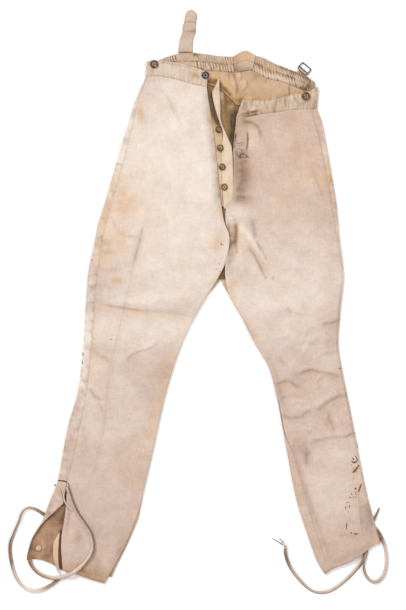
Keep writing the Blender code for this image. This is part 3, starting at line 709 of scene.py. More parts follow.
class Effects:
    """Shader groups that several finishes share."""

    def __init__(self) -> None:
        """Build each group once."""
        self.weave = self.make_weave()
        self.nap = self.make_nap()
        self.ragged = self.make_ragged()

    def make_weave(self) -> bpy.types.NodeTree:
        """Crossing threads: Height is highest at the middle of each thread."""
        inputs = [("Place", "place", 0.0), ("Threads", "number", 1500.0), ("Slant", "number", 1.0)]
        group, nodes, given, result = shader_group("Weave", inputs, [("Height", "number")])
        parts = nodes.add("ShaderNodeSeparateXYZ", {0: given.outputs["Place"]})
        u = nodes.math("MULTIPLY", parts.outputs[0], given.outputs["Threads"])
        v = nodes.math("MULTIPLY", parts.outputs[1], given.outputs["Threads"])
        wander = nodes.math("MULTIPLY", nodes.noise(given.outputs["Place"], 90.0), 3.0)
        warp = nodes.math("ABSOLUTE", nodes.math("SINE", nodes.math("ADD", u, wander)))
        slanted = nodes.math("ADD", v, nodes.math("MULTIPLY", u, given.outputs["Slant"]))
        weft = nodes.math("ABSOLUTE", nodes.math("SINE", nodes.math("ADD", slanted, wander)))
        nodes.feed(result, {"Height": nodes.math("MULTIPLY", warp, weft)})
        return group

    def make_nap(self) -> bpy.types.NodeTree:
        """Raised fibres and uneven wear: Tone is about 1, Height from 0 to 1."""
        inputs = [("Place", "place", 0.0), ("Amount", "number", 0.1)]
        outputs = [("Tone", "number"), ("Height", "number"), ("Warmth", "number")]
        group, nodes, given, result = shader_group("Nap", inputs, outputs)
        place = given.outputs["Place"]
        broad = nodes.noise(place, 24.0, 3.0, 0.55)
        mottle = nodes.noise(place, 80.0, 6.0, 0.72)
        fine = nodes.noise(place, 300.0, 4.0, 0.7)
        fibre = nodes.noise(place, 1400.0, 3.0, 0.6)
        total = nodes.math("ADD", nodes.math("MULTIPLY", broad, 0.9), nodes.math("MULTIPLY", mottle, 0.9))
        total = nodes.math("ADD", total, nodes.math("MULTIPLY", fine, 0.5))
        for stretch in ((0.25, 1.0, 1.0), (1.0, 0.25, 1.0)):
            drawn = nodes.add("ShaderNodeVectorMath", {0: place, 1: stretch}, operation="MULTIPLY")
            slubs = nodes.noise(drawn.outputs[0], 260.0, 3.0, 0.7)
            total = nodes.math("ADD", total, nodes.math("MULTIPLY", slubs, 0.6))
        swing = nodes.math("MULTIPLY", nodes.math("SUBTRACT", total, 1.75), given.outputs["Amount"])
        hue = nodes.add("ShaderNodeVectorMath", {0: place, 1: (7.0, 3.0, 1.0)}, operation="ADD")
        hue = nodes.math("SUBTRACT", nodes.noise(hue.outputs[0], 32.0, 5.0, 0.65), 0.4)
        hue = nodes.add("ShaderNodeClamp", {0: nodes.math("MULTIPLY", hue, 4.5)}).outputs[0]
        height = nodes.math("ADD", nodes.math("MULTIPLY", fine, 0.6), nodes.math("MULTIPLY", fibre, 0.4))
        nodes.feed(result, {"Tone": nodes.math("ADD", swing, 1.0), "Warmth": hue, "Height": height})
        return group

    def make_ragged(self) -> bpy.types.NodeTree:
        """Mask whose soft edge is broken up into blotches."""
        inputs = [("Place", "place", 0.0), ("Mask", "number", 0.0), ("Scale", "number", 60.0)]
        group, nodes, given, result = shader_group("Ragged edge", inputs, [("Mask", "number")])
        noise = nodes.noise(given.outputs["Place"], given.outputs["Scale"], 5.0, 0.6)
        swing = nodes.math("MULTIPLY_ADD", nodes.math("SUBTRACT", noise, 0.5), 1.6, 1.0)
        broken = nodes.math("MULTIPLY", given.outputs["Mask"], swing)
        nodes.feed(result, {"Mask": nodes.math("MINIMUM", broken, 1.0)})
        return group


@dataclass(frozen=True)
class ClothFinish:
    """Finish of a cloth, from its dyes, weave and nap.

    Attributes:
        name: Name of the material.
        colour: Colour where it is neither worn nor dirty.
        pale: Colour where it has been worn or bleached pale, and of painted light.
        dark: Colour where it has stayed or turned dark, and of painted shade.
        soil: Colour of dirt, and of painted shade.
        rust: Colour of yellow-brown stains, and of some painted shade and highlight.
        threads: Threads in a metre, times pi.
        depth: Height of the threads in metres.
        nap: Unevenness of the colour.
        warmth: Strength of its yellowed blotches.
        shade: Mask that makes it paler or darker.
        sheen: Strength of the soft light at grazing angles.
    """

    name: str
    colour: tuple[int, int, int]
    pale: tuple[int, int, int]
    dark: tuple[int, int, int]
    soil: tuple[int, int, int] = (139, 110, 83)
    rust: tuple[int, int, int] = (232, 190, 146)
    threads: float = 3000.0
    depth: float = 0.00012
    nap: float = 0.36
    warmth: float = 0.18
    shade: str = "tone"
    sheen: float = 0.12

    def make(self, effects: Effects) -> bpy.types.Material:
        """Material of this finish.

        Args:
            effects: Shader groups that the finishes share.

        Returns:
            The material.
        """
        material, nodes, shader = new_material(self.name)
        place = nodes.add("ShaderNodeTexCoord").outputs["Object"]
        cloth = nodes.add("ShaderNodeUVMap", uv_map="cloth").outputs[0]
        tone = self.mask(nodes, self.shade)
        worn = nodes.math("MAXIMUM", tone, 0.0)
        uneven = nodes.math("MULTIPLY_ADD", worn, -0.35 * self.nap, self.nap)
        nap = nodes.add("ShaderNodeGroup", {"Place": place, "Amount": uneven}, node_tree=effects.nap)
        inputs = {"Place": cloth, "Threads": self.threads}
        weave = nodes.add("ShaderNodeGroup", inputs, node_tree=effects.weave)
        colour = nodes.blend(worn, dye(*self.colour), dye(*self.pale))
        sunk = nodes.math("MAXIMUM", nodes.math("MULTIPLY", tone, -1.0), 0.0)
        colour = nodes.blend(sunk, colour, dye(*self.dark))
        warm = nodes.math("MULTIPLY", nap.outputs["Warmth"], self.warmth)
        colour = nodes.blend(warm, colour, dye(*self.rust))
        for name, stain, scale in (("rust", self.rust, 70.0), ("soil", self.soil, 110.0)):
            inputs = {"Place": place, "Mask": self.mask(nodes, name), "Scale": scale}
            ragged = nodes.add("ShaderNodeGroup", inputs, node_tree=effects.ragged)
            colour = nodes.blend(ragged.outputs["Mask"], colour, dye(*stain))
        threads = nodes.math("MULTIPLY_ADD", weave.outputs["Height"], 0.06, 0.96)
        shade = nodes.math("MULTIPLY", nap.outputs["Tone"], threads)
        tint = nodes.add(
            "ShaderNodeCombineXYZ",
            {0: shade, 1: nodes.math("POWER", shade, 1.15), 2: nodes.math("POWER", shade, 1.45)},
        ).outputs[0]
        colour = nodes.add("ShaderNodeVectorMath", {0: colour, 1: tint}, operation="MULTIPLY").outputs[0]
        inputs = {"Height": weave.outputs["Height"], "Distance": self.depth, "Strength": 0.7}
        bump = nodes.add("ShaderNodeBump", inputs).outputs[0]
        inputs = {"Height": nap.outputs["Height"], "Distance": 0.0006, "Strength": 0.5, "Normal": bump}
        fluff = nodes.add("ShaderNodeBump", inputs).outputs[0]
        roughness = nodes.math("MULTIPLY_ADD", nap.outputs["Height"], 0.12, 0.82)
        nodes.feed(shader, {"Base Color": colour, "Normal": fluff, "Roughness": roughness})
        nodes.feed(shader, {"Sheen Weight": self.sheen, "Sheen Roughness": 0.5, "Specular IOR Level": 0.2})
        return material

    @staticmethod
    def mask(nodes: Nodes, name: str) -> bpy.types.NodeSocket:
        """Value of a mask that the mesh carries."""
        return nodes.add("ShaderNodeAttribute", attribute_name=name).outputs["Fac"]


@dataclass(frozen=True)
class HardFinish:
    """Finish of metal, horn or thread, worn lighter in blotches.

    Attributes:
        name: Name of the material.
        colour: Colour where it isn't worn.
        worn: Colour where it is.
        roughness: Roughness of most of it.
        metallic: How far it is metal, 0 to 1.
        scale: Number of blotches in a metre.
    """

    name: str
    colour: tuple[int, int, int]
    worn: tuple[int, int, int]
    roughness: float
    metallic: float
    scale: float = 260.0

    def make(self) -> bpy.types.Material:
        """Material of this finish."""
        material, nodes, shader = new_material(self.name)
        place = nodes.add("ShaderNodeTexCoord").outputs["Object"]
        blotch = nodes.noise(place, self.scale, 5.0, 0.6)
        ramp = nodes.add("ShaderNodeMapRange", {0: blotch, 1: 0.42, 2: 0.62}).outputs[0]
        colour = nodes.blend(ramp, dye(*self.colour), dye(*self.worn))
        rough = nodes.math("MULTIPLY_ADD", blotch, 0.3, self.roughness - 0.15)
        bump = nodes.add("ShaderNodeBump", {"Height": blotch, "Distance": 0.0002, "Strength": 0.5})
        nodes.feed(shader, {"Base Color": colour, "Roughness": rough, "Normal": bump.outputs[0],
                            "Metallic": self.metallic})
        return material


class Finishes:
    """Materials of every piece."""

    def __init__(self) -> None:
        """Make each material once."""
        effects = Effects()
        cloths = (
            ClothFinish("buff cloth", (217, 192, 179), (252, 239, 227), (188, 150, 126)),
            ClothFinish("waist cloth", (212, 187, 167), (238, 222, 206), (150, 112, 84)),
            ClothFinish("inner cloth", (154, 120, 78), (226, 200, 168), (48, 26, 8), soil=(96, 66, 36),
                        shade="inner", sheen=0.04),
            ClothFinish("lining", (208, 171, 134), (226, 198, 170), (120, 84, 48), soil=(146, 106, 62)),
            ClothFinish("fly cotton", (236, 212, 184), (248, 230, 208), (190, 150, 110)),
            ClothFinish("stand cotton", (214, 181, 138), (232, 204, 172), (70, 42, 16)),
            ClothFinish("facing", (172, 136, 108), (200, 162, 134), (112, 72, 48), soil=(112, 72, 48),
                        nap=0.7, warmth=0.10),
            ClothFinish("gusset", (104, 74, 58), (140, 110, 90), (60, 40, 30), nap=0.3),
            ClothFinish("tape", (218, 194, 178), (244, 226, 212), (146, 116, 96), soil=(142, 113, 92),
                        threads=4200.0, warmth=0.10),
        )
        self.cloth = {finish.name: finish.make(effects) for finish in cloths}
        hard = (
            HardFinish("dull brass", (84, 58, 32), (146, 110, 66), 0.55, 0.35, 180.0),
            HardFinish("horn", (132, 102, 68), (204, 176, 136), 0.45, 0.0, 180.0),
            HardFinish("worn brass", (128, 98, 62), (206, 184, 140), 0.42, 0.6),
            HardFinish("grey metal", (50, 52, 52), (88, 92, 92), 0.5, 0.5),
            HardFinish("pale metal", (104, 110, 112), (164, 170, 174), 0.42, 0.5),
            HardFinish("japanned wire", (40, 40, 42), (74, 72, 70), 0.38, 0.6),
            HardFinish("thread", (196, 166, 140), (222, 198, 174), 0.9, 0.0),
            HardFinish("brown thread", (112, 78, 54), (146, 108, 80), 0.9, 0.0),
            HardFinish("torn edge", (104, 70, 50), (150, 110, 84), 0.95, 0.0),
        )
        self.hard = {finish.name: finish.make() for finish in hard}


# ---------------------------------------------------------------- waist curves

FRONT_RIGHT_SEAM = ((-116, 438), (-97, 439), (-66, 435), (-36, 427), (-14, 421), (6, 417))
FRONT_RIGHT_TOP = ((-114, 469), (-97, 471), (-66, 468), (-38, 462), (-14, 455), (6, 448))
FRONT_LEFT_SEAM = ((65, 358), (92, 359), (120, 364), (146, 367), (170, 371), (192, 373), (226, 375))
FRONT_LEFT_TOP = ((76, 392), (96, 391), (116, 393), (142, 397), (168, 403), (192, 405), (214, 412),
                  (228, 419))
BACK_SEAM = ((-116, 438), (-84, 447), (-44, 454), (4, 451), (32, 449), (62, 447), (80, 450), (96, 451),
             (114, 441), (130, 434), (150, 430), (168, 424), (184, 417), (198, 411), (211, 399),
             (220, 376), (228, 371))
BACK_TOP = ((-112, 464), (-84, 474), (-68, 480), (-50, 485), (-22, 486), (2, 484), (32, 480), (58, 479),
            (68, 484), (80, 490), (90, 489), (104, 481), (116, 478), (128, 472), (144, 464), (168, 455),
            (182, 449.5), (195, 444.5), (208, 438), (224, 426))
LINING_EDGE = ((-112, 412), (-78, 419), (-48, 425), (-18, 429), (8, 424), (22, 419), (34, 412), (45, 403),
               (58, 391), (66, 382), (92, 381), (122, 385), (152, 388), (182, 391), (208, 394))
CENTRE_BACK = ((34, 34), (68, 38.5), (110, 43), (149, 45), (200, 49), (269, 54), (337, 57), (393, 60),
               (447, 62))
CENTRE_BACK_POINT = BACK_SEAM[5]


# ---------------------------------------------------------------- legs

INSEAM = (180, INSEAM_TURN, 0, FRONT_TURN, 0)
FREE = (180, 0, 0, 0, 0)

# Sections of a leg from the waist to the hem: the outer fold, the inner edge of the front and of the
# back (None where it follows the centre back), the distance to the side seam, the open distance past
# it, then how far the panels turn over, the distance to a seam on top, and the sag of the section.
RIGHT_ROWS = (
    ((-116, 437), (6, 416.5), None, 3, 0, *FREE),
    ((-136, 393), (10, 387), None, 4, 0, *FREE),
    ((-154, 337), (18, 337), None, 10, 0, *FREE),
    ((-174, 269), (26, 269), None, 13, 0, *FREE),
    ((-196, 193), (34, 193), None, 14, 0, *FREE),
    ((-210, 149), (41, 149), None, 16, 0, *FREE),
    ((-216, 122), (51, 122), None, 16, 0, *FREE),
    ((-220, 100), (50.5, 98), None, 16, 0, *FREE),
    ((-228, 66), (43, 66), None, 18, 0, *FREE),
    ((-232, 37), (27, 34), None, 19, 0, 180, 0, 0, 30, 0),
    ((-235, -3), (4, -3), (4, -3), 18, 0, *INSEAM),
    ((-238, -59), (-28, -59), (-28, -59), 17, 0, *INSEAM),
    ((-242, -119), (-53, -119), (-53, -119), 15, 0, *INSEAM),
    ((-252, -191), (-75, -191), (-75, -191), 17, 0, *INSEAM),
    ((-270, -255), (-90, -255), (-90, -255), 23, 0, *INSEAM),
    ((-282, -315), (-103, -315), (-103, -315), 23, 0, *INSEAM),
    ((-292, -369), (-117, -375), (-117, -375), 18, 0, *INSEAM),
    ((-308, -411), (-128, -423), (-126, -421), 28, 6, 180, INSEAM_TURN, 0, 90, 0),
    ((-322, -447), (-140, -457), (-131, -445), 6, 37, 150, 10, 0, 80, 0),
    ((-342, -481), (-156, -497), (-146, -481), 3, 55, 0, 6, 0, 80, 0),
    ((-352, -513), (-180, -541), (-170, -531), 3, 67, 0, 6, 0, 80, 0),
    ((-354, -527), (-198, -573), (-184, -561), 3, 73, 0, 6, 0, 80, 0),
)
LEFT_ROWS = (
    ((226, 374), (65, 357), None, 12, 0, *FREE),
    ((236, 349), (63, 335), None, 15, 0, *FREE),
    ((246, 299), (59, 299), None, 11, 0, *FREE),
    ((256, 241), (60, 241), None, 10, 0, *FREE),
    ((264, 194), (57.5, 196), None, 10, 0, *FREE),
    ((266, 177), (45.5, 179), None, 9, 0, *FREE),
    ((269, 147), (43.5, 149), None, 7, 0, *FREE),
    ((271, 120), (51.6, 122), None, 5, 0, *FREE),
    ((274, 97), (51.0, 98), None, 4, 0, *FREE),
    ((278, 66), (43.4, 66), None, 4, 0, *FREE),
    ((280, 34), (43.5, 34), None, 3, 0, 180, 0, 0, 30, 0),
    ((276, -1), (52, -1), (52, -1), 3, 0, *INSEAM),
    ((272, -43), (76, -43), (76, -43), 3, 0, *INSEAM),
    ((269, -95), (102, -95), (102, -95), 3, 0, *INSEAM),
    ((276, -143), (130, -143), (130, -143), 3, 0, *INSEAM),
    ((288, -203), (146, -203), (146, -203), 3, 0, *INSEAM),
    ((300, -263), (157, -263), (157, -263), 3, 0, 180, 140, 0, 30, 0),
    ((310, -315), (167, -315), (167, -315), 3, 0, 180, 180, 12, 0, 0),
    ((322, -375), (178, -375), (178, -375), 3, 0, 180, 180, 19, 0, 0),
    ((334, -425), (190, -425), (190, -425), 3, 0, 180, 180, 21, 0, 1),
    ((344, -459), (208, -479), (208, -479), 3, 0, 180, 180, 19, 0, 3),
    ((352, -481), (226, -529), (226, -529), 3, 0, 180, 180, 18, 0, 5),
    ((354, -492), (242, -555), (242, -555), 3, 0, 180, 180, 17, 0, 7),
)
# Part of the way across from the outer fold, and height of the hem above its straight line there
RIGHT_HEM = ((0.0, 0.0), (0.03, 2.4), (0.077, 4.4), (0.165, 6.6), (0.224, 5.4), (0.282, 4.2), (0.332, 1.6),
             (0.39, 0.0), (0.5, 1.5), (0.62, 2.2), (0.72, 1.2), (0.85, 0.4), (1.0, 0.0))
LEFT_HEM = ((0.0, 0.0), (0.05, 2.0), (0.1, 5.0), (0.17, 7.0), (0.24, 6.2), (0.32, 5.0), (0.43, 3.4),
            (0.53, 3.0), (0.64, 4.2), (0.75, 5.6), (0.86, 5.6), (0.91, 3.8), (0.96, 1.2), (1.0, -0.5))


def bend(turn: np.ndarray, part: float, flat: np.ndarray | float = 0.0) -> tuple[np.ndarray, np.ndarray]:
    """How far along and up a cloth is where it turns over.

    Args:
        turn: Degrees that it turns in all, one for each section.
        part: Part of the turn that is done, 0 to 1.
        flat: Straight distance past the turn.

    Returns:
        Distances along the table and above it.
    """
    angle = np.radians(np.maximum(turn, 0.6))
    radius = np.maximum(FOLD_RADIUS * angle, LEAST_ARC) / angle
    along = radius * np.sin(angle * part) + flat * np.cos(angle)
    return along, radius * (1.0 - np.cos(angle * part)) + flat * np.sin(angle)


def reach_of(turn: np.ndarray, flat: np.ndarray | float) -> np.ndarray:
    """How far a turned edge reaches past the start of its turn.

    Args:
        turn: Degrees that it turns in all.
        flat: Straight distance past the turn.

    Returns:
        Distance along the table.
    """
    angle = np.radians(np.maximum(turn, 0.6))
    radius = np.maximum(FOLD_RADIUS * angle, LEAST_ARC) / angle
    widest = np.minimum(angle, math.pi / 2.0)
    return radius * np.sin(widest) + np.where(turn < 90.0, flat, 0.0) * np.cos(widest)


def hem_lift(part: np.ndarray, above: np.ndarray, lifts: tuple[Point2, ...]) -> np.ndarray:
    """How far an uneven hem lies above its straight line.

    Args:
        part: Part of the way across.
        above: Distance above the hem, 1 where its unevenness ends.
        lifts: Part of the way across and height there.

    Returns:
        Height at every point.
    """
    return np.clip(1.0 - above, 0.0, 1.0) ** 1.5 * read(lifts, part)


@dataclass
class Leg:
    """A leg lying flat: its back panel on the table and its front panel on top.

    Attributes:
        side: Wearer's side.
        rows: Sections from the waist to the hem.
        front_seam: Seam of the front to its waistband.
        fly_lift: Height of the free fly edge above the folds.
        creases: Folds in the front.
        back_creases: Folds in the back, where it lies on the table.
        changes: Patches and streaks of the finish.
        tones: Height on the leg and paleness there, from the hem up.
        crumples: Areas that are crumpled, by their depth.
        calm: Depth of the crumples elsewhere.
        inside: Changes of the finish on the inside of the back panel.
        seam_gap: Open width of the side seam.
        seam_dip: Depth of the groove along it.
        strip_tone: How much darker the back panel is where it shows beside the side seam.
        strip: Changes of the finish there.
        wrap_columns: Number of the back panel's columns of points there.
        hem: Part of the way across from the outer fold, and height of the uneven hem there.
        step: Distance from point to point along the leg.
        dirt_and_shade_width: Half the width of the dirt and painted shade along a crease; a wider halo of
            painted shade lies round it.
        across: Number of steps across the front.
        waves: Height, length and seed of the gentle waves in the front.
        furrows: Depth, distance and seed of the small furrows in it.
        shoulder: Distance from an edge in which the folds rise.
        fly_reach: Distance from the fly in which the front rises to its full height.
        seam_width: Half the width of the groove along the side seam.
        back_edge_reach: Distance from an edge of the back in which its folds rise.
        back_lift: Most that a fold holds the back off the table.
        floor_columns: Number of steps across the back where it lies on the table.
        bend_columns: Number of steps round a fold.
    """

    side: Side
    rows: tuple[tuple, ...]
    front_seam: tuple[Point2, ...]
    fly_lift: float
    creases: tuple[Crease, ...]
    back_creases: tuple[Crease, ...]
    changes: Changes
    tones: tuple[Point2, ...]
    crumples: Changes
    inside: Changes
    strip: Changes
    hem: tuple[Point2, ...]
    calm: float = 0.16
    seam_gap: float = 0.05
    seam_dip: float = 0.3
    strip_tone: float = 0.12
    wrap_columns: int = 11
    step: float = 2.6
    dirt_and_shade_width: float = 3.0
    waves: tuple[tuple[float, float, int], ...] = ((0.55, 46.0, 3), (0.30, 19.0, 5), (0.10, 8.0, 8))
    furrows: tuple[tuple[float, float, int], ...] = ((1.0, 26.0, 11), (0.5, 12.0, 14))
    shoulder: float = 9.0
    fly_reach: float = 60.0
    seam_width: float = 2.2
    back_edge_reach: float = 14.0
    back_lift: float = 2.2
    across: int = 84
    floor_columns: int = 44
    bend_columns: int = 8

    def __post_init__(self) -> None:
        """Turn the table of sections into arrays."""
        self.outer = np.array([row[0] for row in self.rows], float)
        self.front = np.array([row[1] for row in self.rows], float)
        backs = [row[2] or (self.back_edge(row[1][1]), row[1][1]) for row in self.rows]
        backs[0] = (self.back_edge(CENTRE_BACK_POINT[1]), CENTRE_BACK_POINT[1])
        self.back = np.array(backs, float)
        names = ("seam", "vent", "turn", "back_turn", "inner_seam", "front_turn", "sag")
        self.sizes = {name: np.array([row[3 + n] for row in self.rows], float)
                      for n, name in enumerate(names)}
        positions = []
        for number, (upper, lower) in enumerate(zip(self.outer, self.outer[1:])):
            count = max(1, int(round(np.linalg.norm(upper - lower) / self.step)))
            positions += [number + n / count for n in range(count)]
        self.positions = np.array(positions + [len(self.rows) - 1.0])
        self.weights = smooth_weights(len(self.rows), self.positions)

    def back_edge(self, y: float) -> float:
        """Edge of the back panel along the centre back seam."""
        return float(height_on(CENTRE_BACK, np.array([y]))[0]) + self.side.value * SEAM / 2.0

    def size(self, name: str) -> np.ndarray:
        """A measure of the sections at every position, as a column."""
        table = self.sizes[name]
        return np.interp(self.positions, np.arange(len(table)), table)[:, None]

    def place(self, part: np.ndarray, back: bool = False) -> np.ndarray:
        """Places part of the way from the outer fold to the inner edge.

        Args:
            part: Array of positions by columns.
            back: Whether the edge of the back panel counts.

        Returns:
            Places on the table for each part.
        """
        inner = self.back if back else self.front
        start, span = self.weights @ self.outer, self.weights @ (inner - self.outer)
        spots = start[:, None, :] + part[..., None] * span[:, None, :]
        sag = (self.weights @ self.sizes["sag"])[:, None]
        first = self.outer[0] + part[..., None] * (inner[0] - self.outer[0])
        seam = height_on(BACK_SEAM if back else self.front_seam, first[..., 0]) - (SEAM if back else JOIN)
        spots[..., 1] += self.weights[:, :1] * (seam - first[..., 1]) - sag * 4.0 * part * (1.0 - part)
        spots[..., 1] += hem_lift(part, (self.positions[-1] - self.positions)[:, None] / HEM_REACH, self.hem)
        return spots

    def width(self, back: bool = False) -> np.ndarray:
        """Straight width of every section, as a column."""
        ends = self.place(np.tile([0.0, 1.0], (len(self.positions), 1)), back)
        return np.linalg.norm(ends[:, 1] - ends[:, 0], axis=1)[:, None]

    def fly_edge(self, inner: np.ndarray) -> np.ndarray:
        """Part of the front's height at distances from the free edge of the fly."""
        free = self.fly_lift / PILLOW
        return free + (1.0 - free) * ease(inner / self.fly_reach)

    def crown(self, outer: np.ndarray, edge: np.ndarray) -> np.ndarray:
        """Height of the front at distances from the outer fold, where its inner edge lets a part of it."""
        rise = 1.0 - np.exp(-np.maximum(outer - FOLD_RADIUS, 0.0) / PILLOW_REACH)
        return 2.0 * FOLD_RADIUS + PILLOW * rise * edge

    def surface(self, distance: np.ndarray, drop: np.ndarray | float = 0.0) -> np.ndarray:
        """Points of the upper layer at distances from the outer fold.

        Args:
            distance: Array of positions by columns.
            drop: Depth below the surface, where the cloth turns down.

        Returns:
            Points with their height above the table.
        """
        width = self.width()
        spots = self.place(np.clip(distance / width, 0.0, 1.0))
        inner = width - distance
        joined = np.clip((self.size("back_turn") + self.size("front_turn")) / FRONT_TURN, 0.0, 1.0)
        rise = 1.0 - np.exp(-np.maximum(inner, 0.0) / PILLOW_REACH)
        height = self.crown(distance, self.fly_edge(inner) * (1.0 - joined) + rise * joined)
        shoulder = np.clip(distance / self.shoulder, 0.0, 1.0) * np.clip(inner / self.shoulder, 0.0, 1.0)
        x, y = spots[..., 0], spots[..., 1]
        folds = sum(crease.relief(x, y) for crease in self.creases)
        waves = sum(height * drift(x, y, cell, seed) for height, cell, seed in self.waves)
        rough = self.calm + sum(patch.amount(x, y) for patch in self.crumples)
        waves = waves + rough * sum(depth * crumple(x, y, cell, seed) for depth, cell, seed in self.furrows)
        folds = (folds + waves) * shoulder
        guard = np.where((joined < 0.5) & (inner < 34.0), -0.25, -3.0)
        height = height + np.maximum(folds, guard) - drop
        return np.concatenate([spots, height[..., None]], axis=-1)

    def masks(self, points: np.ndarray) -> dict[str, np.ndarray]:
        """Values of the finish at points of the cloth.

        Args:
            points: Places of the points, with their height.

        Returns:
            Value of every mask at each point.
        """
        x, y = points[..., 0], points[..., 1]
        result = paint(x, y, self.changes, tone=read(self.tones, y) + 0.05 * drift(x, y, 30.0, 12))
        # Along each crease: a narrow darker streak of dirt and painted shade, and a halo 3.5 times as wide,
        # painted shade of the fold.
        for crease in self.creases:
            if crease.dirt_and_shade:
                result["soil"] += Streak("soil", crease.points, self.dirt_and_shade_width, crease.dirt_and_shade).amount(x, y)
                painted_crease_shade = Streak("tone", crease.points, 3.5 * self.dirt_and_shade_width, crease.dirt_and_shade)
                result["tone"] -= 1.1 * painted_crease_shade.amount(x, y)
        return {mask: np.clip(values, -1.0, 1.0) for mask, values in result.items()}

    def front_points(self) -> np.ndarray:
        """Grid of the front panel's outer face, turned down at the inner seam."""
        width = self.width()
        front_turn = self.size("front_turn")
        drawn_back = np.clip((self.size("back_turn") - INSEAM_TURN) / CLEAR_TURN, 0.0, 1.0)
        tuck = drawn_back * (np.maximum(self.size("inner_seam"), FOLD_RADIUS + LEAST_WRAP) + JOIN)
        reach = reach_of(front_turn, 0.0)
        start = np.maximum(self.size("seam"), FOLD_RADIUS + LEAST_WRAP)
        start = start + np.maximum(self.size("vent"), self.seam_gap)
        end = width - reach - tuck
        parts = np.linspace(0.0, 1.0, self.across + 1)[None, :]
        top = start + (end - start) * parts
        along, drop = zip(*(bend(front_turn, part / self.bend_columns)
                            for part in range(1, self.bend_columns + 1)))
        distance = np.concatenate([top, *(end + value for value in along)], axis=1)
        drops = np.concatenate([np.zeros_like(top), *drop], axis=1)
        dip = self.seam_dip * np.exp(-(((distance - start) / self.seam_width) ** 2))
        return self.surface(distance, drops + dip)

    def back_points(self) -> np.ndarray:
        """Grid of the back panel's outer face, from the inner edge round to the side seam."""
        turn, back_turn = self.size("turn"), self.size("back_turn")
        wrap = np.maximum(self.size("seam") - FOLD_RADIUS, LEAST_WRAP)
        inner_wrap = np.maximum(self.size("inner_seam") - FOLD_RADIUS, LEAST_WRAP)
        back_width, front_width = self.width(back=True), self.width()
        outer_reach, inner_reach = reach_of(turn, wrap), reach_of(back_turn, inner_wrap)
        steps = self.bend_columns
        section = [("inner", 1.0 + part) for part in (1.0, 0.9, 0.6, 0.3)]
        section += [("inner", 1.0 - part / steps) for part in range(steps)]
        section += [("floor", part / self.floor_columns) for part in range(self.floor_columns)]
        section += [("outer", part / steps) for part in range(steps)]
        section += [("outer", 1.0 + part) for part in (0.0, 0.2, 0.4, 0.6, 0.8, 0.92, 1.0)]
        columns = []
        for kind, part in section:
            if kind == "floor":
                distance = back_width - inner_reach + (outer_reach - back_width + inner_reach) * part
                spots = self.place(distance / back_width, back=True)
                height = self.floor_height(spots, distance, back_width)
                columns.append(np.concatenate([spots, height[..., None]], axis=-1))
                continue
            whole, flat = (turn, wrap) if kind == "outer" else (back_turn, inner_wrap)
            past = max(part - 1.0, 0.0)
            along, height = bend(whole, min(part, 1.0), flat * past)
            over = whole * min(part, 1.0) > 90.0
            span = np.where(over, front_width, back_width)
            distance = outer_reach - along if kind == "outer" else span - inner_reach + along
            spots = np.where(over[..., None], self.place(distance / span),
                             self.place(distance / span, back=True))
            lift = self.surface(distance)[..., 2] - 2.0 * FOLD_RADIUS
            blend = np.where(over, ease((height - FOLD_RADIUS) / FOLD_RADIUS), 0.0)
            dip = self.seam_dip * np.exp(-((flat * (1.0 - past) / 1.6) ** 2)) if part > 1.0 else 0.0
            height = height + lift * blend - dip * np.where(whole > 150.0, 1.0, 0.0)
            columns.append(np.concatenate([spots, height[..., None]], axis=-1))
        return np.concatenate(columns, axis=1)

    def floor_height(self, spots: np.ndarray, distance: np.ndarray, width: np.ndarray) -> np.ndarray:
        """Height at which folds hold the back panel off the table.

        Args:
            spots: Places on the table.
            distance: Distance from the outer fold.
            width: Width of the panel.

        Returns:
            Height at each place.
        """
        x, y = spots[..., 0], spots[..., 1]
        folds = sum(crease.relief(x, y) for crease in self.back_creases)
        reach = self.back_edge_reach
        edge = np.clip(distance / reach, 0.0, 1.0) * np.clip((width - distance) / reach, 0.0, 1.0)
        ends = np.clip(np.minimum(self.positions, self.positions[-1] - self.positions) / 0.4, 0.0, 1.0)
        waves = np.maximum(0.0, drift(x, y, 34.0, 21) - 0.25)
        return (np.clip(folds, 0.0, self.back_lift) + 0.5 * waves) * edge * ends[:, None]

    def build(self, finishes: Finishes, ground: Ground, seams: Seams) -> None:
        """Make both panels and the stitches of the side seam.

        Args:
            finishes: Materials of every piece.
            ground: Finished pieces that others lie on.
            seams: Lines of stitches.
        """
        name = self.side.name.lower()
        slot = f"{name}_cloth"
        outer, inner = finishes.cloth["buff cloth"], finishes.cloth["inner cloth"]
        for part, facing, points in (("back", Facing.DOWN, self.back_points()),
                                     ("front", Facing.UP, self.front_points())):
            masks = self.masks(points)
            if part == "back":
                wrapped = np.arange(points.shape[1]) > points.shape[1] - 1 - self.wrap_columns
                x, y = points[:, wrapped, 0], points[:, wrapped, 1]
                masks["tone"][:, wrapped] += 0.3 * drift(y, x, 12.0, 26) - self.strip_tone
                masks["soil"][:, wrapped] += np.maximum(0.34 * drift(y, x, 7.0, 27), 0.0)
                for change in self.strip:
                    masks[change.mask][:, wrapped] += change.amount(x, y)
                for change in self.inside:
                    masks["inner"] += change.amount(points[..., 0], points[..., 1])
            item = cloth_grid(f"{name}_{part}_panel", points, WALL, facing, masks)
            item.modifiers["wall"].material_offset = 1
            dress(item, (outer, inner), slot, (f"{name}_leg_{part}",))
            sides = np.linalg.norm(np.diff(points, axis=1), axis=2)
            runs = np.linalg.norm(np.diff(points, axis=0), axis=2)
            area = float((sides[:-1] * runs[:, :-1]).sum()) * MM * MM
            girth = float(sides.sum(axis=1).max())
            length = max(line_length(points.mean(axis=1)), line_length(self.weights @ self.outer))
            flat = (round(girth * MM, 3), round(length * MM, 3))
            LOG.info("%s: cut %s m, area %.4f m2", item.name, flat, area)
            ground.add(item)
            if part == "front":
                above_vent = points[:, 1][self.size("vent")[:, 0] < 2.0]
                seams.sew("thread", above_vent)


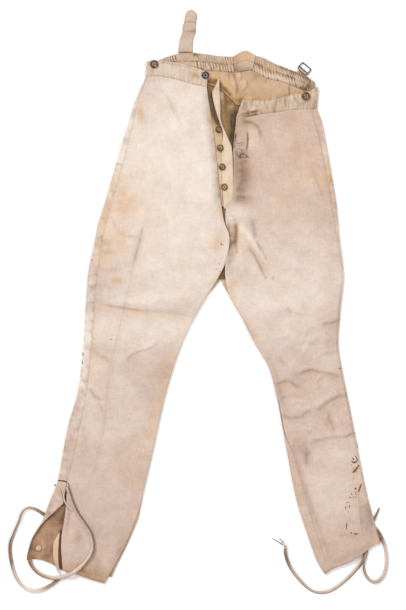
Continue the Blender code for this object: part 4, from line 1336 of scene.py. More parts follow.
# Folds in the fronts and the backs, where they are crumpled, how pale they are by the height on the leg,
# and where their finish has changed
RIGHT_CREASES = (
    *creased((20, 4, 0.9, 0.14, (-101, 198), (-123, 133), (-139, 73), (-153, 6), (-160, -27), (-177, -99),
              (-187, -142), (-190, -170), (-197, -235), (-201, -275), (-212, -315), (-220, -365)),
             (8, 4, 1.2, 0.26, (-122, 140), (-127, 112), (-134, 87), (-141, 64))),
    Crease(((-222, -10), (-180, -17), (-150, -22), (-116, -27), (-70, -32), (-20, -41)), 7, 4, -0.7, True),
    Crease(((-222, -4), (-160, -12), (-90, -22), (-20, -32)), 14, 8, 0.7, True),
    *tuck(((-155, -133), (-144, -119), (-128, -111), (-104, -104), (-94, -90)), 1.8, 0.14, 12, 5),
    *tuck(((-224, -86), (-220, -107), (-211, -118), (-199, -124), (-187, -133)), 1.6, 0.24, 10, 6),
    *tuck(((-228, -182), (-218, -199), (-201, -210)), 1.6, 0.26, 10, 6),
    *tuck(((-210, -212), (-200, -232)), 1.2, 0.14, 8, 6),
    *creased((7, 16, -1.9, 0.12, (-102, 414), (-90, 410), (-77, 402), (-67, 387), (-61, 372), (-50, 352),
              (-45, 330)), (9, 14, 1.2, 0, (-112, 402), (-102, 380), (-98, 350)),
             (8, 12, -1.0, 0, (-128, 390), (-132, 366), (-134, 340)),
             (16, 24, 0.9, 0, (-30, 420), (-26, 380), (-20, 340)),
             (6, 9, -1.0, 0.14, (-184, 164), (-176, 137), (-160, 121), (-128, 117)),
             (6, 9, -0.9, 0.12, (-170, 196), (-160, 180), (-156, 164)),
             (14, 22, 1.2, 0, (40, 90), (10, 70), (-30, 62), (-80, 66)),
             (12, 20, 1.0, 0, (44, 60), (14, 30), (-20, 14)),
             (18, 24, 1.2, 0, (-180, -430), (-200, -480), (-215, -530)),
             (12, 20, 0.9, 0, (-245, -320), (-232, -380), (-228, -440)),
             (26, 20, 0.9, 0, (-140, -180), (-120, -260), (-132, -340)),
             (4, 6, -1.0, 0.25, (-255, -532), (-236, -552), (-226, -560))),
)
LEFT_CREASES = (
    *creased((7, 7, 2.6, 0, (60, 150), (69, 133), (84, 117), (96, 101), (108, 85), (120, 67), (130, 44)),
             (8, 6, -1.2, 0, (95, 159), (100, 136), (103, 114), (115, 93), (124, 71)),
             (6, 6, -1.2, 0.16, (84, 102), (92, 94), (104, 76), (115, 56), (122, 38)),
             (8, 12, 1.2, 0, (50, 176), (70, 176), (88, 170), (90, 152)),
             (7, 8, -2.4, 0, (62, 148), (64, 132), (62, 114), (61, 98), (63, 84)),
             (6, 8, 1.6, 0, (50, 130), (52, 108), (46, 88)), (8, 12, 1.2, 0, (50, 90), (58, 70), (54, 40)),
             (9, 12, -1.2, 0.1, (122, 135), (136, 126), (149, 114)),
             (12, 20, 1.2, 0, (142, 96), (146, 60), (148, 20)),
             (8, 6, 1.6, 0, (72, 346), (84, 351), (98, 348), (110, 338)),
             (4, 6, -1.0, 0, (72, 362), (84, 358), (104, 362)),
             (5, 14, 2.2, 0, (90, 342), (91, 310), (90, 276)),
             (4, 5, -1.4, 0, (85, 342), (86, 310), (84, 280)),
             (9, 16, -1.4, 0, (104, 340), (112, 330), (115, 314), (110, 290), (98, 276)),
             (4, 6, 1.1, 0, (62, 258), (76, 256), (90, 252)), (4, 7, 1.3, 0, (62, 240), (76, 236), (88, 232)),
             (4, 7, 1.2, 0, (62, 218), (74, 214), (86, 212)), (4, 7, 1.2, 0, (60, 196), (74, 190), (90, 188)),
             (5, 7, -1.0, 0.22, (166, -20), (170, -27), (174, -38)), (6, 8, 1.0, 0, (198, 6), (196, -18))),
    *tuck(((234, -58), (244, -55), (258, -53), (268, -49), (276, -40)), 2.0, 0.22, 12, 5),
    Crease(((236, -36), (237, -60), (236, -100)), 5, 6, -0.9),
    *tuck(((170, -28), (190, -40), (215, -44)), 1.2, 0.0, 14, 9),
    *tuck(((206, -120), (214, -100), (228, -84)), 1.4, 0.06, 9, 9),
    *tuck(((196, -104), (206, -84), (212, -62)), 1.3, 0.0, 7, 7),
    *tuck(((150, -118), (190, -100), (240, -96), (272, -88)), 1.0, 0.0, 16, 12),
    *tuck(((176, -163), (198, -154), (214, -150), (225, -153), (252, -157), (272, -163), (283, -173)), 2.8,
     0.12, 15, 8), Crease(((196, -152), (214, -147), (234, -153)), 5, 4, -0.6, False, 0.2),
    *tuck(((142, -180), (156, -172), (168, -170), (179, -176), (190, -184)), 2.2, 0.26, 11, 5),
    *tuck(((224, -190), (232, -182), (228, -170), (240, -164)), 1.8, 0.14, 8, 7),
    *tuck(((150, -212), (176, -200), (200, -206)), 1.4, 0.0, 12, 9),
    *tuck(((152, -236), (168, -244), (182, -245), (195, -242), (206, -233), (220, -227)), 2.8, 0.14, 16, 8),
    *tuck(((218, -232), (231, -226), (244, -215), (258, -207), (272, -201), (289, -197)), 3.6, 0.26, 17, 8),
    *tuck(((262, -274), (256, -258), (249, -244), (251, -234), (248, -224)), 2.2, 0.3, 8, 6),
    Crease(((240, -238), (246, -256), (258, -276)), 6, 5, 1.2),
    *tuck(((208, -300), (222, -292), (236, -288), (262, -284), (288, -281)), 2.4, 0.1, 16, 8),
    *tuck(((280, -283), (293, -276), (305, -271)), 2.0, 0.42, 9, 4),
    *tuck(((196, -262), (206, -276), (214, -266)), 1.3, 0.0, 9, 9),
    Crease(((186, -318), (196, -312), (206, -322), (204, -344)), 10, 12, -1.8, False, 0.1),
    *tuck(((142, -118), (152, -126), (160, -142)), 1.4, 0.06, 9, 8),
    *tuck(((182, -118), (186, -130), (178, -142)), 1.5, 0.06, 9, 8),
    *tuck(((164, -92), (176, -76), (186, -58)), 1.3, 0.0, 9, 9),
    *tuck(((230, -128), (240, -118), (262, -116)), 1.3, 0.05, 9, 8),
    *tuck(((176, -222), (190, -216), (200, -222)), 1.3, 0.05, 9, 8),
    *tuck(((228, -262), (222, -246), (226, -234)), 1.3, 0.0, 8, 8),
    *tuck(((186, -330), (215, -338), (250, -330), (290, -336)), 1.0, 0.0, 16, 14),
    *creased((6, 8, -0.9, 0.1, (268, -476), (290, -480), (316, -484)),
             (4, 12, 1.6, 0, (312, -406), (313, -440), (317, -476)),
             (7, 7, -1.2, 0, (326, -416), (332, -446), (338, -470)),
             (8, 14, 1.0, 0, (292, -380), (312, -430), (330, -470)),
             (8, 12, -1.6, 0.16, (216, 254), (224, 232), (233, 210), (240, 190)),
             (26, 30, 0.9, 0, (180, 330), (176, 260), (186, 190)),
             (20, 26, 1.0, 0, (200, 120), (226, 60), (232, 0))),
)
BACK_CREASES = creased(
    (16, 16, 1.6, 0, (-180, 330), (-120, 240), (-90, 150)),
    (14, 14, 2.0, 0, (-200, 120), (-100, 60), (0, 50)), (12, 12, 1.6, 0, (-190, 40), (-90, 10), (-20, 20)),
    (10, 10, 1.8, 0, (-220, -60), (-150, -80), (-50, -70)),
    (10, 10, 2.0, 0, (-220, -110), (-140, -130), (-70, -110)),
    (10, 10, 1.5, 0, (-230, -200), (-160, -190), (-100, -210)),
    (14, 14, 1.2, 0, (-240, -260), (-200, -330), (-190, -420)),
    (16, 16, 1.6, 0, (90, 300), (140, 220), (220, 180)), (14, 14, 2.0, 0, (60, 90), (140, 60), (250, 90)),
    (12, 12, 1.6, 0, (90, 20), (160, 0), (240, 30)), (10, 10, 2.0, 0, (130, -110), (190, -130), (260, -110)),
    (10, 10, 1.7, 0, (150, -170), (210, -160), (270, -180)),
    (10, 10, 1.6, 0, (170, -240), (230, -260), (290, -240)),
    (14, 14, 1.2, 0, (200, -330), (240, -400), (280, -440)),
)

RIGHT_CRUMPLES = marks(
    relief=((-70, -90, 90, 50, 0.35), (-160, -440, 60, 120, 0.2), (-200, 60, 40, 120, 0.25),
            (-110, 410, 30, 40, 0.4), (0, 60, 50, 60, 0.35)),
)
LEFT_CRUMPLES = marks(
    relief=((210, -240, 80, 130, 0.55), (84, 350, 30, 22, 0.8), (76, 230, 18, 60, 0.7),
            (306, -470, 40, 50, 0.35), (110, 120, 50, 50, 0.35), (240, -70, 50, 60, 0.65),
            (180, -60, 60, 50, 0.45), (170, 200, 90, 150, 0.28), (306, -440, 30, 60, 0.45),
            (240, 240, 16, 140, 0.4)),
)

RIGHT_TONES = ((-580, -0.35), (-530, -0.10), (-450, 0.0), (-390, 0.04), (-328, 0.14), (-268, 0.28),
               (-208, 0.36), (-150, 0.38), (-106, 0.40), (-84, 0.70), (-60, 0.76), (-42, 0.58),
               (-30, 0.40), (-6, 0.50), (52, 0.66), (112, 0.78), (200, 0.92), (300, 0.92), (390, 0.85),
               (440, 0.55))
LEFT_TONES = ((-560, -0.30), (-508, -0.22), (-448, 0.0), (-388, 0.12), (-328, 0.06), (-268, 0.10),
              (-208, 0.08), (-148, 0.04), (-108, 0.24), (-68, 0.34), (-30, 0.55), (-8, 0.66),
              (50, 0.52), (112, 0.38), (170, 0.22), (230, 0.14), (290, 0.08), (350, 0.02), (400, -0.05))

RIGHT_CHANGES = marks(
    tone=((-196, 160, 44, 130, -0.38), (-118, 400, 26, 60, -0.36), (34, 170, 18, 60, -0.3),
          (-90, -160, 60, 60, -0.34), (-212, 10, 30, 60, -0.26), (-112, -4, 120, 9, 0.34, 6),
          (-194, 112, 22, 30, 0.36), (-10, 312, 20, 40, -0.08), (-137, -350, 30, 40, -0.22),
          (-120, -104, 30, 8, 0.3, 18), (-60, 30, 50, 30, 0.1), (-226, -556, 46, 14, -0.7, -16),
          (5, 0.7, (-278, -400), (-282, -440), (-288, -474))),
    rust=((-107, 176, 60, 80, 0.12), (-150, 290, 30, 80, 0.08), (-182, 100, 26, 34, 0.3),
          (-137, -350, 30, 40, 0.22), (-148, 190, 24, 30, 0.34, 20), (-164, 172, 10, 16, 0.4, 20),
          (-176, 128, 24, 44, 0.3, 20), (-160, 206, 9, 10, 0.5), (-184, 250, 12, 60, 0.2, 16),
          (-127, 364, 8, 16, 0.55, 14), (-206, 84, 16, 34, 0.3), (-172, 32, 14, 8, 0.5),
          (26, 40, 14, 26, 0.14), (28, 106, 10, 14, 0.6), (-290, -560, 40, 18, 0.22),
          (-214, -130, 16, 60, 0.16), (24, 0.36, (-54, -90), (-70, -150), (-90, -220), (-112, -320)),
          (-226, -552, 46, 18, 0.36, -16), (9, 0.32, (-222, -18), (-170, -23), (-110, -34), (-20, -46)),
          # Tan streak along the right front's fly edge: painted shade where the edge rolls down.
          (9, 0.5, (8, 400), (15, 350), (24, 290), (30, 240), (36, 180)),
          (7, 0.6, (35, 182), (38, 162), (41, 146))),
    soil=((-72, -150, 14, 20, 0.12), (-126, 362, 8, 14, 0.2, 14), (-195, 108, 10, 7, 0.3),
          (-190, 88, 12, 5, 0.28), (-170, 30, 12, 6, 0.2), (-190, -470, 40, 40, 0.1),
          (-100, -210, 30, 50, 0.1), (-126, -470, 10, 60, 0.14, -20), (-240, -300, 8, 60, 0.16),
          (-150, -300, 26, 60, 0.08), (-232, -552, 44, 14, 0.3, -16), (-250, -480, 9, 16, 0.28),
          (-214, -530, 10, 26, 0.2, 10),
          (3.6, 0.34, (-220, -13), (-180, -20), (-150, -25), (-116, -29), (-70, -33), (-16, -42)),
          # Broad darker streak along the right front's fly edge: painted shade where the edge rolls down.
          (18, 0.5, (5, 424), (12, 380), (16.5, 353), (22, 310), (26, 280), (30, 240), (34, 200), (40, 160)),
          (5, 0.5, (36, 196), (40, 170), (44, 146)), (-166, -512, 12, 34, 0.32, -18),
          (8, 0.16, (-226, 20), (-200, 22), (-176, 12)), (7, 0.16, (-216, 62), (-190, 50), (-170, 56)),
          (6, 0.35, (-268, -400), (-270, -440), (-274, -480))),
)
LEFT_CHANGES = marks(
    soil=((206, -318, 9, 14, 0.45), (196, -300, 14, 10, 0.16), (158, -200, 9, 40, 0.14, 14),
          (78, 252, 15, 16, 0.62), (80, 228, 14, 14, 0.5), (72, 212, 11, 14, 0.5), (76, 195, 17, 8, 0.62),
          (76, 284, 13, 7, 0.5), (76, 270, 12, 8, 0.42), (64, 300, 3.5, 60, 0.4), (84, 352, 26, 14, 0.22),
          (3.0, 0.75, (87, 330), (88, 310), (85, 289)),
          (6, 0.34, (72, 343), (88, 348), (104, 341), (113, 326), (114, 312)),
          (4, 0.4, (74, 351), (88, 360), (106, 363)), (2.5, 0.4, (70, 297), (74, 302), (82, 301)),
          # From the patch at (58, 124) to the streak ending at (126, 70): painted shade in the hollow at the
          # fork, beside the right front's edge and beside the ridge there.
          (2.5, 0.3, (76, 294), (74, 286)), (58, 124, 9, 26, 0.46),
          (5, 0.7, (64, 146), (65, 132), (64, 118), (62, 104)), (4, 0.34, (63, 106), (66, 94), (66, 84)),
          (57, 105, 8, 7, 0.4), (4.5, 0.55, (47, 148), (51, 126), (51, 98), (46, 76)),
          (52, 74, 7, 22, 0.4, -14), (3.6, 0.42, (88, 98), (96, 88), (106, 72), (115, 54), (123, 37)),
          (7, 0.34, (94, 160), (98, 142), (102, 124), (104, 112)),
          (3.6, 0.42, (104, 112), (112, 97), (120, 84), (126, 70)), (4, 0.4, (121, 39), (126, 36)),
          (4, 0.4, (136, 38), (140, 33)),
          (7, 0.14, (48, 24), (66, -28), (86, -60), (108, -92), (126, -116), (142, -152), (155, -207),
           (166, -256)),
          (8, 0.24, (172, -280), (182, -315), (192, -350), (203, -385), (214, -420), (224, -446),
           (240, -490), (256, -530)), (272, -40, 8, 36, 0.26), (252, -92, 16, 12, 0.16),
          (200, -166, 60, 14, 0.1), (206, -236, 60, 12, 0.1), (326, -446, 12, 40, 0.36, 10),
          (10, 0.2, (244, -534), (262, -530), (290, -518), (322, -502), (340, -492)),
          (3.6, 1.2, (347, -464), (350.5, -477), (354, -490)), (3.5, 0.9, (64, 326), (61, 308), (60, 292)),
          (306, -462, 15, 20, 0.14), (332, -440, 5, 26, 0.25, 14),
          (3, 0.22, (310, -404), (313, -440), (318, -480))),
    rust=((206, -176, 30, 9, 0.22), (190, 300, 70, 90, 0.2), (90, 330, 30, 50, 0.26),
          # The streak through (70, 140) is the orange of the painted highlight on the ridge at the fork; the
          # patch at (58, 112) tints the painted shade in the hollow beside it.
          (170, 190, 60, 60, 0.18), (10, 0.26, (70, 140), (82, 118), (95, 100), (108, 82), (121, 62)),
          (58, 112, 12, 34, 0.6), (92, 84, 8, 14, 0.25, 30), (80, 118, 9, 18, 0.34, 30),
          (9, 0.34, (48, 30), (54, 10), (68, -29), (88, -59), (110, -90), (128, -114)), (60, 24, 10, 10, 0.4),
          (12, 0.22, (168, -270), (190, -380), (220, -470), (240, -520)), (232, -52, 14, 10, 0.25),
          (190, 292, 18, 8, 0.3), (240, 230, 14, 12, 0.3), (297, -341, 9, 9, 0.55), (303, -362, 5, 12, 0.45),
          (303, -390, 9, 7, 0.34), (118, 70, 10, 40, 0.16, 30)),
    tone=((178, -128, 14, 12, 0.22), (262, -130, 22, 14, 0.22), (230, -178, 40, 10, 0.2),
          (190, -216, 34, 10, 0.16), (186, -262, 30, 10, 0.18), (266, -234, 24, 14, 0.2),
          (170, -68, 20, 16, 0.2), (60, 96, 30, 40, 0.18), (230, 60, 50, 90, 0.06),
          (256, 100, 18, 100, -0.26), (254, -46, 26, 40, -0.4), (236, 220, 26, 80, -0.2),
          (84, 342, 18, 24, -0.3), (172, 200, 24, 30, -0.12), (80, 48, 16, 18, -0.26),
          (252, -396, 46, 60, 0.26), (264, -318, 34, 24, 0.24), (182, -348, 20, 90, -0.26),
          # The patch at (93, 312) is a painted highlight on the fold ridge beside the fly.
          (268, -246, 28, 20, -0.16), (82, 234, 20, 62, -0.55), (93, 312, 5, 24, 0.9), (104, 312, 6, 22, 0.3),
          # From (70, 166) to (54, 100): painted highlight along the ridge at the fork where positive, painted
          # shade in the hollow beside it where negative.
          (70, 166, 26, 14, 0.55), (7, 0.5, (52, 160), (58, 140)),
          (10, 0.6, (72, 146), (84, 122), (97, 104), (109, 86), (121, 68)),
          (6, -1.0, (63, 148), (65, 132), (65, 116), (63, 104)), (82, 124, 8, 16, 0.5, 30),
          (54, 100, 8, 24, -0.3), (4.0, -1.6, (347, -464), (350.5, -477), (354, -490))),
)
# The same for the back panel where it shows beside the side seam, and for its inside
RIGHT_STRIP = marks(
    tone=((-146, 370, 24, 80, 0.6), (-168, 250, 24, 80, 0.45), (-208, 112, 12, 40, 0.2),
          (-240, -120, 16, 110, 0.5), (-230, 10, 14, 60, 0.2)),
    rust=((-196, 150, 16, 80, 0.5),),
)
LEFT_STRIP = marks(
    tone=((246, 300, 16, 70, 0.45), (270, 130, 12, 60, 0.25)),
    rust=((248, 250, 10, 60, 0.5),),
)
RIGHT_INSIDE = marks(
    inner=((44, 380, 16, 70, -0.1), (52, 356, 7, 26, -0.55),
           # The streak through (66, 372) darkens the inside beside the left front's fly edge: painted shade
           # under that edge.
           (16, -1.5, (66, 372), (64, 345), (62, 320), (60, 290)),
           (5, 0.4, (50, 412), (50, 380), (52, 344), (58, 320)), (4, -0.5, (44, 420), (42, 390), (46, 350)),
           (56, 380, 5, 6, 0.6), (35.5, 403, 3.4, 9, 2.4), (40, 396, 5, 12, 0.5), (36, 368, 9, 26, 0.4),
           (12, 1.6, (38, 182), (43, 160), (50, 138), (52, 120)), (8, -0.45, (30, 424), (40, 400), (56, 380)),
           (12, -0.9, (12, 414), (13, 380), (22, 340)),
           (30, 2.0, (-100, -300), (-127, -427), (-145, -493), (-186, -566)), (6, 10, 40, 26, 2.0)),
)
LEFT_INSIDE = marks(
    inner=((12, 1.6, (38, 182), (43, 160), (50, 138), (52, 120)),
           # The streak through (66, 378) darkens the inside beside the left front's fly edge: painted shade
           # under that edge.
           (16, -1.6, (66, 378), (64, 350), (62, 320), (60, 286)), (62, 20, 30, 30, 2.0),
           (180, -330, 60, 120, 2.0)),
)


# ---------------------------------------------------------------- waist

Height = Callable[[np.ndarray, np.ndarray, np.ndarray], np.ndarray]


def between(
    curves: tuple[Sequence[Point2], Sequence[Point2]],
    ends: tuple[Point2, Point2],
    columns: int,
    ups: Sequence[float],
    height: Height,
) -> np.ndarray:
    """Grid of points between two curves across the waist.

    Args:
        curves: The lower and the upper curve.
        ends: Places across at which each side of the piece begins and ends, as (low, high).
        columns: Number of steps across.
        ups: Part of the way up for each row of points.
        height: Height above the table at places (x, y, part of the way up).

    Returns:
        Array of rows by columns by three.
    """
    (left_low, left_high), (right_low, right_high) = ends
    across = np.linspace(0.0, 1.0, columns + 1)[None, :]
    up = np.asarray(ups, float)[:, None]
    low_x = left_low + (right_low - left_low) * across
    high_x = left_high + (right_high - left_high) * across
    x = low_x + (high_x - low_x) * up
    low_y = height_on(curves[0], low_x) + JOIN
    y = low_y + (height_on(curves[1], high_x) - low_y) * up
    return np.stack([x, y, height(x, y, up + 0.0 * x)], axis=-1)


@dataclass
class FrontBand:
    """Front waistband, turned down at the side of the body and puckered by its stitches.

    Attributes:
        leg: Leg that it is sewn to.
        curves: Its lower and upper edge.
        ends: Places of its two ends, as (low, high).
        changes: Patches and streaks of its finish.
        tone: Paleness of most of it.
        grain: Unevenness of its fine pleats, which are in the colour only, as streaks of painted light and
            shade.
        pleat: Distance across in which they vary.
        pucker: Height of its puckers.
        pitch: Distance from pucker to pucker.
        columns: Number of steps across it.
        ups: Part of the way up for each row of points.
        sewn: Rows of points along which it is sewn.
    """

    leg: Leg
    curves: tuple[tuple[Point2, ...], tuple[Point2, ...]]
    ends: tuple[Point2, Point2]
    changes: Changes
    tone: float
    grain: float
    pucker: float = 0.34
    pitch: float = 9.0
    pleat: float = 2.6
    columns: int = 130
    ups: tuple[float, ...] = (0.0, 0.03, 0.07, 0.14, 0.22, 0.3, 0.4, 0.5,
                              0.6, 0.7, 0.8, 0.88, 0.94, 0.98, 1.0)
    sewn: tuple[int, int] = (2, 11)

    def puckers(self, x: np.ndarray, up: np.ndarray) -> np.ndarray:
        """Puckers of the band, from -1 to 1.

        Args:
            x: Places across.
            up: Part of the way up the piece.

        Returns:
            Height of the puckers at each place.
        """
        wander = 2.0 * drift(x, up * 20.0, 24.0, 31)
        return np.sin(2.0 * np.pi * x / self.pitch + wander)

    def height(self, x: np.ndarray, _: np.ndarray, up: np.ndarray) -> np.ndarray:
        """Height of the band's face at places on it.

        Args:
            x: Places across.
            _: Place that makes no difference here.
            up: Part of the way up the piece.

        Returns:
            Height at each place.
        """
        right = self.leg.side is Side.RIGHT
        outer, fly = (self.ends[0][0], self.ends[1][0]) if right else (self.ends[1][0], self.ends[0][0])
        distance = np.abs(x - outer)
        part = 1.0 - np.minimum(distance / FOLD_RADIUS, 1.0)
        turned = np.sqrt(np.maximum(0.0, 1.0 - part * part))
        base = self.leg.crown(distance + FOLD_RADIUS, self.leg.fly_edge(np.abs(x - fly)))
        base = base - FOLD_RADIUS * (1.0 - turned)
        wrinkles = self.pucker * self.puckers(x, up) * (1.0 - 0.5 * up)
        loose = 0.7 * drift(x, up * 34.0, 15.0, 33) * np.sin(np.pi * up)
        dip = 0.5 * np.exp(-((up - 1.0) / 0.05) ** 2) + 0.3 * np.exp(-((up / 0.05) ** 2))
        calm = np.clip(distance / 8.0, 0.0, 1.0) * np.clip(np.abs(x - fly) / 6.0, 0.25, 1.0)
        return base + (np.maximum(wrinkles + loose, -0.6) + 0.25) * calm - dip

    def build(self, finishes: Finishes, ground: Ground, seams: Seams) -> None:
        """Make the band and its two lines of stitches.

        Args:
            finishes: Materials of every piece.
            ground: Finished pieces that others lie on.
            seams: Lines of stitches.
        """
        name = self.leg.side.name.lower()
        points = between(self.curves, self.ends, self.columns, self.ups, self.height)
        points[-1, :, 1] += 0.5 * drift(points[-1, :, 0], points[-1, :, 1], 13.0, 35)
        x, y = points[..., 0], points[..., 1]
        # Colour: the puckers and the fine pleats are painted paler on their tops and darker in their hollows,
        # painted light and shade, and the pleats' dark streaks also get the dirt colour; the drift terms are
        # uneven wear and dirt.
        pleats = self.grain * drift(x, 0.25 * y, self.pleat, 39)
        puckers = self.puckers(x, np.array(self.ups)[:, None])
        tone = self.tone + 0.16 * drift(x, y, 10.0, 36) + 0.12 * puckers + pleats
        soil = np.clip(0.30 * drift(x, y, 7.0, 38) - 0.08, 0.0, 1.0) + np.clip(-0.6 * pleats - 0.06, 0.0, 1.0)
        masks = paint(x, y, self.changes, tone=tone, soil=soil)
        for row in self.sewn:
            seams.sew("thread", points[row])
        band = cloth_grid(f"{name}_waistband", points, WALL, Facing.UP, masks)
        dress(band, (finishes.cloth["waist cloth"],), "waist_cloth", (f"waistband_front_{name}",))
        ground.add(band)


RIGHT_BAND_CHANGES = marks(
    soil=((3.5, 0.7, (-84, 471), (-51, 469), (-24, 464), (0, 457)), (-16, 440, 12, 4, 0.35, -10),
          (3, 0.3, (-96, 468), (-60, 464), (-20, 455))),
    rust=((-20, 444, 10, 8, 0.6),),
    tone=((-68, 450, 20, 12, 0.45), (-104, 450, 10, 18, -0.2)),
)
LEFT_BAND_CHANGES = marks(
    soil=((80, 376, 6, 5, 0.6), (4, 1.0, (70, 361), (84, 365), (104, 369), (114, 370)),
          (3.5, 1.0, (78, 356), (90, 360), (110, 363)), (2.2, 0.6, (170.5, 412), (170.5, 402)),
          (2.2, 0.6, (180.5, 399), (180.5, 391)), (219, 358, 8, 16, 0.55), (128, 366, 26, 5, 0.2),
          (3, 0.3, (90, 388), (96, 382), (108, 380)), (3, 0.6, (182, 398), (183, 390)),
          (2.5, 0.55, (84, 390), (116, 391), (142, 395), (168, 401), (192, 403))),
    tone=((92, 377, 10, 6, 0.5), (84, 366, 18, 14, -0.35), (3, 0.6, (72, 366), (84, 370), (104, 374)),
          (150, 388, 30, 8, -0.25), (120, 384, 20, 6, 0.35), (200, 392, 18, 10, -0.2)),
    rust=((130, 378, 40, 14, 0.25), (216, 404, 10, 8, 0.3)),
)


@dataclass
class GatheredBack:
    """Back waist drawn in by two rows of gathers either side of a smooth centre piece.

    Attributes:
        ends: Lower and upper end of each piece, on both sides.
        pitch: Distance from gather to gather.
        depth: Half the height of a gather.
        slant: How far a gather leans on its way up.
        lower_share: Number of gathers in the lower row for each one in the upper.
        held: Height at the stitches, as a part of the height between them.
        sag: Height of the cloth between the stitches.
        sunk: How far the gathered halves lie below the centre piece.
        fades: Place and reach of the stretches where the gathers end, right and left.
        strap_patch: Stretch held smooth by the strap that is sewn behind it.
        centre_from: Place across where the swell of the centre piece starts.
        centre_width: Width of that swell.
        centre_swell: Height of that swell.
        shades: Mask, place across, reach, part of the way up, reach and strength of each shaded area.
        rows: Number of steps up the waist.
        samples: Number of steps in a gather.
    """

    ends: dict[str, tuple[Point2, Point2]] = field(default_factory=lambda: {
        "right": ((-110, -108), (61, 58)),
        "left": ((97.5, 104.5), (221, 223)),
        "centre": ((61.5, 58.5), (97, 104)),
    })
    pitch: float = 4.8
    depth: float = 1.25
    slant: float = 7.0
    lower_share: float = 0.82
    held: float = 0.22
    sag: float = 0.5
    sunk: float = 0.3
    fades: tuple[Point2, Point2] = ((-92.0, 16.0), (224.0, 12.0))
    strap_patch: Point2 = (-51.0, -19.0)
    centre_from: float = 58.0
    centre_width: float = 46.0
    centre_swell: float = 1.2
    shades: tuple[tuple[str, float, float, float, float, float], ...] = (
        ("tone", 112.0, 70.0, 0.42, 0.16, -0.9),
        ("tone", 176.0, 34.0, 0.95, 0.16, -1.0),
        ("soil", 176.0, 36.0, 0.96, 0.14, 0.55),
        ("tone", 174.0, 20.0, 0.66, 0.12, 0.4),
        ("soil", 190.0, 24.0, 0.10, 0.14, 0.60),
        ("tone", 140.0, 44.0, 0.22, 0.10, 1.1),
        ("soil", -34.0, 40.0, 0.06, 0.10, 0.7),
        ("soil", 212.0, 12.0, 0.5, 9.0, 0.6),
        ("soil", -16.0, 5.0, 1.0, 0.16, 1.4),
        ("tone", -16.0, 5.0, 1.0, 0.16, -1.0),
    )
    rows: int = 26
    samples: int = 6

    def depth_at(self, x: np.ndarray) -> np.ndarray:
        """Part of the gathers' depth at places across.

        Args:
            x: Places across.

        Returns:
            Part at each place.
        """
        low, high = self.strap_patch
        patch = np.clip(np.maximum(low - x, x - high) / 6.0, 0.12, 1.0)
        patch = patch * (0.75 + 0.45 * drift(x, 0.0 * x, 13.0, 48))
        (right, right_reach), (left, left_reach) = self.fades
        patch = patch * np.clip((x - right) / right_reach, 0.15, 1.0)
        return patch * np.clip((left - x) / left_reach, 0.0, 1.0)

    def wave(self, x: np.ndarray, up: np.ndarray) -> np.ndarray:
        """Gathers from -1 in a furrow to 1 on a fold; the lower row is not in line with the upper.

        Args:
            x: Places across.
            up: Part of the way up the piece.

        Returns:
            Height of the wave.
        """
        lower = ease((0.56 - up) / 0.12)
        phase = 2.0 * np.pi * (x + self.slant * (up - 0.5)) / self.pitch
        upper_wave = np.sin(phase + 3.4 * drift(x, 8.0 * up, 10.0, 41) + 1.2 * drift(x, 20.0 * up, 4.0, 43))
        lower_wave = np.sin(phase * self.lower_share + 3.6 * drift(x, 8.0 * up + 90.0, 11.0, 42))
        return upper_wave * (1.0 - lower) + lower_wave * lower

    def puff(self, up: np.ndarray) -> np.ndarray:
        """Part of the height between the lines of stitches that hold the two rows."""
        part = np.where(up > 0.5, (up - 0.5) / 0.5, up / 0.5)
        return self.held + (1.0 - self.held) * np.sqrt(np.clip(np.sin(np.pi * part), 0.0, 1.0))

    def height(self, x: np.ndarray, y: np.ndarray, up: np.ndarray) -> np.ndarray:
        """Height of the gathered cloth.

        Args:
            x: Places across.
            y: Places along.
            up: Part of the way up the piece.

        Returns:
            Height at each place.
        """
        fold = self.depth * (1.0 + self.wave(x, up)) * self.depth_at(x) * self.puff(up)
        sag = self.sag * self.puff(up) * (1.0 + drift(x, y, 18.0, 44))
        return BAND_FLOOR + FINE - self.sunk + fold + sag * self.depth_at(x)

    def centre_height(self, x: np.ndarray, y: np.ndarray, up: np.ndarray) -> np.ndarray:
        """Height of the smooth centre piece.

        Args:
            x: Places across.
            y: Places along.
            up: Part of the way up the piece.

        Returns:
            Height at each place.
        """
        part = np.clip((x - self.centre_from) / self.centre_width, 0.0, 1.0)
        swell = self.centre_swell * np.sin(np.pi * part)
        dents = 0.5 * drift(x, y, 13.0, 45) - 0.6 * np.exp(-((up - 0.5) / 0.05) ** 2)
        return BAND_FLOOR + FINE + np.maximum(swell + dents, 0.0)

    def build(self, finishes: Finishes, ground: Ground, seams: Seams) -> None:
        """Make both gathered halves and the centre piece, with the stitches that hold them.

        Args:
            finishes: Materials of every piece.
            ground: Finished pieces that others lie on.
            seams: Lines of stitches.
        """
        curves = (BACK_SEAM, BACK_TOP)
        ups = np.linspace(0.0, 1.0, self.rows + 1)
        for name, ends in self.ends.items():
            height = self.centre_height if name == "centre" else self.height
            columns = int(round((ends[1][0] - ends[0][0]) / self.pitch * self.samples))
            points = between(curves, ends, columns, ups, height)
            x, y, up = points[..., 0], points[..., 1], ups[:, None] + 0.0 * points[..., 0]
            masks = paint(x, y)
            if name != "centre":
                wave = self.wave(x, up)
                points[..., 1] += 0.5 * wave * (ease((up - 0.85) / 0.15) - ease((0.15 - up) / 0.15))
                uneven = np.clip(1.0 + 1.6 * drift(x, 0.5 * y, 4.5, 46), 0.0, 2.2)
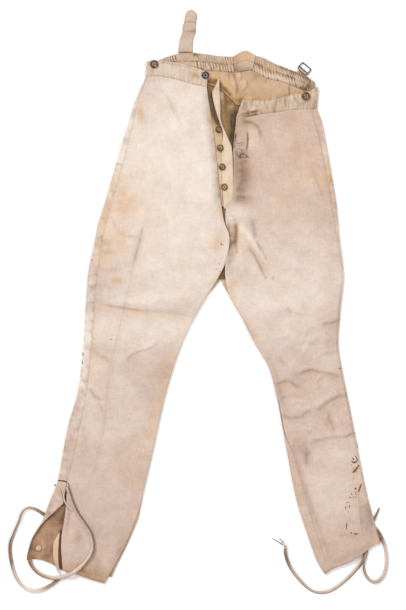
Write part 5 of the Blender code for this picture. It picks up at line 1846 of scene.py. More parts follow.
                # Tone follows the gathers, paler on the folds and darker in the furrows, and the dirt colour
                # darkens the furrows: painted light and shade. It is also darker along the middle stitches
                # and near the lower edge.
                masks["tone"] += 0.70 * wave * self.depth_at(x) * uneven + 0.15 * (x > 60) * (up < 0.5)
                masks["soil"] += np.clip(-wave, 0.0, 1.0) ** 1.5 * 0.62 * self.depth_at(x) * uneven
                masks["soil"] += 0.30 * np.exp(-((up - 0.5) / 0.06) ** 2) * uneven
                masks["soil"] += 0.30 * np.exp(-((up - 0.03) / 0.05) ** 2) * uneven
                for mask, across, reach, height_up, reach_up, amount in self.shades:
                    shade = np.exp(-((x - across) / reach) ** 2 - ((up - height_up) / reach_up) ** 2)
                    masks[mask] += amount * shade * (0.4 + 0.6 * uneven)
                masks["rust"] += 0.18 * uneven
            else:
                masks["rust"] += np.clip((y - 456.0) / 44.0, 0.0, 1.0) + 0.3 * drift(x, y, 14.0, 47)
                masks["tone"] -= 0.5 * np.exp(-((x - 62.0) / 8.0) ** 2)
                masks["tone"] -= 0.3 * np.clip((470.0 - y) / 20.0, 0.0, 1.0)
                masks["soil"] += 0.35 * np.exp(-((y - 452.0) / 5.0) ** 2)
            for row in (1, self.rows // 2, self.rows - 1):
                seams.sew("brown thread" if row == self.rows // 2 else "thread", points[row])
            item = cloth_grid(f"gathered_back_{name}", points, FINE, Facing.UP, masks)
            dress(item, (finishes.cloth["waist cloth"],), "waist_cloth", (f"waistband_back_{name}",))
            ground.add(item)


@dataclass
class BackLining:
    """Lining of the back below the gathers.

    Attributes:
        creases: Folds in it.
        changes: Patches and streaks of its finish.
        columns: Number of steps across each half.
        rows: Number of rows of points.
    """

    creases: tuple[Crease, ...] = (
        *creased((3, 4, 1.4, 0, (170, 428), (171, 418), (172, 407)),
                 (5, 7, 1.6, 0, (66, 452), (68, 430), (76, 394)),
                 (5, 8, 1.2, 0, (96, 438), (92, 420), (84, 396)),
                 (8, 12, 0.9, 0, (118, 430), (112, 410), (110, 392))),
        *tuck(((64, 448), (68, 436), (72, 424), (76, 414), (82, 402)), 1.8, 0.0, 6, 3),
        *tuck(((80, 430), (84, 420), (81, 410), (76, 408)), 1.3, 0.0, 5, 3),
        *tuck(((44, 428), (52, 424), (58, 414)), 1.2, 0.0, 5, 4),
        *creased((6, 9, 1.1, 0, (30, 444), (36, 430), (46, 412)),
                 (3, 4, 1.2, 0, (196, 412), (212, 402), (230, 398)),
                 (3, 4, 1.1, 0, (192, 420), (206, 410), (226, 406))),
    )
    changes: Changes = marks(
        # The light patches at (70, 441) and (78, 424) are painted highlight on the ridge along the centre
        # seam.
        tone=((90, 424, 22, 30, 0.1), (140, 420, 34, 16, 0.34), (37, 442, 7, 9, 0.85), (63, 417, 6, 14, 0.8),
              (8, -1.6, (4, 428), (16, 429), (27, 427), (36, 416), (46, 406)), (70, 441, 5, 8, 0.9),
              (78, 424, 6, 9, 0.9), (74, 392, 8, 7, -0.6), (196, 410, 22, 10, 0.35)),
        soil=((5, 0.6, (40, 417), (48, 408), (55, 399)),
              # The streak through (56, 452) is painted shade beside that ridge.
              (4.0, 0.66, (56, 452), (60, 441), (65, 430), (67, 410), (64, 396)),
              (6, 0.7, (12, 433), (28, 430), (36, 418), (50, 408), (58, 396), (66, 388)),
              (166, 436, 40, 5, 0.35, -14), (3, 0.45, (54, 452), (50, 440), (52, 430)),
              (3.0, 0.45, (84, 434), (88, 422), (80, 411), (76, 412)),
              (3, 0.6, (74, 452), (76, 440), (74, 430)), (74, 392, 8, 7, 0.8),
              (2.5, 0.8, (170, 426), (171, 404), (176, 396)), (4, 0.35, (120, 448), (126, 436), (122, 424)),
              (104, 442, 8, 12, 0.3), (148, 384, 60, 3.5, 0.5, 3), (206, 402, 26, 8, 0.55)),
        rust=((20, 441, 9, 9, 0.9), (46, 420, 15, 18, 0.7), (66, 400, 12, 10, 0.6), (90, 396, 10, 6, 0.6)),
    )

    columns: int = 90
    rows: int = 31

    def height(self, x: np.ndarray, y: np.ndarray, _: np.ndarray) -> np.ndarray:
        """Height of the lining, calm where the fronts lie on it.

        Args:
            x: Places across.
            y: Places along.
            _: Place that makes no difference here.

        Returns:
            Height at each place.
        """
        folds = sum(crease.relief(x, y) for crease in self.creases)
        folds = folds + 0.5 * drift(x, y, 16.0, 51) + 0.5 * drift(x, y, 7.0, 52) + 0.4
        left = np.where(x > 66.0, height_on(FRONT_LEFT_TOP, x), -1.0e3)
        right = np.where(x < 12.0, height_on(FRONT_RIGHT_TOP, x), -1.0e3)
        open_part = ease((y - np.maximum(left, right) - 3.0) / 14.0)
        return LINING_TOP + np.maximum(folds, 0.0) * open_part

    def build(self, finishes: Finishes, ground: Ground) -> None:
        """Make both halves.

        Args:
            finishes: Materials of every piece.
            ground: Finished pieces that others lie on.
        """
        seam = tuple((x, y - JOIN) for x, y in BACK_SEAM)
        pieces = (("right", ((-108, -108), (64.9, 61.9))), ("left", ((65, 62), (206, 206))))
        ups = np.linspace(0.0, 1.0, self.rows)
        for name, ends in pieces:
            points = between((LINING_EDGE, seam), ends, self.columns, ups, self.height)
            x, y = points[..., 0], points[..., 1]
            masks = paint(x, y, self.changes, tone=0.25 * drift(x, y, 20.0, 53))
            item = cloth_grid(f"{name}_back_lining", points, THIN, Facing.UP, masks)
            dress(item, (finishes.cloth["lining"],), "lining", (f"waist_lining_{name}",))
            ground.add(item)


# ---------------------------------------------------------------- strips


def between_edges(
    left: Sequence[Point3], right: Sequence[Point3], step: float, across: int, camber: float = 0.0
) -> np.ndarray:
    """Grid between two edges, each a list of (x, y, height) points from the waist down.

    Args:
        left: Left edge.
        right: Right edge, with as many points.
        step: Distance from row to row.
        across: Number of steps across.
        camber: Height of the middle above the edges.

    Returns:
        Array of rows by columns by three.
    """
    positions = np.linspace(0.0, len(left) - 1.0, int(round(line_length(left) / step)) + 1)
    start, end = smooth_curve(left, positions), smooth_curve(right, positions)
    part = np.linspace(0.0, 1.0, across + 1)[None, :, None]
    points = start[:, None, :] + part * (end - start)[:, None, :]
    points[..., 2] += camber * 4.0 * part[..., 0] * (1.0 - part[..., 0])
    return points


@dataclass
class Strip:
    """Narrow piece of cloth between two edges.

    Attributes:
        name: Name of the piece.
        left: Left edge as (x, y, height) points from the waist down.
        right: Right edge.
        finish: Name of its cloth.
        slot: Name of the finish group that it belongs to.
        node: Solid that it stands for.
        creases: Folds in it.
        changes: Patches and streaks of its finish.
        relief: Height of its small unevenness.
        camber: Height of its middle above its edges.
        tone: Paleness of most of it.
        across: Number of steps across.
        thickness: Thickness of the cloth.
        sewn: Columns of points along which it is sewn.
        hem: Part of the way across and height of its uneven lower edge there.
        hem_reach: Distance above the lower edge in which its unevenness fades.
        step: Distance from row to row of points.
    """

    name: str
    left: tuple[Point3, ...]
    right: tuple[Point3, ...]
    finish: str
    slot: str
    node: str
    creases: tuple[Crease, ...] = ()
    changes: Changes = ()
    relief: float = 0.3
    camber: float = 0.2
    tone: float = 0.0
    across: int = 14
    thickness: float = THIN
    sewn: tuple[int, ...] = ()
    hem: tuple[Point2, ...] = ((0.0, 0.0), (1.0, 0.0))
    hem_reach: float = 26.0
    step: float = 1.8

    def build(self, finishes: Finishes, ground: Ground, seams: Seams) -> None:
        """Make the strip, with its stitches.

        Args:
            finishes: Materials of every piece.
            ground: Finished pieces that others lie on.
            seams: Lines of stitches.
        """
        points = between_edges(self.left, self.right, self.step, self.across, self.camber)
        above = np.linspace(len(points) * self.step / self.hem_reach, 0.0, len(points))[:, None]
        points[..., 1] += hem_lift(np.linspace(0.0, 1.0, points.shape[1])[None, :], above, self.hem)
        x, y = points[..., 0], points[..., 1]
        folds = sum((crease.relief(x, y) for crease in self.creases), 0.0 * x)
        points[..., 2] += np.maximum(folds + self.relief * drift(x, y, 9.0, 61), -0.1)
        masks = paint(x, y, self.changes, tone=self.tone + 0.15 * drift(x, y, 11.0, 62))
        for column in self.sewn:
            seams.sew("thread", points[:, column])
        item = cloth_grid(self.name, points, self.thickness, Facing.UP, masks)
        dress(item, (finishes.cloth[self.finish],), self.slot, (self.node,))
        ground.add(item)


def edge(points: Sequence[Point2], height: float) -> tuple[Point3, ...]:
    """Edge of a strip at one height."""
    return tuple((x, y, height) for x, y in points)


UNDERLAP_TOP = STAND_TOP + GAP + THIN
TURNBACK_TOP = LINING_TOP + GAP + THIN

# Each is a name, a left and a right edge, a cloth, a slot and a solid, and then what it has of its own
STRIPS = (
    Strip(
        "fly_stand",
        edge(((0, 409), (4, 377), (8, 352), (10, 330), (18, 283), (24, 243), (28, 203),
              (33, 179)), STAND_TOP),
        edge(((14, 409), (20, 377), (29, 357), (36, 333), (41, 283), (44, 243), (46, 203), (44, 179)),
             STAND_TOP),
        "stand cotton", "lining", "fly_button_stand",
        changes=marks(
            # The dark patch at (8, 400) and the dark streak along the placket's left edge, with the
            # dirt-coloured patch at (12, 404), are painted shadow in the gap between the right front and the
            # placket.
            tone=((8, 400, 14, 26, -0.7), (34, 235, 20, 60, 0.7),
                  (11, -1.5, (12, 412), (15, 396), (19, 374), (27, 350), (34, 334)),
                  (28, 280, 14, 60, 0.35)),
            soil=((38, 188, 10, 14, 0.4), (12, 404, 14, 30, 0.4), (5, 0.3, (20, 332), (34, 320))),
        ),
    ),
    Strip(
        "fly_placket",
        ((29, 433, 11.5), (23, 419, 10), (17, 405, 8), (22, 377, 7), (31, 349, UNDERLAP_TOP),
         (38, 325, UNDERLAP_TOP), (36, 296, UNDERLAP_TOP), (35, 262, UNDERLAP_TOP), (37, 226, UNDERLAP_TOP),
         (38.5, 196, UNDERLAP_TOP), (40, 176, UNDERLAP_TOP)),
        ((31, 432, 11), (31, 417, 10), (32, 405, 9), (33, 377, 8.5), (34, 350, 8), (46, 321, 7),
         (56, 296, UNDERLAP_TOP), (59, 263, UNDERLAP_TOP), (60.5, 232, UNDERLAP_TOP),
         (60.5, 202, UNDERLAP_TOP), (50, 172, UNDERLAP_TOP)),
        "fly cotton", "fly_cream", "fly_underlap",
        creases=creased(
            (7, 7, 0.7, 0, (48, 292), (50, 240), (50, 190)),
            (3, 3, 0.6, 0, (24, 418), (27, 390), (33, 340)),
        ),
        changes=marks(rust=((24, 410, 8, 18, 0.35), (50, 210, 10, 30, 0.15))),
        tone=0.4, sewn=(1, 13),
    ),
    Strip(
        "fork_gusset",
        edge(((37, 70), (24, 50), (12, 33)), LINING_TOP), edge(((41, 70), (48, 52), (54, 36)), LINING_TOP),
        "gusset", "gusset", "crotch_gusset",
        creases=creased(
            (3, 4, 0.9, 0, (34, 56), (32, 44), (26, 34)), (3, 4, 0.8, 0, (40, 56), (42, 46), (44, 36)),
        ),
    ),
    Strip(
        "vent_facing",
        edge(((-292, -418), (-307, -437), (-319, -452), (-331, -471), (-341, -484), (-347, -500),
              (-350, -514), (-351, -525)), LINING_TOP),
        edge(((-262, -418), (-268, -440), (-273, -460), (-276, -480), (-278, -500), (-279, -515),
              (-280, -530), (-281.5, -544)), LINING_TOP),
        "facing", "facing", "right_vent_facing",
        creases=creased(
            (5, 7, 1.0, 0, (-318, -470), (-306, -478), (-296, -494)),
            (5, 7, 0.9, 0, (-300, -446), (-290, -470), (-288, -490)),
            (5, 7, 0.8, 0, (-344, -510), (-320, -520), (-296, -528)),
        ),
        changes=marks(
            # The streaks down x = -286 paint the shadow in the slit between the turn-back and the front; the
            # patches at (-336, -503) paint the shadow round the covered button.
            soil=((-294, -436, 14, 14, 0.3), (6, 1.4, (-285, -466), (-286, -500), (-286, -550)),
                  (-336, -503, 8, 7, 0.4), (4, 0.3, (-314, -470), (-312, -490), (-316, -512))),
            tone=((-318, -492, 16, 12, 0.5), (6, -2.0, (-285, -462), (-286, -500), (-286, -550)),
                  (8, -0.8, (-276, -412), (-281, -440), (-288, -462)), (-344, -524, 10, 6, -0.5),
                  (-312, -520, 9, 6, -0.5), (-336, -503, 10, 8, -0.4),
                  (4, -0.6, (-304, -470), (-303, -500), (-306, -520)),
                  (4, 0.6, (-324, -480), (-322, -500), (-322, -516)), (-330, -520, 6, 8, 0.5),
                  (5, -0.9, (-292, -420), (-319, -454), (-341, -486), (-351, -523))),
        ),
        relief=0.5, across=40,
        hem=((0.0, 0.0), (0.07, 2.2), (0.17, 3.9), (0.38, 6.0), (0.53, 4.9), (0.67, 3.8), (0.79, 1.2),
             (0.89, -2.0), (1.0, -4.0)),
    ),
    Strip(
        "vent_turnback",
        edge(((-289, -472), (-299, -491), (-301, -508), (-299.5, -525), (-295, -541), (-289.5, -554)),
             TURNBACK_TOP),
        edge(((-287.5, -472), (-289.5, -491), (-290.5, -508), (-290.5, -525), (-289, -541), (-287, -553.5)),
             TURNBACK_TOP),
        "buff cloth", "left_cloth", "right_vent_turnback",
        changes=marks(
            rust=((-296, -504, 8, 40, 0.8),),
            tone=((-296, -490, 5, 20, 0.4), (-290, -551, 4, 6, 0.6)),
            soil=((-296, -540, 8, 8, 0.3),),
        ),
    ),
    Strip(
        "back_strap",
        edge(((-27, 573), (-33, 569.5), (-37, 562), (-39, 549), (-42, 539), (-43, 528), (-48, 512),
              (-51, 486), (-50, 470)), THIN),
        edge(((-25, 573), (-18, 570), (-13.5, 562), (-15, 549), (-16, 539), (-16, 529), (-21, 512),
              (-22, 486), (-21, 470)), THIN),
        "waist cloth", "waist_cloth", "cinch_strap",
        creases=creased(
            (4, 5, 1.1, 0, (-41, 549), (-28, 551), (-14, 548)),
            (4, 5, 1.0, 0, (-43, 534), (-30, 531), (-15, 533)),
            (9, 9, 0.5, 0, (-30, 560), (-29, 530), (-36, 490)),
        ),
        changes=marks(
            # Darker along the two cross creases; the streak along y = 487 is painted shadow under the waist's
            # edge where the strap passes beneath it.
            soil=((2.2, 0.55, (-41, 547), (-28, 549), (-14, 546)),
                  (2.0, 0.4, (-43, 531), (-30, 529), (-15, 531)),
                  (3.4, 1.4, (-52, 487), (-36, 486.5), (-21, 487)), (2.5, 0.5, (-53, 500), (-50, 478)),
                  (-20, 530, 6, 5, 0.5)),
        ),
        tone=0.12, sewn=(1, 13),
    ),
)


# ---------------------------------------------------------------- round and wire work


def swept(
    points: np.ndarray, radius: float | np.ndarray, sides: int, closed: bool = False
) -> tuple[np.ndarray, list]:
    """Tube along points.

    Args:
        points: Middle line of the tube.
        radius: Its radius, or one for each point.
        sides: Number of faces around it.
        closed: Whether its end joins its start.

    Returns:
        Points and faces of the tube.
    """
    line = np.asarray(points, float)
    count = len(line)
    ahead = np.roll(line, -1, 0) - np.roll(line, 1, 0)
    if not closed:
        ahead[0], ahead[-1] = line[1] - line[0], line[-1] - line[-2]
    ahead /= np.linalg.norm(ahead, axis=1)[:, None]
    aside = np.cross(ahead, (0.0, 0.0, 1.0))
    steep = np.linalg.norm(aside, axis=1) < 0.05
    aside[steep] = np.cross(ahead[steep], (0.0, 1.0, 0.0))
    aside /= np.linalg.norm(aside, axis=1)[:, None]
    above = np.cross(aside, ahead)
    turn = np.linspace(0.0, 2.0 * np.pi, sides, endpoint=False)
    size = np.broadcast_to(np.asarray(radius, float), (count,))[:, None, None]
    ring = np.cos(turn)[None, :, None] * aside[:, None] + np.sin(turn)[None, :, None] * above[:, None]
    shell = (line[:, None] + size * ring).reshape(-1, 3)
    faces = []
    for row in range(count if closed else count - 1):
        after = (row + 1) % count
        for side in range(sides):
            beside = (side + 1) % sides
            faces.append((row * sides + side, row * sides + beside, after * sides + beside,
                          after * sides + side))
    if not closed:
        faces += [tuple(range(sides))[::-1], tuple(range((count - 1) * sides, count * sides))]
    return shell, faces


def ring_faces(rings: int, sides: int, first: int = 0) -> list[tuple[int, ...]]:
    """Faces between rings of points, each of them joined to the next.

    Args:
        rings: Number of rings.
        sides: Number of points in a ring.
        first: Number of the first ring's first point.

    Returns:
        Faces as numbers of points.
    """
    return [
        (ring + side, ring + sides + side, ring + sides + (side + 1) % sides, ring + (side + 1) % sides)
        for ring in range(first, first + (rings - 1) * sides, sides)
        for side in range(sides)
    ]


def joined(parts: Sequence[tuple[np.ndarray, list]]) -> tuple[np.ndarray, list]:
    """Points and faces of several shells as one.

    Args:
        parts: Points and faces of each shell.

    Returns:
        Points and faces of the whole.
    """
    points, faces, first = [], [], 0
    for shell, own in parts:
        points.append(np.asarray(shell, float))
        faces += [tuple(index + first for index in face) for face in own]
        first += len(shell)
    return np.concatenate(points), faces


def outward(item: bpy.types.Object) -> bpy.types.Object:
    """Turn the faces of a closed piece outwards.

    Args:
        item: The piece.

    Returns:
        The same piece.
    """
    shape = bmesh.new()
    shape.from_mesh(item.data)
    bmesh.ops.recalc_face_normals(shape, faces=shape.faces)
    shape.to_mesh(item.data)
    shape.free()
    return item


@dataclass
class Button:
    """Sewn button with a rolled rim and a dished middle.

    Attributes:
        name: Name of the piece and of the solid that it stands for.
        place: Its middle.
        diameter: Its diameter.
        rim: Finish of its rim.
        middle: Finish of its middle.
        slot: Name of the finish group that it belongs to.
        under: Pieces that it lies on.
        thread: Finish of the thread that holds it.
        thread_radius: Half the thickness of that thread.
        thread_place: Distance of the thread from the middle, as a part of the button's radius.
        segments: Number of faces round it.
        hub: Height of its middle.
        profile: Distance from the middle, as a part of the radius, and height along its section.
        middle_rings: Number of rings that have the middle's finish.
    """

    name: str
    place: Point2
    diameter: float
    rim: str
    middle: str
    slot: str
    under: tuple[str, ...]
    thread: str = "brown thread"
    thread_radius: float = 0.45
    thread_place: float = 0.16
    segments: int = 32
    hub: float = 1.2
    profile: tuple[Point2, ...] = (
        (0.22, 1.25), (0.50, 1.3), (0.56, 1.5), (0.64, 2.2), (0.74, 2.45), (0.88, 2.3),
        (0.97, 1.8), (1.0, 1.3), (0.97, 0.7), (0.86, 0.15), (0.5, 0.0),
    )
    middle_rings: int = 3

    def build(self, finishes: Finishes, ground: Ground) -> None:
        """Make the button and the threads across its holes.

        Args:
            finishes: Materials of every piece.
            ground: Finished pieces that others lie on.
        """
        radius = self.diameter / 2.0
        base = ground.top(*self.place, self.under, radius) + GAP
        turn = np.linspace(0.0, 2.0 * np.pi, self.segments, endpoint=False)
        points = [(0.0, 0.0, self.hub)]
        points += [(part * radius * math.cos(angle), part * radius * math.sin(angle), height)
                   for part, height in self.profile for angle in turn]
        points.append((0.0, 0.0, 0.0))
        faces = [(0, 1 + side, 1 + (side + 1) % self.segments) for side in range(self.segments)]
        faces += ring_faces(len(self.profile), self.segments, 1)
        last, end = 1 + (len(self.profile) - 1) * self.segments, len(points) - 1
        faces += [(end, last + (side + 1) % self.segments, last + side) for side in range(self.segments)]
        inner = self.segments * self.middle_rings
        body = np.array(points)
        gap = self.thread_place * radius
        threads = []
        for side in (-1.0, 1.0):
            bar = [(part * gap * 1.5, side * gap, 1.35 + 0.5 * (1.0 - part * part))
                   for part in (-1, -0.5, 0, 0.5, 1)]
            threads.append(swept(np.array(bar), self.thread_radius, 6))
        shell, everything = joined([(body, faces), *threads])
        shell = shell + np.array((*self.place, base))
        item = outward(make_mesh(self.name + "_sewn", shell, everything))
        names = (finishes.hard[self.rim], finishes.hard[self.middle], finishes.hard[self.thread])
        dress(item, names, self.slot, (self.name,))
        for number, polygon in enumerate(item.data.polygons):
            polygon.material_index = 1 if number < inner else 0 if number < len(faces) else 2


BUTTONS = (
    Button("fly_button_1", (30, 333), 13.5, "dull brass", "horn", "brass", ("fly_stand",)),
    Button("fly_button_2", (33, 296), 13.5, "dull brass", "horn", "brass", ("fly_stand", "fly_placket")),
    Button("fly_button_3", (37, 258), 13.5, "dull brass", "horn", "brass", ("fly_stand", "fly_placket")),
    Button("fly_button_4", (41, 218), 13.5, "dull brass", "horn", "brass", ("fly_stand", "fly_placket")),
    Button("waist_button", (3.5, 441), 15.0, "grey metal", "pale metal", "grey_metal", ("right_waistband",),
           "grey metal"),
    Button("brace_button_right", (-99, 463), 16.5, "dull brass", "worn brass", "brass", ("right_waistband",)),
    Button("brace_button_left", (204, 399), 16.5, "dull brass", "worn brass", "brass", ("left_waistband",)),
)


@dataclass
class CoveredButton:
    """Button of the ankle vent, covered with cloth.

    Attributes:
        place: Its middle.
        diameter: Its diameter.
        height: Height of its dome.
        edge_height: Height of the edge of its dome.
        pleats: Number of gathers round it.
        segments: Number of faces round it.
        parts: Distance of each ring from the middle, as a part of the radius.
    """

    place: Point2 = (-330, -503)
    diameter: float = 12.0
    height: float = 2.5
    edge_height: float = 0.25
    pleats: int = 12
    segments: int = 36
    parts: tuple[float, ...] = (0.08, 0.3, 0.55, 0.78, 0.92, 1.0, 0.98, 0.85)

    def build(self, finishes: Finishes, ground: Ground) -> None:
        """Make the dome with its gathered edge.

        Args:
            finishes: Materials of every piece.
            ground: Finished pieces that others lie on.
        """
        base = ground.top(*self.place, ("vent_facing",), self.diameter / 2.0) + GAP
        turn = np.linspace(0.0, 2.0 * np.pi, self.segments, endpoint=False)
        rings = []
        for part in self.parts:
            swell = math.sqrt(max(0.0, 1.0 - min(part, 1.0) ** 2.4)) if part < 0.985 or not rings else 0.0
            pleat = 1.0 + 0.025 * part * np.sin(turn * self.pleats)
            radius = part * self.diameter / 2.0 * pleat
            level = 0.0 * turn + self.edge_height + (self.height - self.edge_height) * swell
            rings.append(np.stack([radius * np.cos(turn), radius * np.sin(turn), level], axis=1))
        rings[-2][:, 2], rings[-1][:, 2] = 0.5, 0.0
        shell = np.concatenate(rings) + np.array((*self.place, base))
        sides = len(turn)
        faces = [tuple(range(sides)), tuple(range(len(shell) - sides, len(shell)))[::-1]]
        faces += ring_faces(len(rings), sides)
        item = outward(make_mesh("ankle_button_covered", shell, faces))
        dress(item, (finishes.cloth["lining"],), "facing", ("ankle_button",))


@dataclass
class CinchBuckle:
    """Wire buckle with a middle bar, and the loop of cloth that holds its inner bar.

    Attributes:
        corner: Its outer corner nearest the centre back.
        angle: Direction of its long bars in degrees.
        length: Length of its long bars.
        width: Distance between them.
        bar: Distance of the middle bar from the outer one.
        wire: Radius of the wire.
        corner_radius: Radius of the wire's bends.
        chape_width: Width of the loop of cloth.
        chape_tail: Length of its tail under the waist.
        chape_columns: Number of its columns of points.
        pleat: Height of its small pleats.
    """

    corner: Point2 = (197.7, 468.0)
    angle: float = -40.0
    length: float = 22.7
    width: float = 15.0
    bar: float = 10.4
    wire: float = 1.0
    corner_radius: float = 2.0
    chape_width: float = 16.0
    chape_tail: float = 14.0
    chape_columns: int = 25
    pleat: float = 0.22

    def place(self, along: float, outwards: float, height: float) -> Point3:
        """Place from the middle of the inner bar, outwards being away from the garment.

        Args:
            along: Distance along its long bars.
            outwards: Distance away from the garment.
            height: Height above the table.

        Returns:
            The place.
        """
        angle = math.radians(self.angle)
        bars = np.array((math.cos(angle), math.sin(angle)))
        inwards = np.array((math.sin(angle), -math.cos(angle)))
        middle = np.array(self.corner) + bars * self.length / 2.0 + inwards * self.width
        x, y = middle + bars * along - inwards * outwards
        return float(x), float(y), height

    def build(self, finishes: Finishes, ground: Ground) -> None:
        """Make the buckle and its chape.

        Args:
            finishes: Materials of every piece.
            ground: Finished pieces that others lie on.
        """
        bar_height = FINE + GAP + self.wire
        fall = (bar_height - self.wire) / self.width
        half, bend_radius = self.length / 2.0, self.corner_radius
        line = []
        for side, end, start in ((1, 1, 0), (-1, 1, 90), (-1, 0, 180), (1, 0, 270)):
            for step in range(7):
                angle = math.radians(start + 15 * step)
                out = (self.width - bend_radius if end else bend_radius) + bend_radius * math.sin(angle)
                along = side * (half - bend_radius) + bend_radius * math.cos(angle)
                line.append(self.place(along, out, bar_height - fall * out))
        out = self.width - self.bar
        ends = [self.place(side * half, out, bar_height - fall * out) for side in (-1, 1)]
        frame_line = even_line(np.array(line), 1.0, closed=True)
        bar_line = np.linspace(ends[0], ends[1], 9)
        shell, faces = joined([swept(frame_line, self.wire, 12, True), swept(bar_line, self.wire * 0.95, 12)])
        item = outward(make_mesh("wire_buckle", shell, faces))
        dress(item, (finishes.hard["japanned wire"],), "black_wire", ("cinch_buckle",), Body.BUCKLE)
        self.chape(bar_height, finishes, ground)

    def chape(self, bar_height: float, finishes: Finishes, ground: Ground) -> None:
        """Make the loop of cloth.

        Args:
            bar_height: Height of the middle of the inner bar.
            finishes: Materials of every piece.
            ground: Finished pieces that others lie on.
        """
        outer = self.wire + GAP + FINE
        loop = [(-self.chape_tail * (1.0 - step / 8.0), bar_height - outer) for step in range(8)]
        loop += [(outer * math.cos(math.radians(angle)), bar_height + outer * math.sin(math.radians(angle)))
                 for angle in range(-90, 91, 12)]
        loop += [(-0.8, bar_height + outer * 0.97), (-1.6, bar_height + outer * 0.8)]
        points = np.array([[self.place(self.chape_width * (part - 0.5), *spot) for spot in loop]
                           for part in np.linspace(0.0, 1.0, self.chape_columns)])
        along = np.linspace(0.0, 1.0, self.chape_columns)[:, None]
        points[..., 2] += self.pleat * np.sin(along * 34.0) * (np.arange(len(loop)) > 8) + self.pleat
        # Even dirt, darker in the furrows of the small pleats: painted shade.
        masks = {"soil": 0.3 + 0.3 * np.sin(along * 34.0 + 3.1) + 0.0 * points[..., 2]}
        item = cloth_grid("buckle_loop", points, FINE, Facing.DOWN, masks)
        dress(item, (finishes.cloth["waist cloth"],), "waist_cloth", ("buckle_chape",))
        ground.add(item)


# ---------------------------------------------------------------- ties


def spread(values: np.ndarray, reach: int) -> np.ndarray:
    """Highest value within a reach of each, blended smoothly.

    Args:
        values: Values in order.
        reach: Number of values that count on each side.

    Returns:
        One value for each of them.
    """
    padded = np.pad(values, reach, mode="edge")
    highest = np.max([padded[n : n + len(values)] for n in range(2 * reach + 1)], axis=0)
    padded = np.pad(highest, reach, mode="edge")
    return np.convolve(padded, np.ones(2 * reach + 1) / (2 * reach + 1), mode="valid")


@dataclass
class Tape:
    """Ribbon laid along a route, standing partly on its edge where it turns.

    Attributes:
        name: Name of the piece.
        node: Solid that it stands for.
        route: Its route as (x, y, least height above the table).
        under: Pieces that it lies on.
        far_end: What its far end is, or nothing for a short end that isn't a free cord.
        rolls: Part of the way and degrees by which its right edge stands up there.
        shades: Part of the way, paleness and darkness there; the darkness is dirt and painted shade where the
            tape stands on edge away from the light.
        across_shades: Part of the way, paleness towards the right edge and darkness towards the left there:
            painted light and shade of the tape standing on its edge, with some dirt.
        width: Its width.
        taper: Part of the width that is lost by its end.
        camber: Height of its middle above its edges.
        step: Distance from point to point along it.
        columns: Number of steps across it.
    """

    name: str
    node: str
    route: tuple[Point3, ...]
    under: tuple[str, ...]
    far_end: str = ""
    rolls: tuple[Point2, ...] = ((0.0, 0.0), (1.0, 0.0))
    shades: tuple[Point3, ...] = ((0.0, 0.0, 0.0), (1.0, 0.0, 0.0))
    across_shades: tuple[Point3, ...] = ((0.0, 0.0, 0.0), (1.0, 0.0, 0.0))
    width: float = 7.0
    taper: float = 0.0
    camber: float = 0.25
    step: float = 1.4
    columns: int = 8

    def build(
        self, finishes: Finishes, ground: Ground, with_pieces: tuple[bpy.types.Object, ...] = ()
    ) -> bpy.types.Object:
        """Make the ribbon.

        Args:
            finishes: Materials.
            ground: Finished pieces.
            with_pieces: Pieces at the end of the ribbon; not used.

        Returns:
            The ribbon.
        """
        line = even_curve(self.route, self.step)
        count = len(line)
        part = np.linspace(0.0, 1.0, count)
        tops = np.array([ground.top(x, y, self.under, self.width * 0.6) for x, y, _ in line])
        base = spread(np.where(tops > 0.0, tops + GAP + 0.2, 0.0), min(4, count // 4))
        base = np.maximum(base, line[:, 2])
        ahead = np.gradient(line[:, :2], axis=0)
        ahead /= np.linalg.norm(ahead, axis=1)[:, None]
        aside = np.stack([ahead[:, 1], -ahead[:, 0]], axis=1)
        roll = np.radians(read(self.rolls, part))[:, None]
        half = (self.width / 2.0 * (1.0 - self.taper * part))[:, None]
        offsets = np.linspace(-1.0, 1.0, self.columns + 1)[None, :]
        across = offsets * half * np.cos(roll)
        camber = self.camber * (1.0 - offsets * offsets)
        rise = (offsets * np.sin(roll) + np.abs(np.sin(roll))) * half + camber * np.cos(roll)
        points = np.empty((count, self.columns + 1, 3))
        points[..., :2] = line[:, None, :2] + across[..., None] * aside[:, None, :]
        points[..., 2] = base[:, None] + FINE + rise
        x, y = points[..., 0], points[..., 1]
        tone = read(self.shades, part)[:, None] + 0.12 * drift(x, y, 9.0, 71)
        masks = paint(x, y, tone=tone, soil=read(self.shades, part, 2)[:, None])
        # Across the ribbon: paler towards one edge and darker towards the other, painted light and shade
        # where it stands on edge.
        masks["tone"] += offsets * read(self.across_shades, part)[:, None]
        masks["soil"] += np.clip(-offsets, 0.0, 1.0) * read(self.across_shades, part, 2)[:, None]
        item = cloth_grid(self.name, points, FINE, Facing.UP, masks)
        dress(item, (finishes.cloth["tape"],), "tape", (self.node,))
        if self.far_end:
            path = points[:, self.columns // 2].copy()
            path[:, 2] -= FINE / 2.0
            length = line_length(path)
            LOG.info("%s: %.0f mm long", self.name, length)
        ground.add(item)
        return item


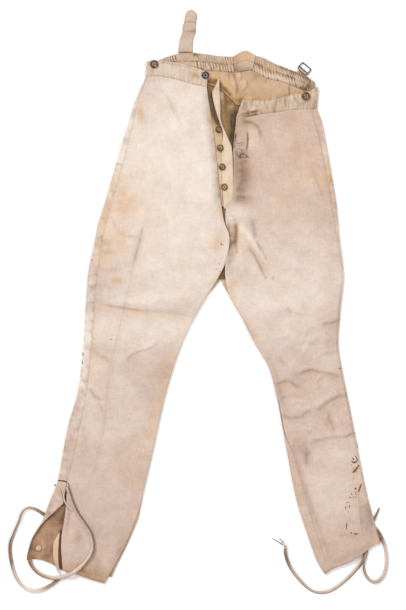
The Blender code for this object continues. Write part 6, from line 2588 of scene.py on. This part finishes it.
@dataclass
class TapeKnot:
    """Overhand knot at the end of a tape.

    Attributes:
        place: Its middle.
        radii: Half its length, width and height along its middle line.
        thickness: Half the thickness of the twisted tape.
    """

    place: Point3 = (162.7, -499.4, 3.0)
    radii: Point3 = (3.3, 3.0, 1.5)
    thickness: float = 1.25

    def build(self, finishes: Finishes, ground: Ground) -> bpy.types.Object:
        """Make the knot.

        Args:
            finishes: Materials of every piece.
            ground: Finished pieces that others lie on.

        Returns:
            The knot.
        """
        turn = np.linspace(0.0, 2.0 * np.pi, 72, endpoint=False)
        line = np.stack([(np.sin(turn) + 2.0 * np.sin(2.0 * turn)) / 3.0,
                         (np.cos(turn) - 2.0 * np.cos(2.0 * turn)) / 3.0, -np.sin(3.0 * turn)], axis=1)
        radius = self.thickness * (1.0 + 0.18 * np.sin(5.0 * turn))
        shell, faces = swept(line * self.radii + self.place, radius, 10, True)
        item = outward(make_mesh("tape_knot", shell, faces))
        dress(item, (finishes.cloth["tape"],), "tape", ("left_tape_knot",))
        ground.add(item)
        return item


TAPES = {
    "right outer": Tape(
        "right_outer_tape", "right_tape_outer",
        edge(((-306, -444), (-313, -440), (-321, -435), (-332, -428), (-342, -424), (-350, -423),
              (-358, -427), (-364, -436), (-368, -449), (-374, -463), (-380, -478), (-385, -490),
              (-387, -503), (-386, -519), (-383, -535), (-379, -549), (-373, -563), (-364, -576),
              (-352, -585), (-338, -588), (-324, -586), (-312, -581), (-302, -575), (-293, -568),
              (-285, -560)), 0),
        (), "object",
        ((0.0, 0), (0.05, 8), (0.12, 20), (0.18, 62), (0.28, 60), (0.35, 40), (0.45, 12), (0.57, 20),
         (0.68, 40), (0.79, 30), (0.9, 15), (1.0, 10)),
        ((0.0, -0.9, 0.6), (0.06, -0.8, 0.5), (0.1, -0.5, 0.3), (0.14, 0.1, 0.1), (0.23, -0.2, 0.2),
         (0.37, -0.3, 0.25), (0.45, -0.8, 0.7), (0.53, -0.8, 0.7), (0.6, 0.0, 0.2), (0.67, 0.3, 0.1),
         (0.75, 0.8, 0.0), (0.83, 0.6, 0.0), (0.89, -0.4, 0.4), (1.0, -0.7, 0.5)),
        ((0.0, -0.2, 0.2), (0.3, -0.7, 0.0), (0.55, -0.9, 0.0), (0.65, -0.6, 0.1), (0.8, -0.3, 0.2),
         (1.0, 0.2, 0.4)),
    ),
    "right inner": Tape(
        "right_inner_tape", "right_tape_inner",
        edge(((-272, -380), (-268, -392), (-263, -407), (-256, -424), (-248, -438), (-238, -452),
              (-228, -468), (-222, -486), (-221.5, -504), (-228.5, -520.5), (-239.5, -534), (-253, -545.5),
              (-270, -556.5), (-288, -561.5), (-304, -562), (-320, -557.5), (-334, -549), (-344, -536.5),
              (-347, -526), (-342, -516)), 0),
        ("right_front_panel", "right_back_panel", "right_outer_tape"), "object",
        ((0.0, -20), (0.15, -26), (0.33, -24), (0.47, -22), (0.58, -18), (0.7, -12), (0.82, -25), (0.9, -30),
         (0.95, -12), (1.0, 0)),
        ((0.0, -0.3, 0.1), (0.28, -0.3, 0.1), (0.47, -0.1, 0.05), (0.58, 0.3, 0.0), (0.73, 0.4, 0.0),
         (0.82, -0.1, 0.1), (0.9, -0.4, 0.3), (1.0, -0.8, 0.6)),
        ((0.0, 0.9, 1.4), (0.37, 1.0, 1.6), (0.52, 0.9, 1.3), (0.6, 0.3, 0.4), (0.7, 0.3, 0.5),
         (0.8, 0.6, 1.1), (1.0, 0.5, 1.2)),
        width=7.6,
    ),
    "right strand": Tape(
        "right_strand", "right_tape_strand",
        edge(((-284, -384), (-281, -394), (-279, -404), (-276, -412), (-270, -420), (-263, -428)), 0),
        ("right_front_panel", "right_back_panel", "right_inner_tape"), "object",
        ((0.0, -10), (1.0, -20)),
        ((0.0, -0.2, 0.1), (1.0, 0.0, 0.0)),
        ((0.0, -0.8, 0.0), (1.0, -0.9, 0.0)),
        width=3.4, step=1.0,
    ),
    "left long": Tape(
        "left_long_tape", "left_tape_long",
        edge(((325, -506), (322.5, -516), (319, -526), (314, -534), (302, -549), (286, -565), (270, -578),
              (254, -588), (238, -592), (220, -590), (206, -581), (194, -569), (184, -557), (174, -543),
              (167, -528), (163, -514), (162.5, -504)), 0),
        (), "knot",
        ((0.0, 0), (0.06, 0), (0.12, 25), (0.32, 8), (0.47, 12), (0.58, 45), (0.67, 30), (0.79, 12),
         (0.9, 25), (1.0, 50)),
        ((0.0, -0.8, 0.6), (0.1, -0.2, 0.1), (0.3, 0.2, 0.0), (0.5, 0.2, 0.0), (0.7, -0.1, 0.15),
         (0.82, -0.1, 0.2), (0.9, -0.8, 0.7), (1.0, -0.8, 0.6)),
        ((0.0, 0.5, 1.0), (0.3, 0.6, 1.0), (0.6, 0.2, 0.7), (1.0, 0.5, 0.6)),
    ),
    "left loop": Tape(
        "left_loop_tape", "left_tape_loop",
        edge(((326, -497), (325.5, -507), (323.5, -518), (321, -528), (320, -539), (322.5, -552), (329, -563),
              (338, -569.5), (348, -568.5), (357, -560), (363, -547), (365.5, -531), (364.5, -514),
              (362, -499), (357.5, -487), (352, -476), (345, -466), (337, -458)), 0),
        ("left_long_tape",), "object",
        ((0.0, 0), (0.08, 0), (0.15, 40), (0.2, 45), (0.36, 40), (0.48, 22), (0.6, 8), (0.76, 10), (0.84, 18),
         (0.94, 14), (1.0, 0)),
        ((0.0, -0.6, 0.5), (0.28, -0.3, 0.2), (0.44, 0.0, 0.1), (0.62, 0.3, 0.0), (0.76, 0.2, 0.0),
         (0.81, -0.1, 0.2), (0.86, -0.7, 0.8), (0.94, -1.2, 1.4), (1.0, -1.2, 1.4)),
        ((0.0, -0.4, 0.1), (0.44, -0.6, 0.1), (0.7, -0.4, 0.2), (0.79, 0.2, 0.4), (0.84, 0.9, 2.4),
         (1.0, 0.6, 2.2)),
    ),
    "left stub": Tape(
        "left_stub_tape", "left_tape_stub",
        edge(((336, -453), (340, -446), (344.2, -437), (347.6, -430), (351, -422.5)), 0),
        (), "",
        ((0.0, 0), (0.25, 30), (1.0, 30)),
        ((0.0, -1.2, 1.8), (0.55, -1.1, 1.6), (1.0, -0.5, 0.4)),
        width=6.2, taper=0.6, step=1.0,
    ),
    "tail 1": Tape(
        "left_tail_1", "left_tape_tail_1",
        ((158, -496, 1.0), (150, -491.5, 0.4), (143, -487.5, 0), (136.5, -484, 0)),
        (), "",
        ((0.0, 30), (1.0, 40)),
        ((0.0, -0.6, 0.5), (1.0, -0.2, 0.4)),
        width=3.0, taper=0.5, step=1.0,
    ),
    "tail 2": Tape(
        "left_tail_2", "left_tape_tail_2",
        ((160, -493, 2.4), (157, -489.5, 1.6), (153.5, -486, 0.8), (150.5, -483, 0.4)),
        (), "",
        ((0.0, 30), (1.0, 40)),
        ((0.0, -0.4, 0.4), (1.0, 0.0, 0.2)),
        width=3.0, taper=0.5, step=1.0,
    ),
}


def build_ties(finishes: Finishes, ground: Ground) -> None:
    """Make the ankle tapes, each after what it lies on.

    Args:
        finishes: Materials of every piece.
        ground: Finished pieces that others lie on.
    """
    for name in ("right outer", "right inner", "right strand"):
        TAPES[name].build(finishes, ground)
    knot = TapeKnot().build(finishes, ground)
    tails = [TAPES[name].build(finishes, ground) for name in ("tail 1", "tail 2")]
    TAPES["left long"].build(finishes, ground, (knot, *tails))
    for name in ("left loop", "left stub"):
        TAPES[name].build(finishes, ground)


# ---------------------------------------------------------------- stitches and wear


@dataclass
class Seams:
    """Lines of stitches, made by one node tree and turned into a mesh for each thread.

    Attributes:
        pitch: Distance from stitch to stitch.
        length: Length of a stitch.
        radius: Half its thickness.
        lift: Height of the thread above the cloth.
        least: Size of the smallest stitch, as a part of the usual one.
        most: Size of the largest.
        lines: Lines that each thread is sewn along.
    """

    pitch: float = 3.0
    length: float = 2.2
    radius: float = 0.36
    lift: float = 0.12
    least: float = 0.75
    most: float = 1.15
    lines: dict[str, list[np.ndarray]] = field(default_factory=dict)

    def sew(self, thread: str, points: np.ndarray) -> None:
        """Add a line of stitches along points on the cloth."""
        self.lines.setdefault(thread, []).append(np.asarray(points, float) + (0.0, 0.0, self.lift))

    def tree(self) -> bpy.types.NodeTree:
        """Node tree that sets a stitch at every step along the edges of a mesh."""
        group = bpy.data.node_groups.new("Stitch line", "GeometryNodeTree")
        for label, kind in (("Lines", "Geometry"), ("Pitch", "Float"), ("Length", "Float"),
                            ("Radius", "Float"), ("Seed", "Int"), ("Thread", "Material")):
            group.interface.new_socket(label, in_out="INPUT", socket_type=f"NodeSocket{kind}")
        group.interface.new_socket("Stitches", in_out="OUTPUT", socket_type="NodeSocketGeometry")
        nodes = Nodes(group)
        given, result = nodes.add("NodeGroupInput"), nodes.add("NodeGroupOutput")
        curve = nodes.add("GeometryNodeMeshToCurve", {0: given.outputs["Lines"]})
        inputs = {"Curve": curve.outputs[0], "Length": given.outputs["Pitch"]}
        even = nodes.add("GeometryNodeResampleCurve", inputs, mode="LENGTH")
        ball = nodes.add("GeometryNodeMeshIcoSphere", {"Radius": 1.0, "Subdivisions": 1})
        half, radius = nodes.math("MULTIPLY", given.outputs["Length"], 0.5), given.outputs["Radius"]
        size = nodes.add("ShaderNodeCombineXYZ", {0: half, 1: radius, 2: radius})
        tangent = nodes.add("GeometryNodeInputTangent")
        turn = nodes.add("FunctionNodeAlignRotationToVector", {"Vector": tangent.outputs[0]}, axis="X")
        inputs = {2: self.least, 3: self.most, "Seed": given.outputs["Seed"]}
        vary = nodes.add("FunctionNodeRandomValue", inputs, data_type="FLOAT")
        inputs = {0: size.outputs[0], "Scale": vary.outputs[1]}
        scale = nodes.add("ShaderNodeVectorMath", inputs, operation="SCALE")
        inputs = {"Points": even.outputs[0], "Instance": ball.outputs[0], "Rotation": turn.outputs[0],
                  "Scale": scale.outputs[0]}
        placed = nodes.add("GeometryNodeInstanceOnPoints", inputs)
        real = nodes.add("GeometryNodeRealizeInstances", {0: placed.outputs[0]})
        inputs = {"Geometry": real.outputs[0], "Material": given.outputs["Thread"]}
        nodes.feed(result, {0: nodes.add("GeometryNodeSetMaterial", inputs).outputs[0]})
        return group

    def build(self, finishes: Finishes) -> None:
        """Make one mesh of stitches for each thread.

        Args:
            finishes: Materials of every piece.
        """
        tree = self.tree()
        sockets = {item.name: item.identifier for item in tree.interface.items_tree}
        for number, (thread, lines) in enumerate(self.lines.items()):
            mesh = bpy.data.meshes.new(f"{thread} lines")
            points, edges = [], []
            for line in lines:
                first = len(points)
                points += (line * MM).tolist()
                edges += [(first + n, first + n + 1) for n in range(len(line) - 1)]
            mesh.from_pydata(points, edges, [])
            item = bpy.data.objects.new(f"stitches_{thread.replace(' ', '_')}", mesh)
            bpy.context.scene.collection.objects.link(item)
            modifier = item.modifiers.new("stitches", "NODES")
            modifier.node_group = tree
            for name, value in (("Pitch", self.pitch * MM), ("Length", self.length * MM),
                                ("Radius", self.radius * MM), ("Seed", number + 5),
                                ("Thread", finishes.hard[thread])):
                modifier[sockets[name]] = value
            dress(settle(item), (finishes.hard[thread],), "waist_cloth")


@dataclass
class Wear:
    """Torn fibres, scuffs and specks as short threads on the cloth.

    Attributes:
        marks: Finish, radius and the places of each mark.
        under: Pieces that the marks lie on.
        step: Distance from point to point along a mark.
        wander: How far a mark wanders from its line.
        wander_cell: Distance along it in which it does.
    """

    marks: tuple[tuple[str, float, tuple[Point2, ...]], ...]
    under: tuple[str, ...]
    step: float = 1.0
    wander: float = 0.35
    wander_cell: float = 2.6

    def build(self, finishes: Finishes, ground: Ground) -> None:
        """Make one mesh of marks for each finish.

        Args:
            finishes: Materials of every piece.
            ground: Finished pieces that others lie on.
        """
        shells: dict[str, list] = {}
        for number, (finish, radius, route) in enumerate(self.marks):
            line = even_curve(route, self.step)
            away = [drift(*line.T, self.wander_cell, seed + number) for seed in (80, 180)]
            line = line + self.wander * np.stack(away, axis=1)
            draped = ground.drape(line, self.under, radius * 0.35)
            part = np.linspace(-1.0, 1.0, len(draped))
            width = radius * np.sqrt(np.maximum(1.0 - part ** 4, 0.08))
            width = width * (1.0 + 0.3 * drift(draped[:, 0], draped[:, 1], 1.8, 90))
            shells.setdefault(finish, []).append(swept(draped, width, 6))
        for finish, parts in shells.items():
            item = outward(make_mesh(f"wear_{finish.replace(' ', '_')}", *joined(parts)))
            dress(item, (finishes.hard[finish],), "left_cloth")


FRONTS = ("right_front_panel", "left_front_panel", "left_back_panel", "right_back_panel", "left_back_lining",
          "gathered_back_left", "left_waistband")
TORN, BROWN = "torn edge", "brown thread"
# Finish, radius and places of each mark: holes, split edges, torn corners and loose threads
WEAR = (
    (TORN, 1.6, ((295, -329), (300, -331), (304, -330))),
    (TORN, 1.0, ((303, -318), (306, -326), (305, -332))), (BROWN, 1.0, ((296, -322), (300, -326))),
    (TORN, 1.5, ((297, -352), (302, -347), (307, -341))), (TORN, 1.0, ((307, -341), (310, -336))),
    (TORN, 0.5, ((294, -336), (296, -338))), (BROWN, 0.6, ((297, -342), (299, -344))),
    (BROWN, 0.7, ((304, -350), (306, -351))), (BROWN, 0.5, ((309, -343), (310, -345))),
    (TORN, 2.0, ((301, -383), (304, -384))), (TORN, 1.2, ((314, -374), (312, -381), (308.5, -391))),
    (TORN, 0.9, ((295, -393), (296, -396))), (TORN, 1.2, ((291, -400), (293, -402))),
    (TORN, 1.0, ((298, -400), (300, -401))), (TORN, 1.0, ((303, -401), (305, -400))),
    (TORN, 1.1, ((308, -401), (309, -402))), (TORN, 0.8, ((308, -395), (309, -397))),
    (BROWN, 0.5, ((303, -390), (304, -396))), (TORN, 0.5, ((297, -362), (299, -365))),
    (TORN, 0.7, ((283, -419), (283, -425))), (TORN, 0.7, ((291, -416), (290, -423))),
    (BROWN, 0.3, ((283, -415), (286, -411), (291, -412))), (BROWN, 0.4, ((289, -428), (289, -431))),
    (TORN, 0.8, ((285, -451), (285, -458), (285, -465))), (TORN, 1.2, ((294, -470), (295, -473))),
    (TORN, 1.2, ((299, -474), (304, -474), (308, -473))),
    (BROWN, 0.5, ((304, -292), (308, -300), (309, -306))), (TORN, 0.5, ((242, -72), (244, -73))),
    (TORN, 0.7, ((269, -143), (273, -145))), (TORN, 0.7, ((-186, -85), (-184, -87))),
    (TORN, 1.1, ((-241, -112), (-241, -119))), (TORN, 0.9, ((-242, -129), (-243, -135))),
    (TORN, 0.8, ((-224, 74), (-222, 70))), (TORN, 0.7, ((-230, 24), (-228, 22))),
    (TORN, 0.9, ((34, 106), (36, 102))), (BROWN, 0.4, ((38, 104), (40, 101))),
    (BROWN, 0.5, ((87, 324), (88, 312), (87, 300), (85, 292))),
    (BROWN, 0.6, ((202, 419), (208, 410), (214, 412))), (BROWN, 0.5, ((196, 414), (204, 416), (210, 420))),
    (BROWN, 0.5, ((206, 424), (209, 414), (206, 406))),
    (BROWN, 0.7, ((-272, -390), (-275, -398), (-276, -406))), (BROWN, 0.5, ((30, 66), (32, 63))),
    (BROWN, 0.5, ((26, 56), (27, 53))), (BROWN, 0.5, ((33, 50), (34, 47))),
    (BROWN, 0.8, ((68, 277), (74, 283), (80, 284), (86, 280), (90, 276))),
    (BROWN, 0.8, ((71, 275), (77, 278), (83, 277), (88, 279))),
    (BROWN, 0.7, ((75, 285), (73, 279), (70, 275))), (BROWN, 0.8, ((66, 282), (70, 280), (73, 276))),
    (BROWN, 0.4, ((66, 306), (70, 304), (76, 307), (82, 304))),
    (BROWN, 0.4, ((66, 292), (72, 294), (80, 291))), (TORN, 1.3, ((-292, -368), (-282, -368), (-271, -371))),
    (TORN, 1.0, ((-270, -372), (-268, -381))), (TORN, 1.6, ((-299, -377), (-296, -378))),
)


# ---------------------------------------------------------------- studio


@dataclass
class Studio:
    """White table, daylight and the camera straight above.

    Attributes:
        middle: Place that the camera looks at.
        camera_height: Height of the camera.
        view_height: Height on the table that it sees.
        sensor: Height of the camera's sensor.
        floor_size: Length of the table's sides.
        floor_level: Height of the table's top.
        sky: Strength of the light from all round.
        suns: Name, place, strength and spread in degrees of each sun.
    """

    middle: Point2 = (-1.5, -17.4)
    camera_height: float = 2560.0
    view_height: float = 1220.0
    sensor: float = 36.0
    floor_size: float = 4200.0
    floor_level: float = -0.4
    sky: float = 0.64
    suns: tuple[tuple[str, Point3, float, float], ...] = (
        ("key", (-1000, 1300, 1300), 2.0, 24.0),
        ("side", (1500, -200, 1300), 0.95, 34.0),
    )

    def build(self) -> None:
        """Make the camera, the table and the lights."""
        self.camera()
        self.floor()
        self.lights()

    def camera(self) -> None:
        """Camera that looks straight down."""
        data = bpy.data.cameras.new("camera")
        data.sensor_width = self.sensor
        data.lens = self.sensor * self.camera_height / self.view_height
        data.clip_end = 20.0
        camera = bpy.data.objects.new("camera", data)
        camera.location = (self.middle[0] * MM, self.middle[1] * MM, self.camera_height * MM)
        bpy.context.scene.collection.objects.link(camera)
        bpy.context.scene.camera = camera

    def floor(self) -> None:
        """White table."""
        half = self.floor_size / 2.0
        corners = [(-half, -half), (half, -half), (half, half), (-half, half)]
        floor = make_mesh("table", [(*corner, self.floor_level) for corner in corners], [(0, 1, 2, 3)], False)
        material, nodes, shader = new_material("white table")
        nodes.feed(shader, {"Base Color": (0.95, 0.95, 0.95, 1.0), "Roughness": 0.9,
                            "Specular IOR Level": 0.1})
        floor.data.materials.append(material)

    def lights(self) -> None:
        """Bright sky, a soft sun from the upper left and a weaker one from the right."""
        scene = bpy.context.scene
        scene.view_settings.view_transform = "Standard"
        world = bpy.data.worlds.new("sky")
        world.use_nodes = True
        light = {"Color": (1.0, 1.0, 1.0, 1.0), "Strength": self.sky}
        Nodes(world.node_tree).feed(world.node_tree.nodes["Background"], light)
        scene.world = world
        for name, place, strength, spread_angle in self.suns:
            data = bpy.data.lights.new(name, "SUN")
            data.energy = strength
            data.angle = math.radians(spread_angle)
            lamp = bpy.data.objects.new(name, data)
            lamp.location = Vector(place) * MM
            lamp.rotation_euler = (-Vector(place)).to_track_quat("-Z", "Y").to_euler()
            scene.collection.objects.link(lamp)


# ---------------------------------------------------------------- breeches


def main() -> None:
    """Build every piece, from the table up."""
    logging.basicConfig(level=logging.INFO, format="%(message)s")
    Studio().build()
    ground = Ground()
    finishes = Finishes()
    right = Leg(Side.RIGHT, RIGHT_ROWS, FRONT_RIGHT_SEAM, 1.6, RIGHT_CREASES, BACK_CREASES, RIGHT_CHANGES,
                RIGHT_TONES, RIGHT_CRUMPLES, RIGHT_INSIDE, RIGHT_STRIP, RIGHT_HEM)
    left = Leg(Side.LEFT, LEFT_ROWS, FRONT_LEFT_SEAM, 3.2, LEFT_CREASES, BACK_CREASES, LEFT_CHANGES,
               LEFT_TONES, LEFT_CRUMPLES, LEFT_INSIDE, LEFT_STRIP, LEFT_HEM)
    seams = Seams()
    for leg in (right, left):
        leg.build(finishes, ground, seams)
    BackLining().build(finishes, ground)
    GatheredBack().build(finishes, ground, seams)
    for leg, curves, ends, changes, tone, grain in (
        (right, (FRONT_RIGHT_SEAM, FRONT_RIGHT_TOP), ((-116, -114), (6, 8)), RIGHT_BAND_CHANGES, 0.45, 0.18),
        (left, (FRONT_LEFT_SEAM, FRONT_LEFT_TOP), ((65, 77), (226, 228)), LEFT_BAND_CHANGES, 0.05, 0.55),
    ):
        FrontBand(leg, curves, ends, changes, tone, grain).build(finishes, ground, seams)
    for strip in STRIPS:
        strip.build(finishes, ground, seams)
    for button in BUTTONS:
        button.build(finishes, ground)
    CoveredButton().build(finishes, ground)
    CinchBuckle().build(finishes, ground)
    Wear(WEAR, FRONTS).build(finishes, ground)
    build_ties(finishes, ground)
    seams.build(finishes)


if __name__ == "__main__":
    main()
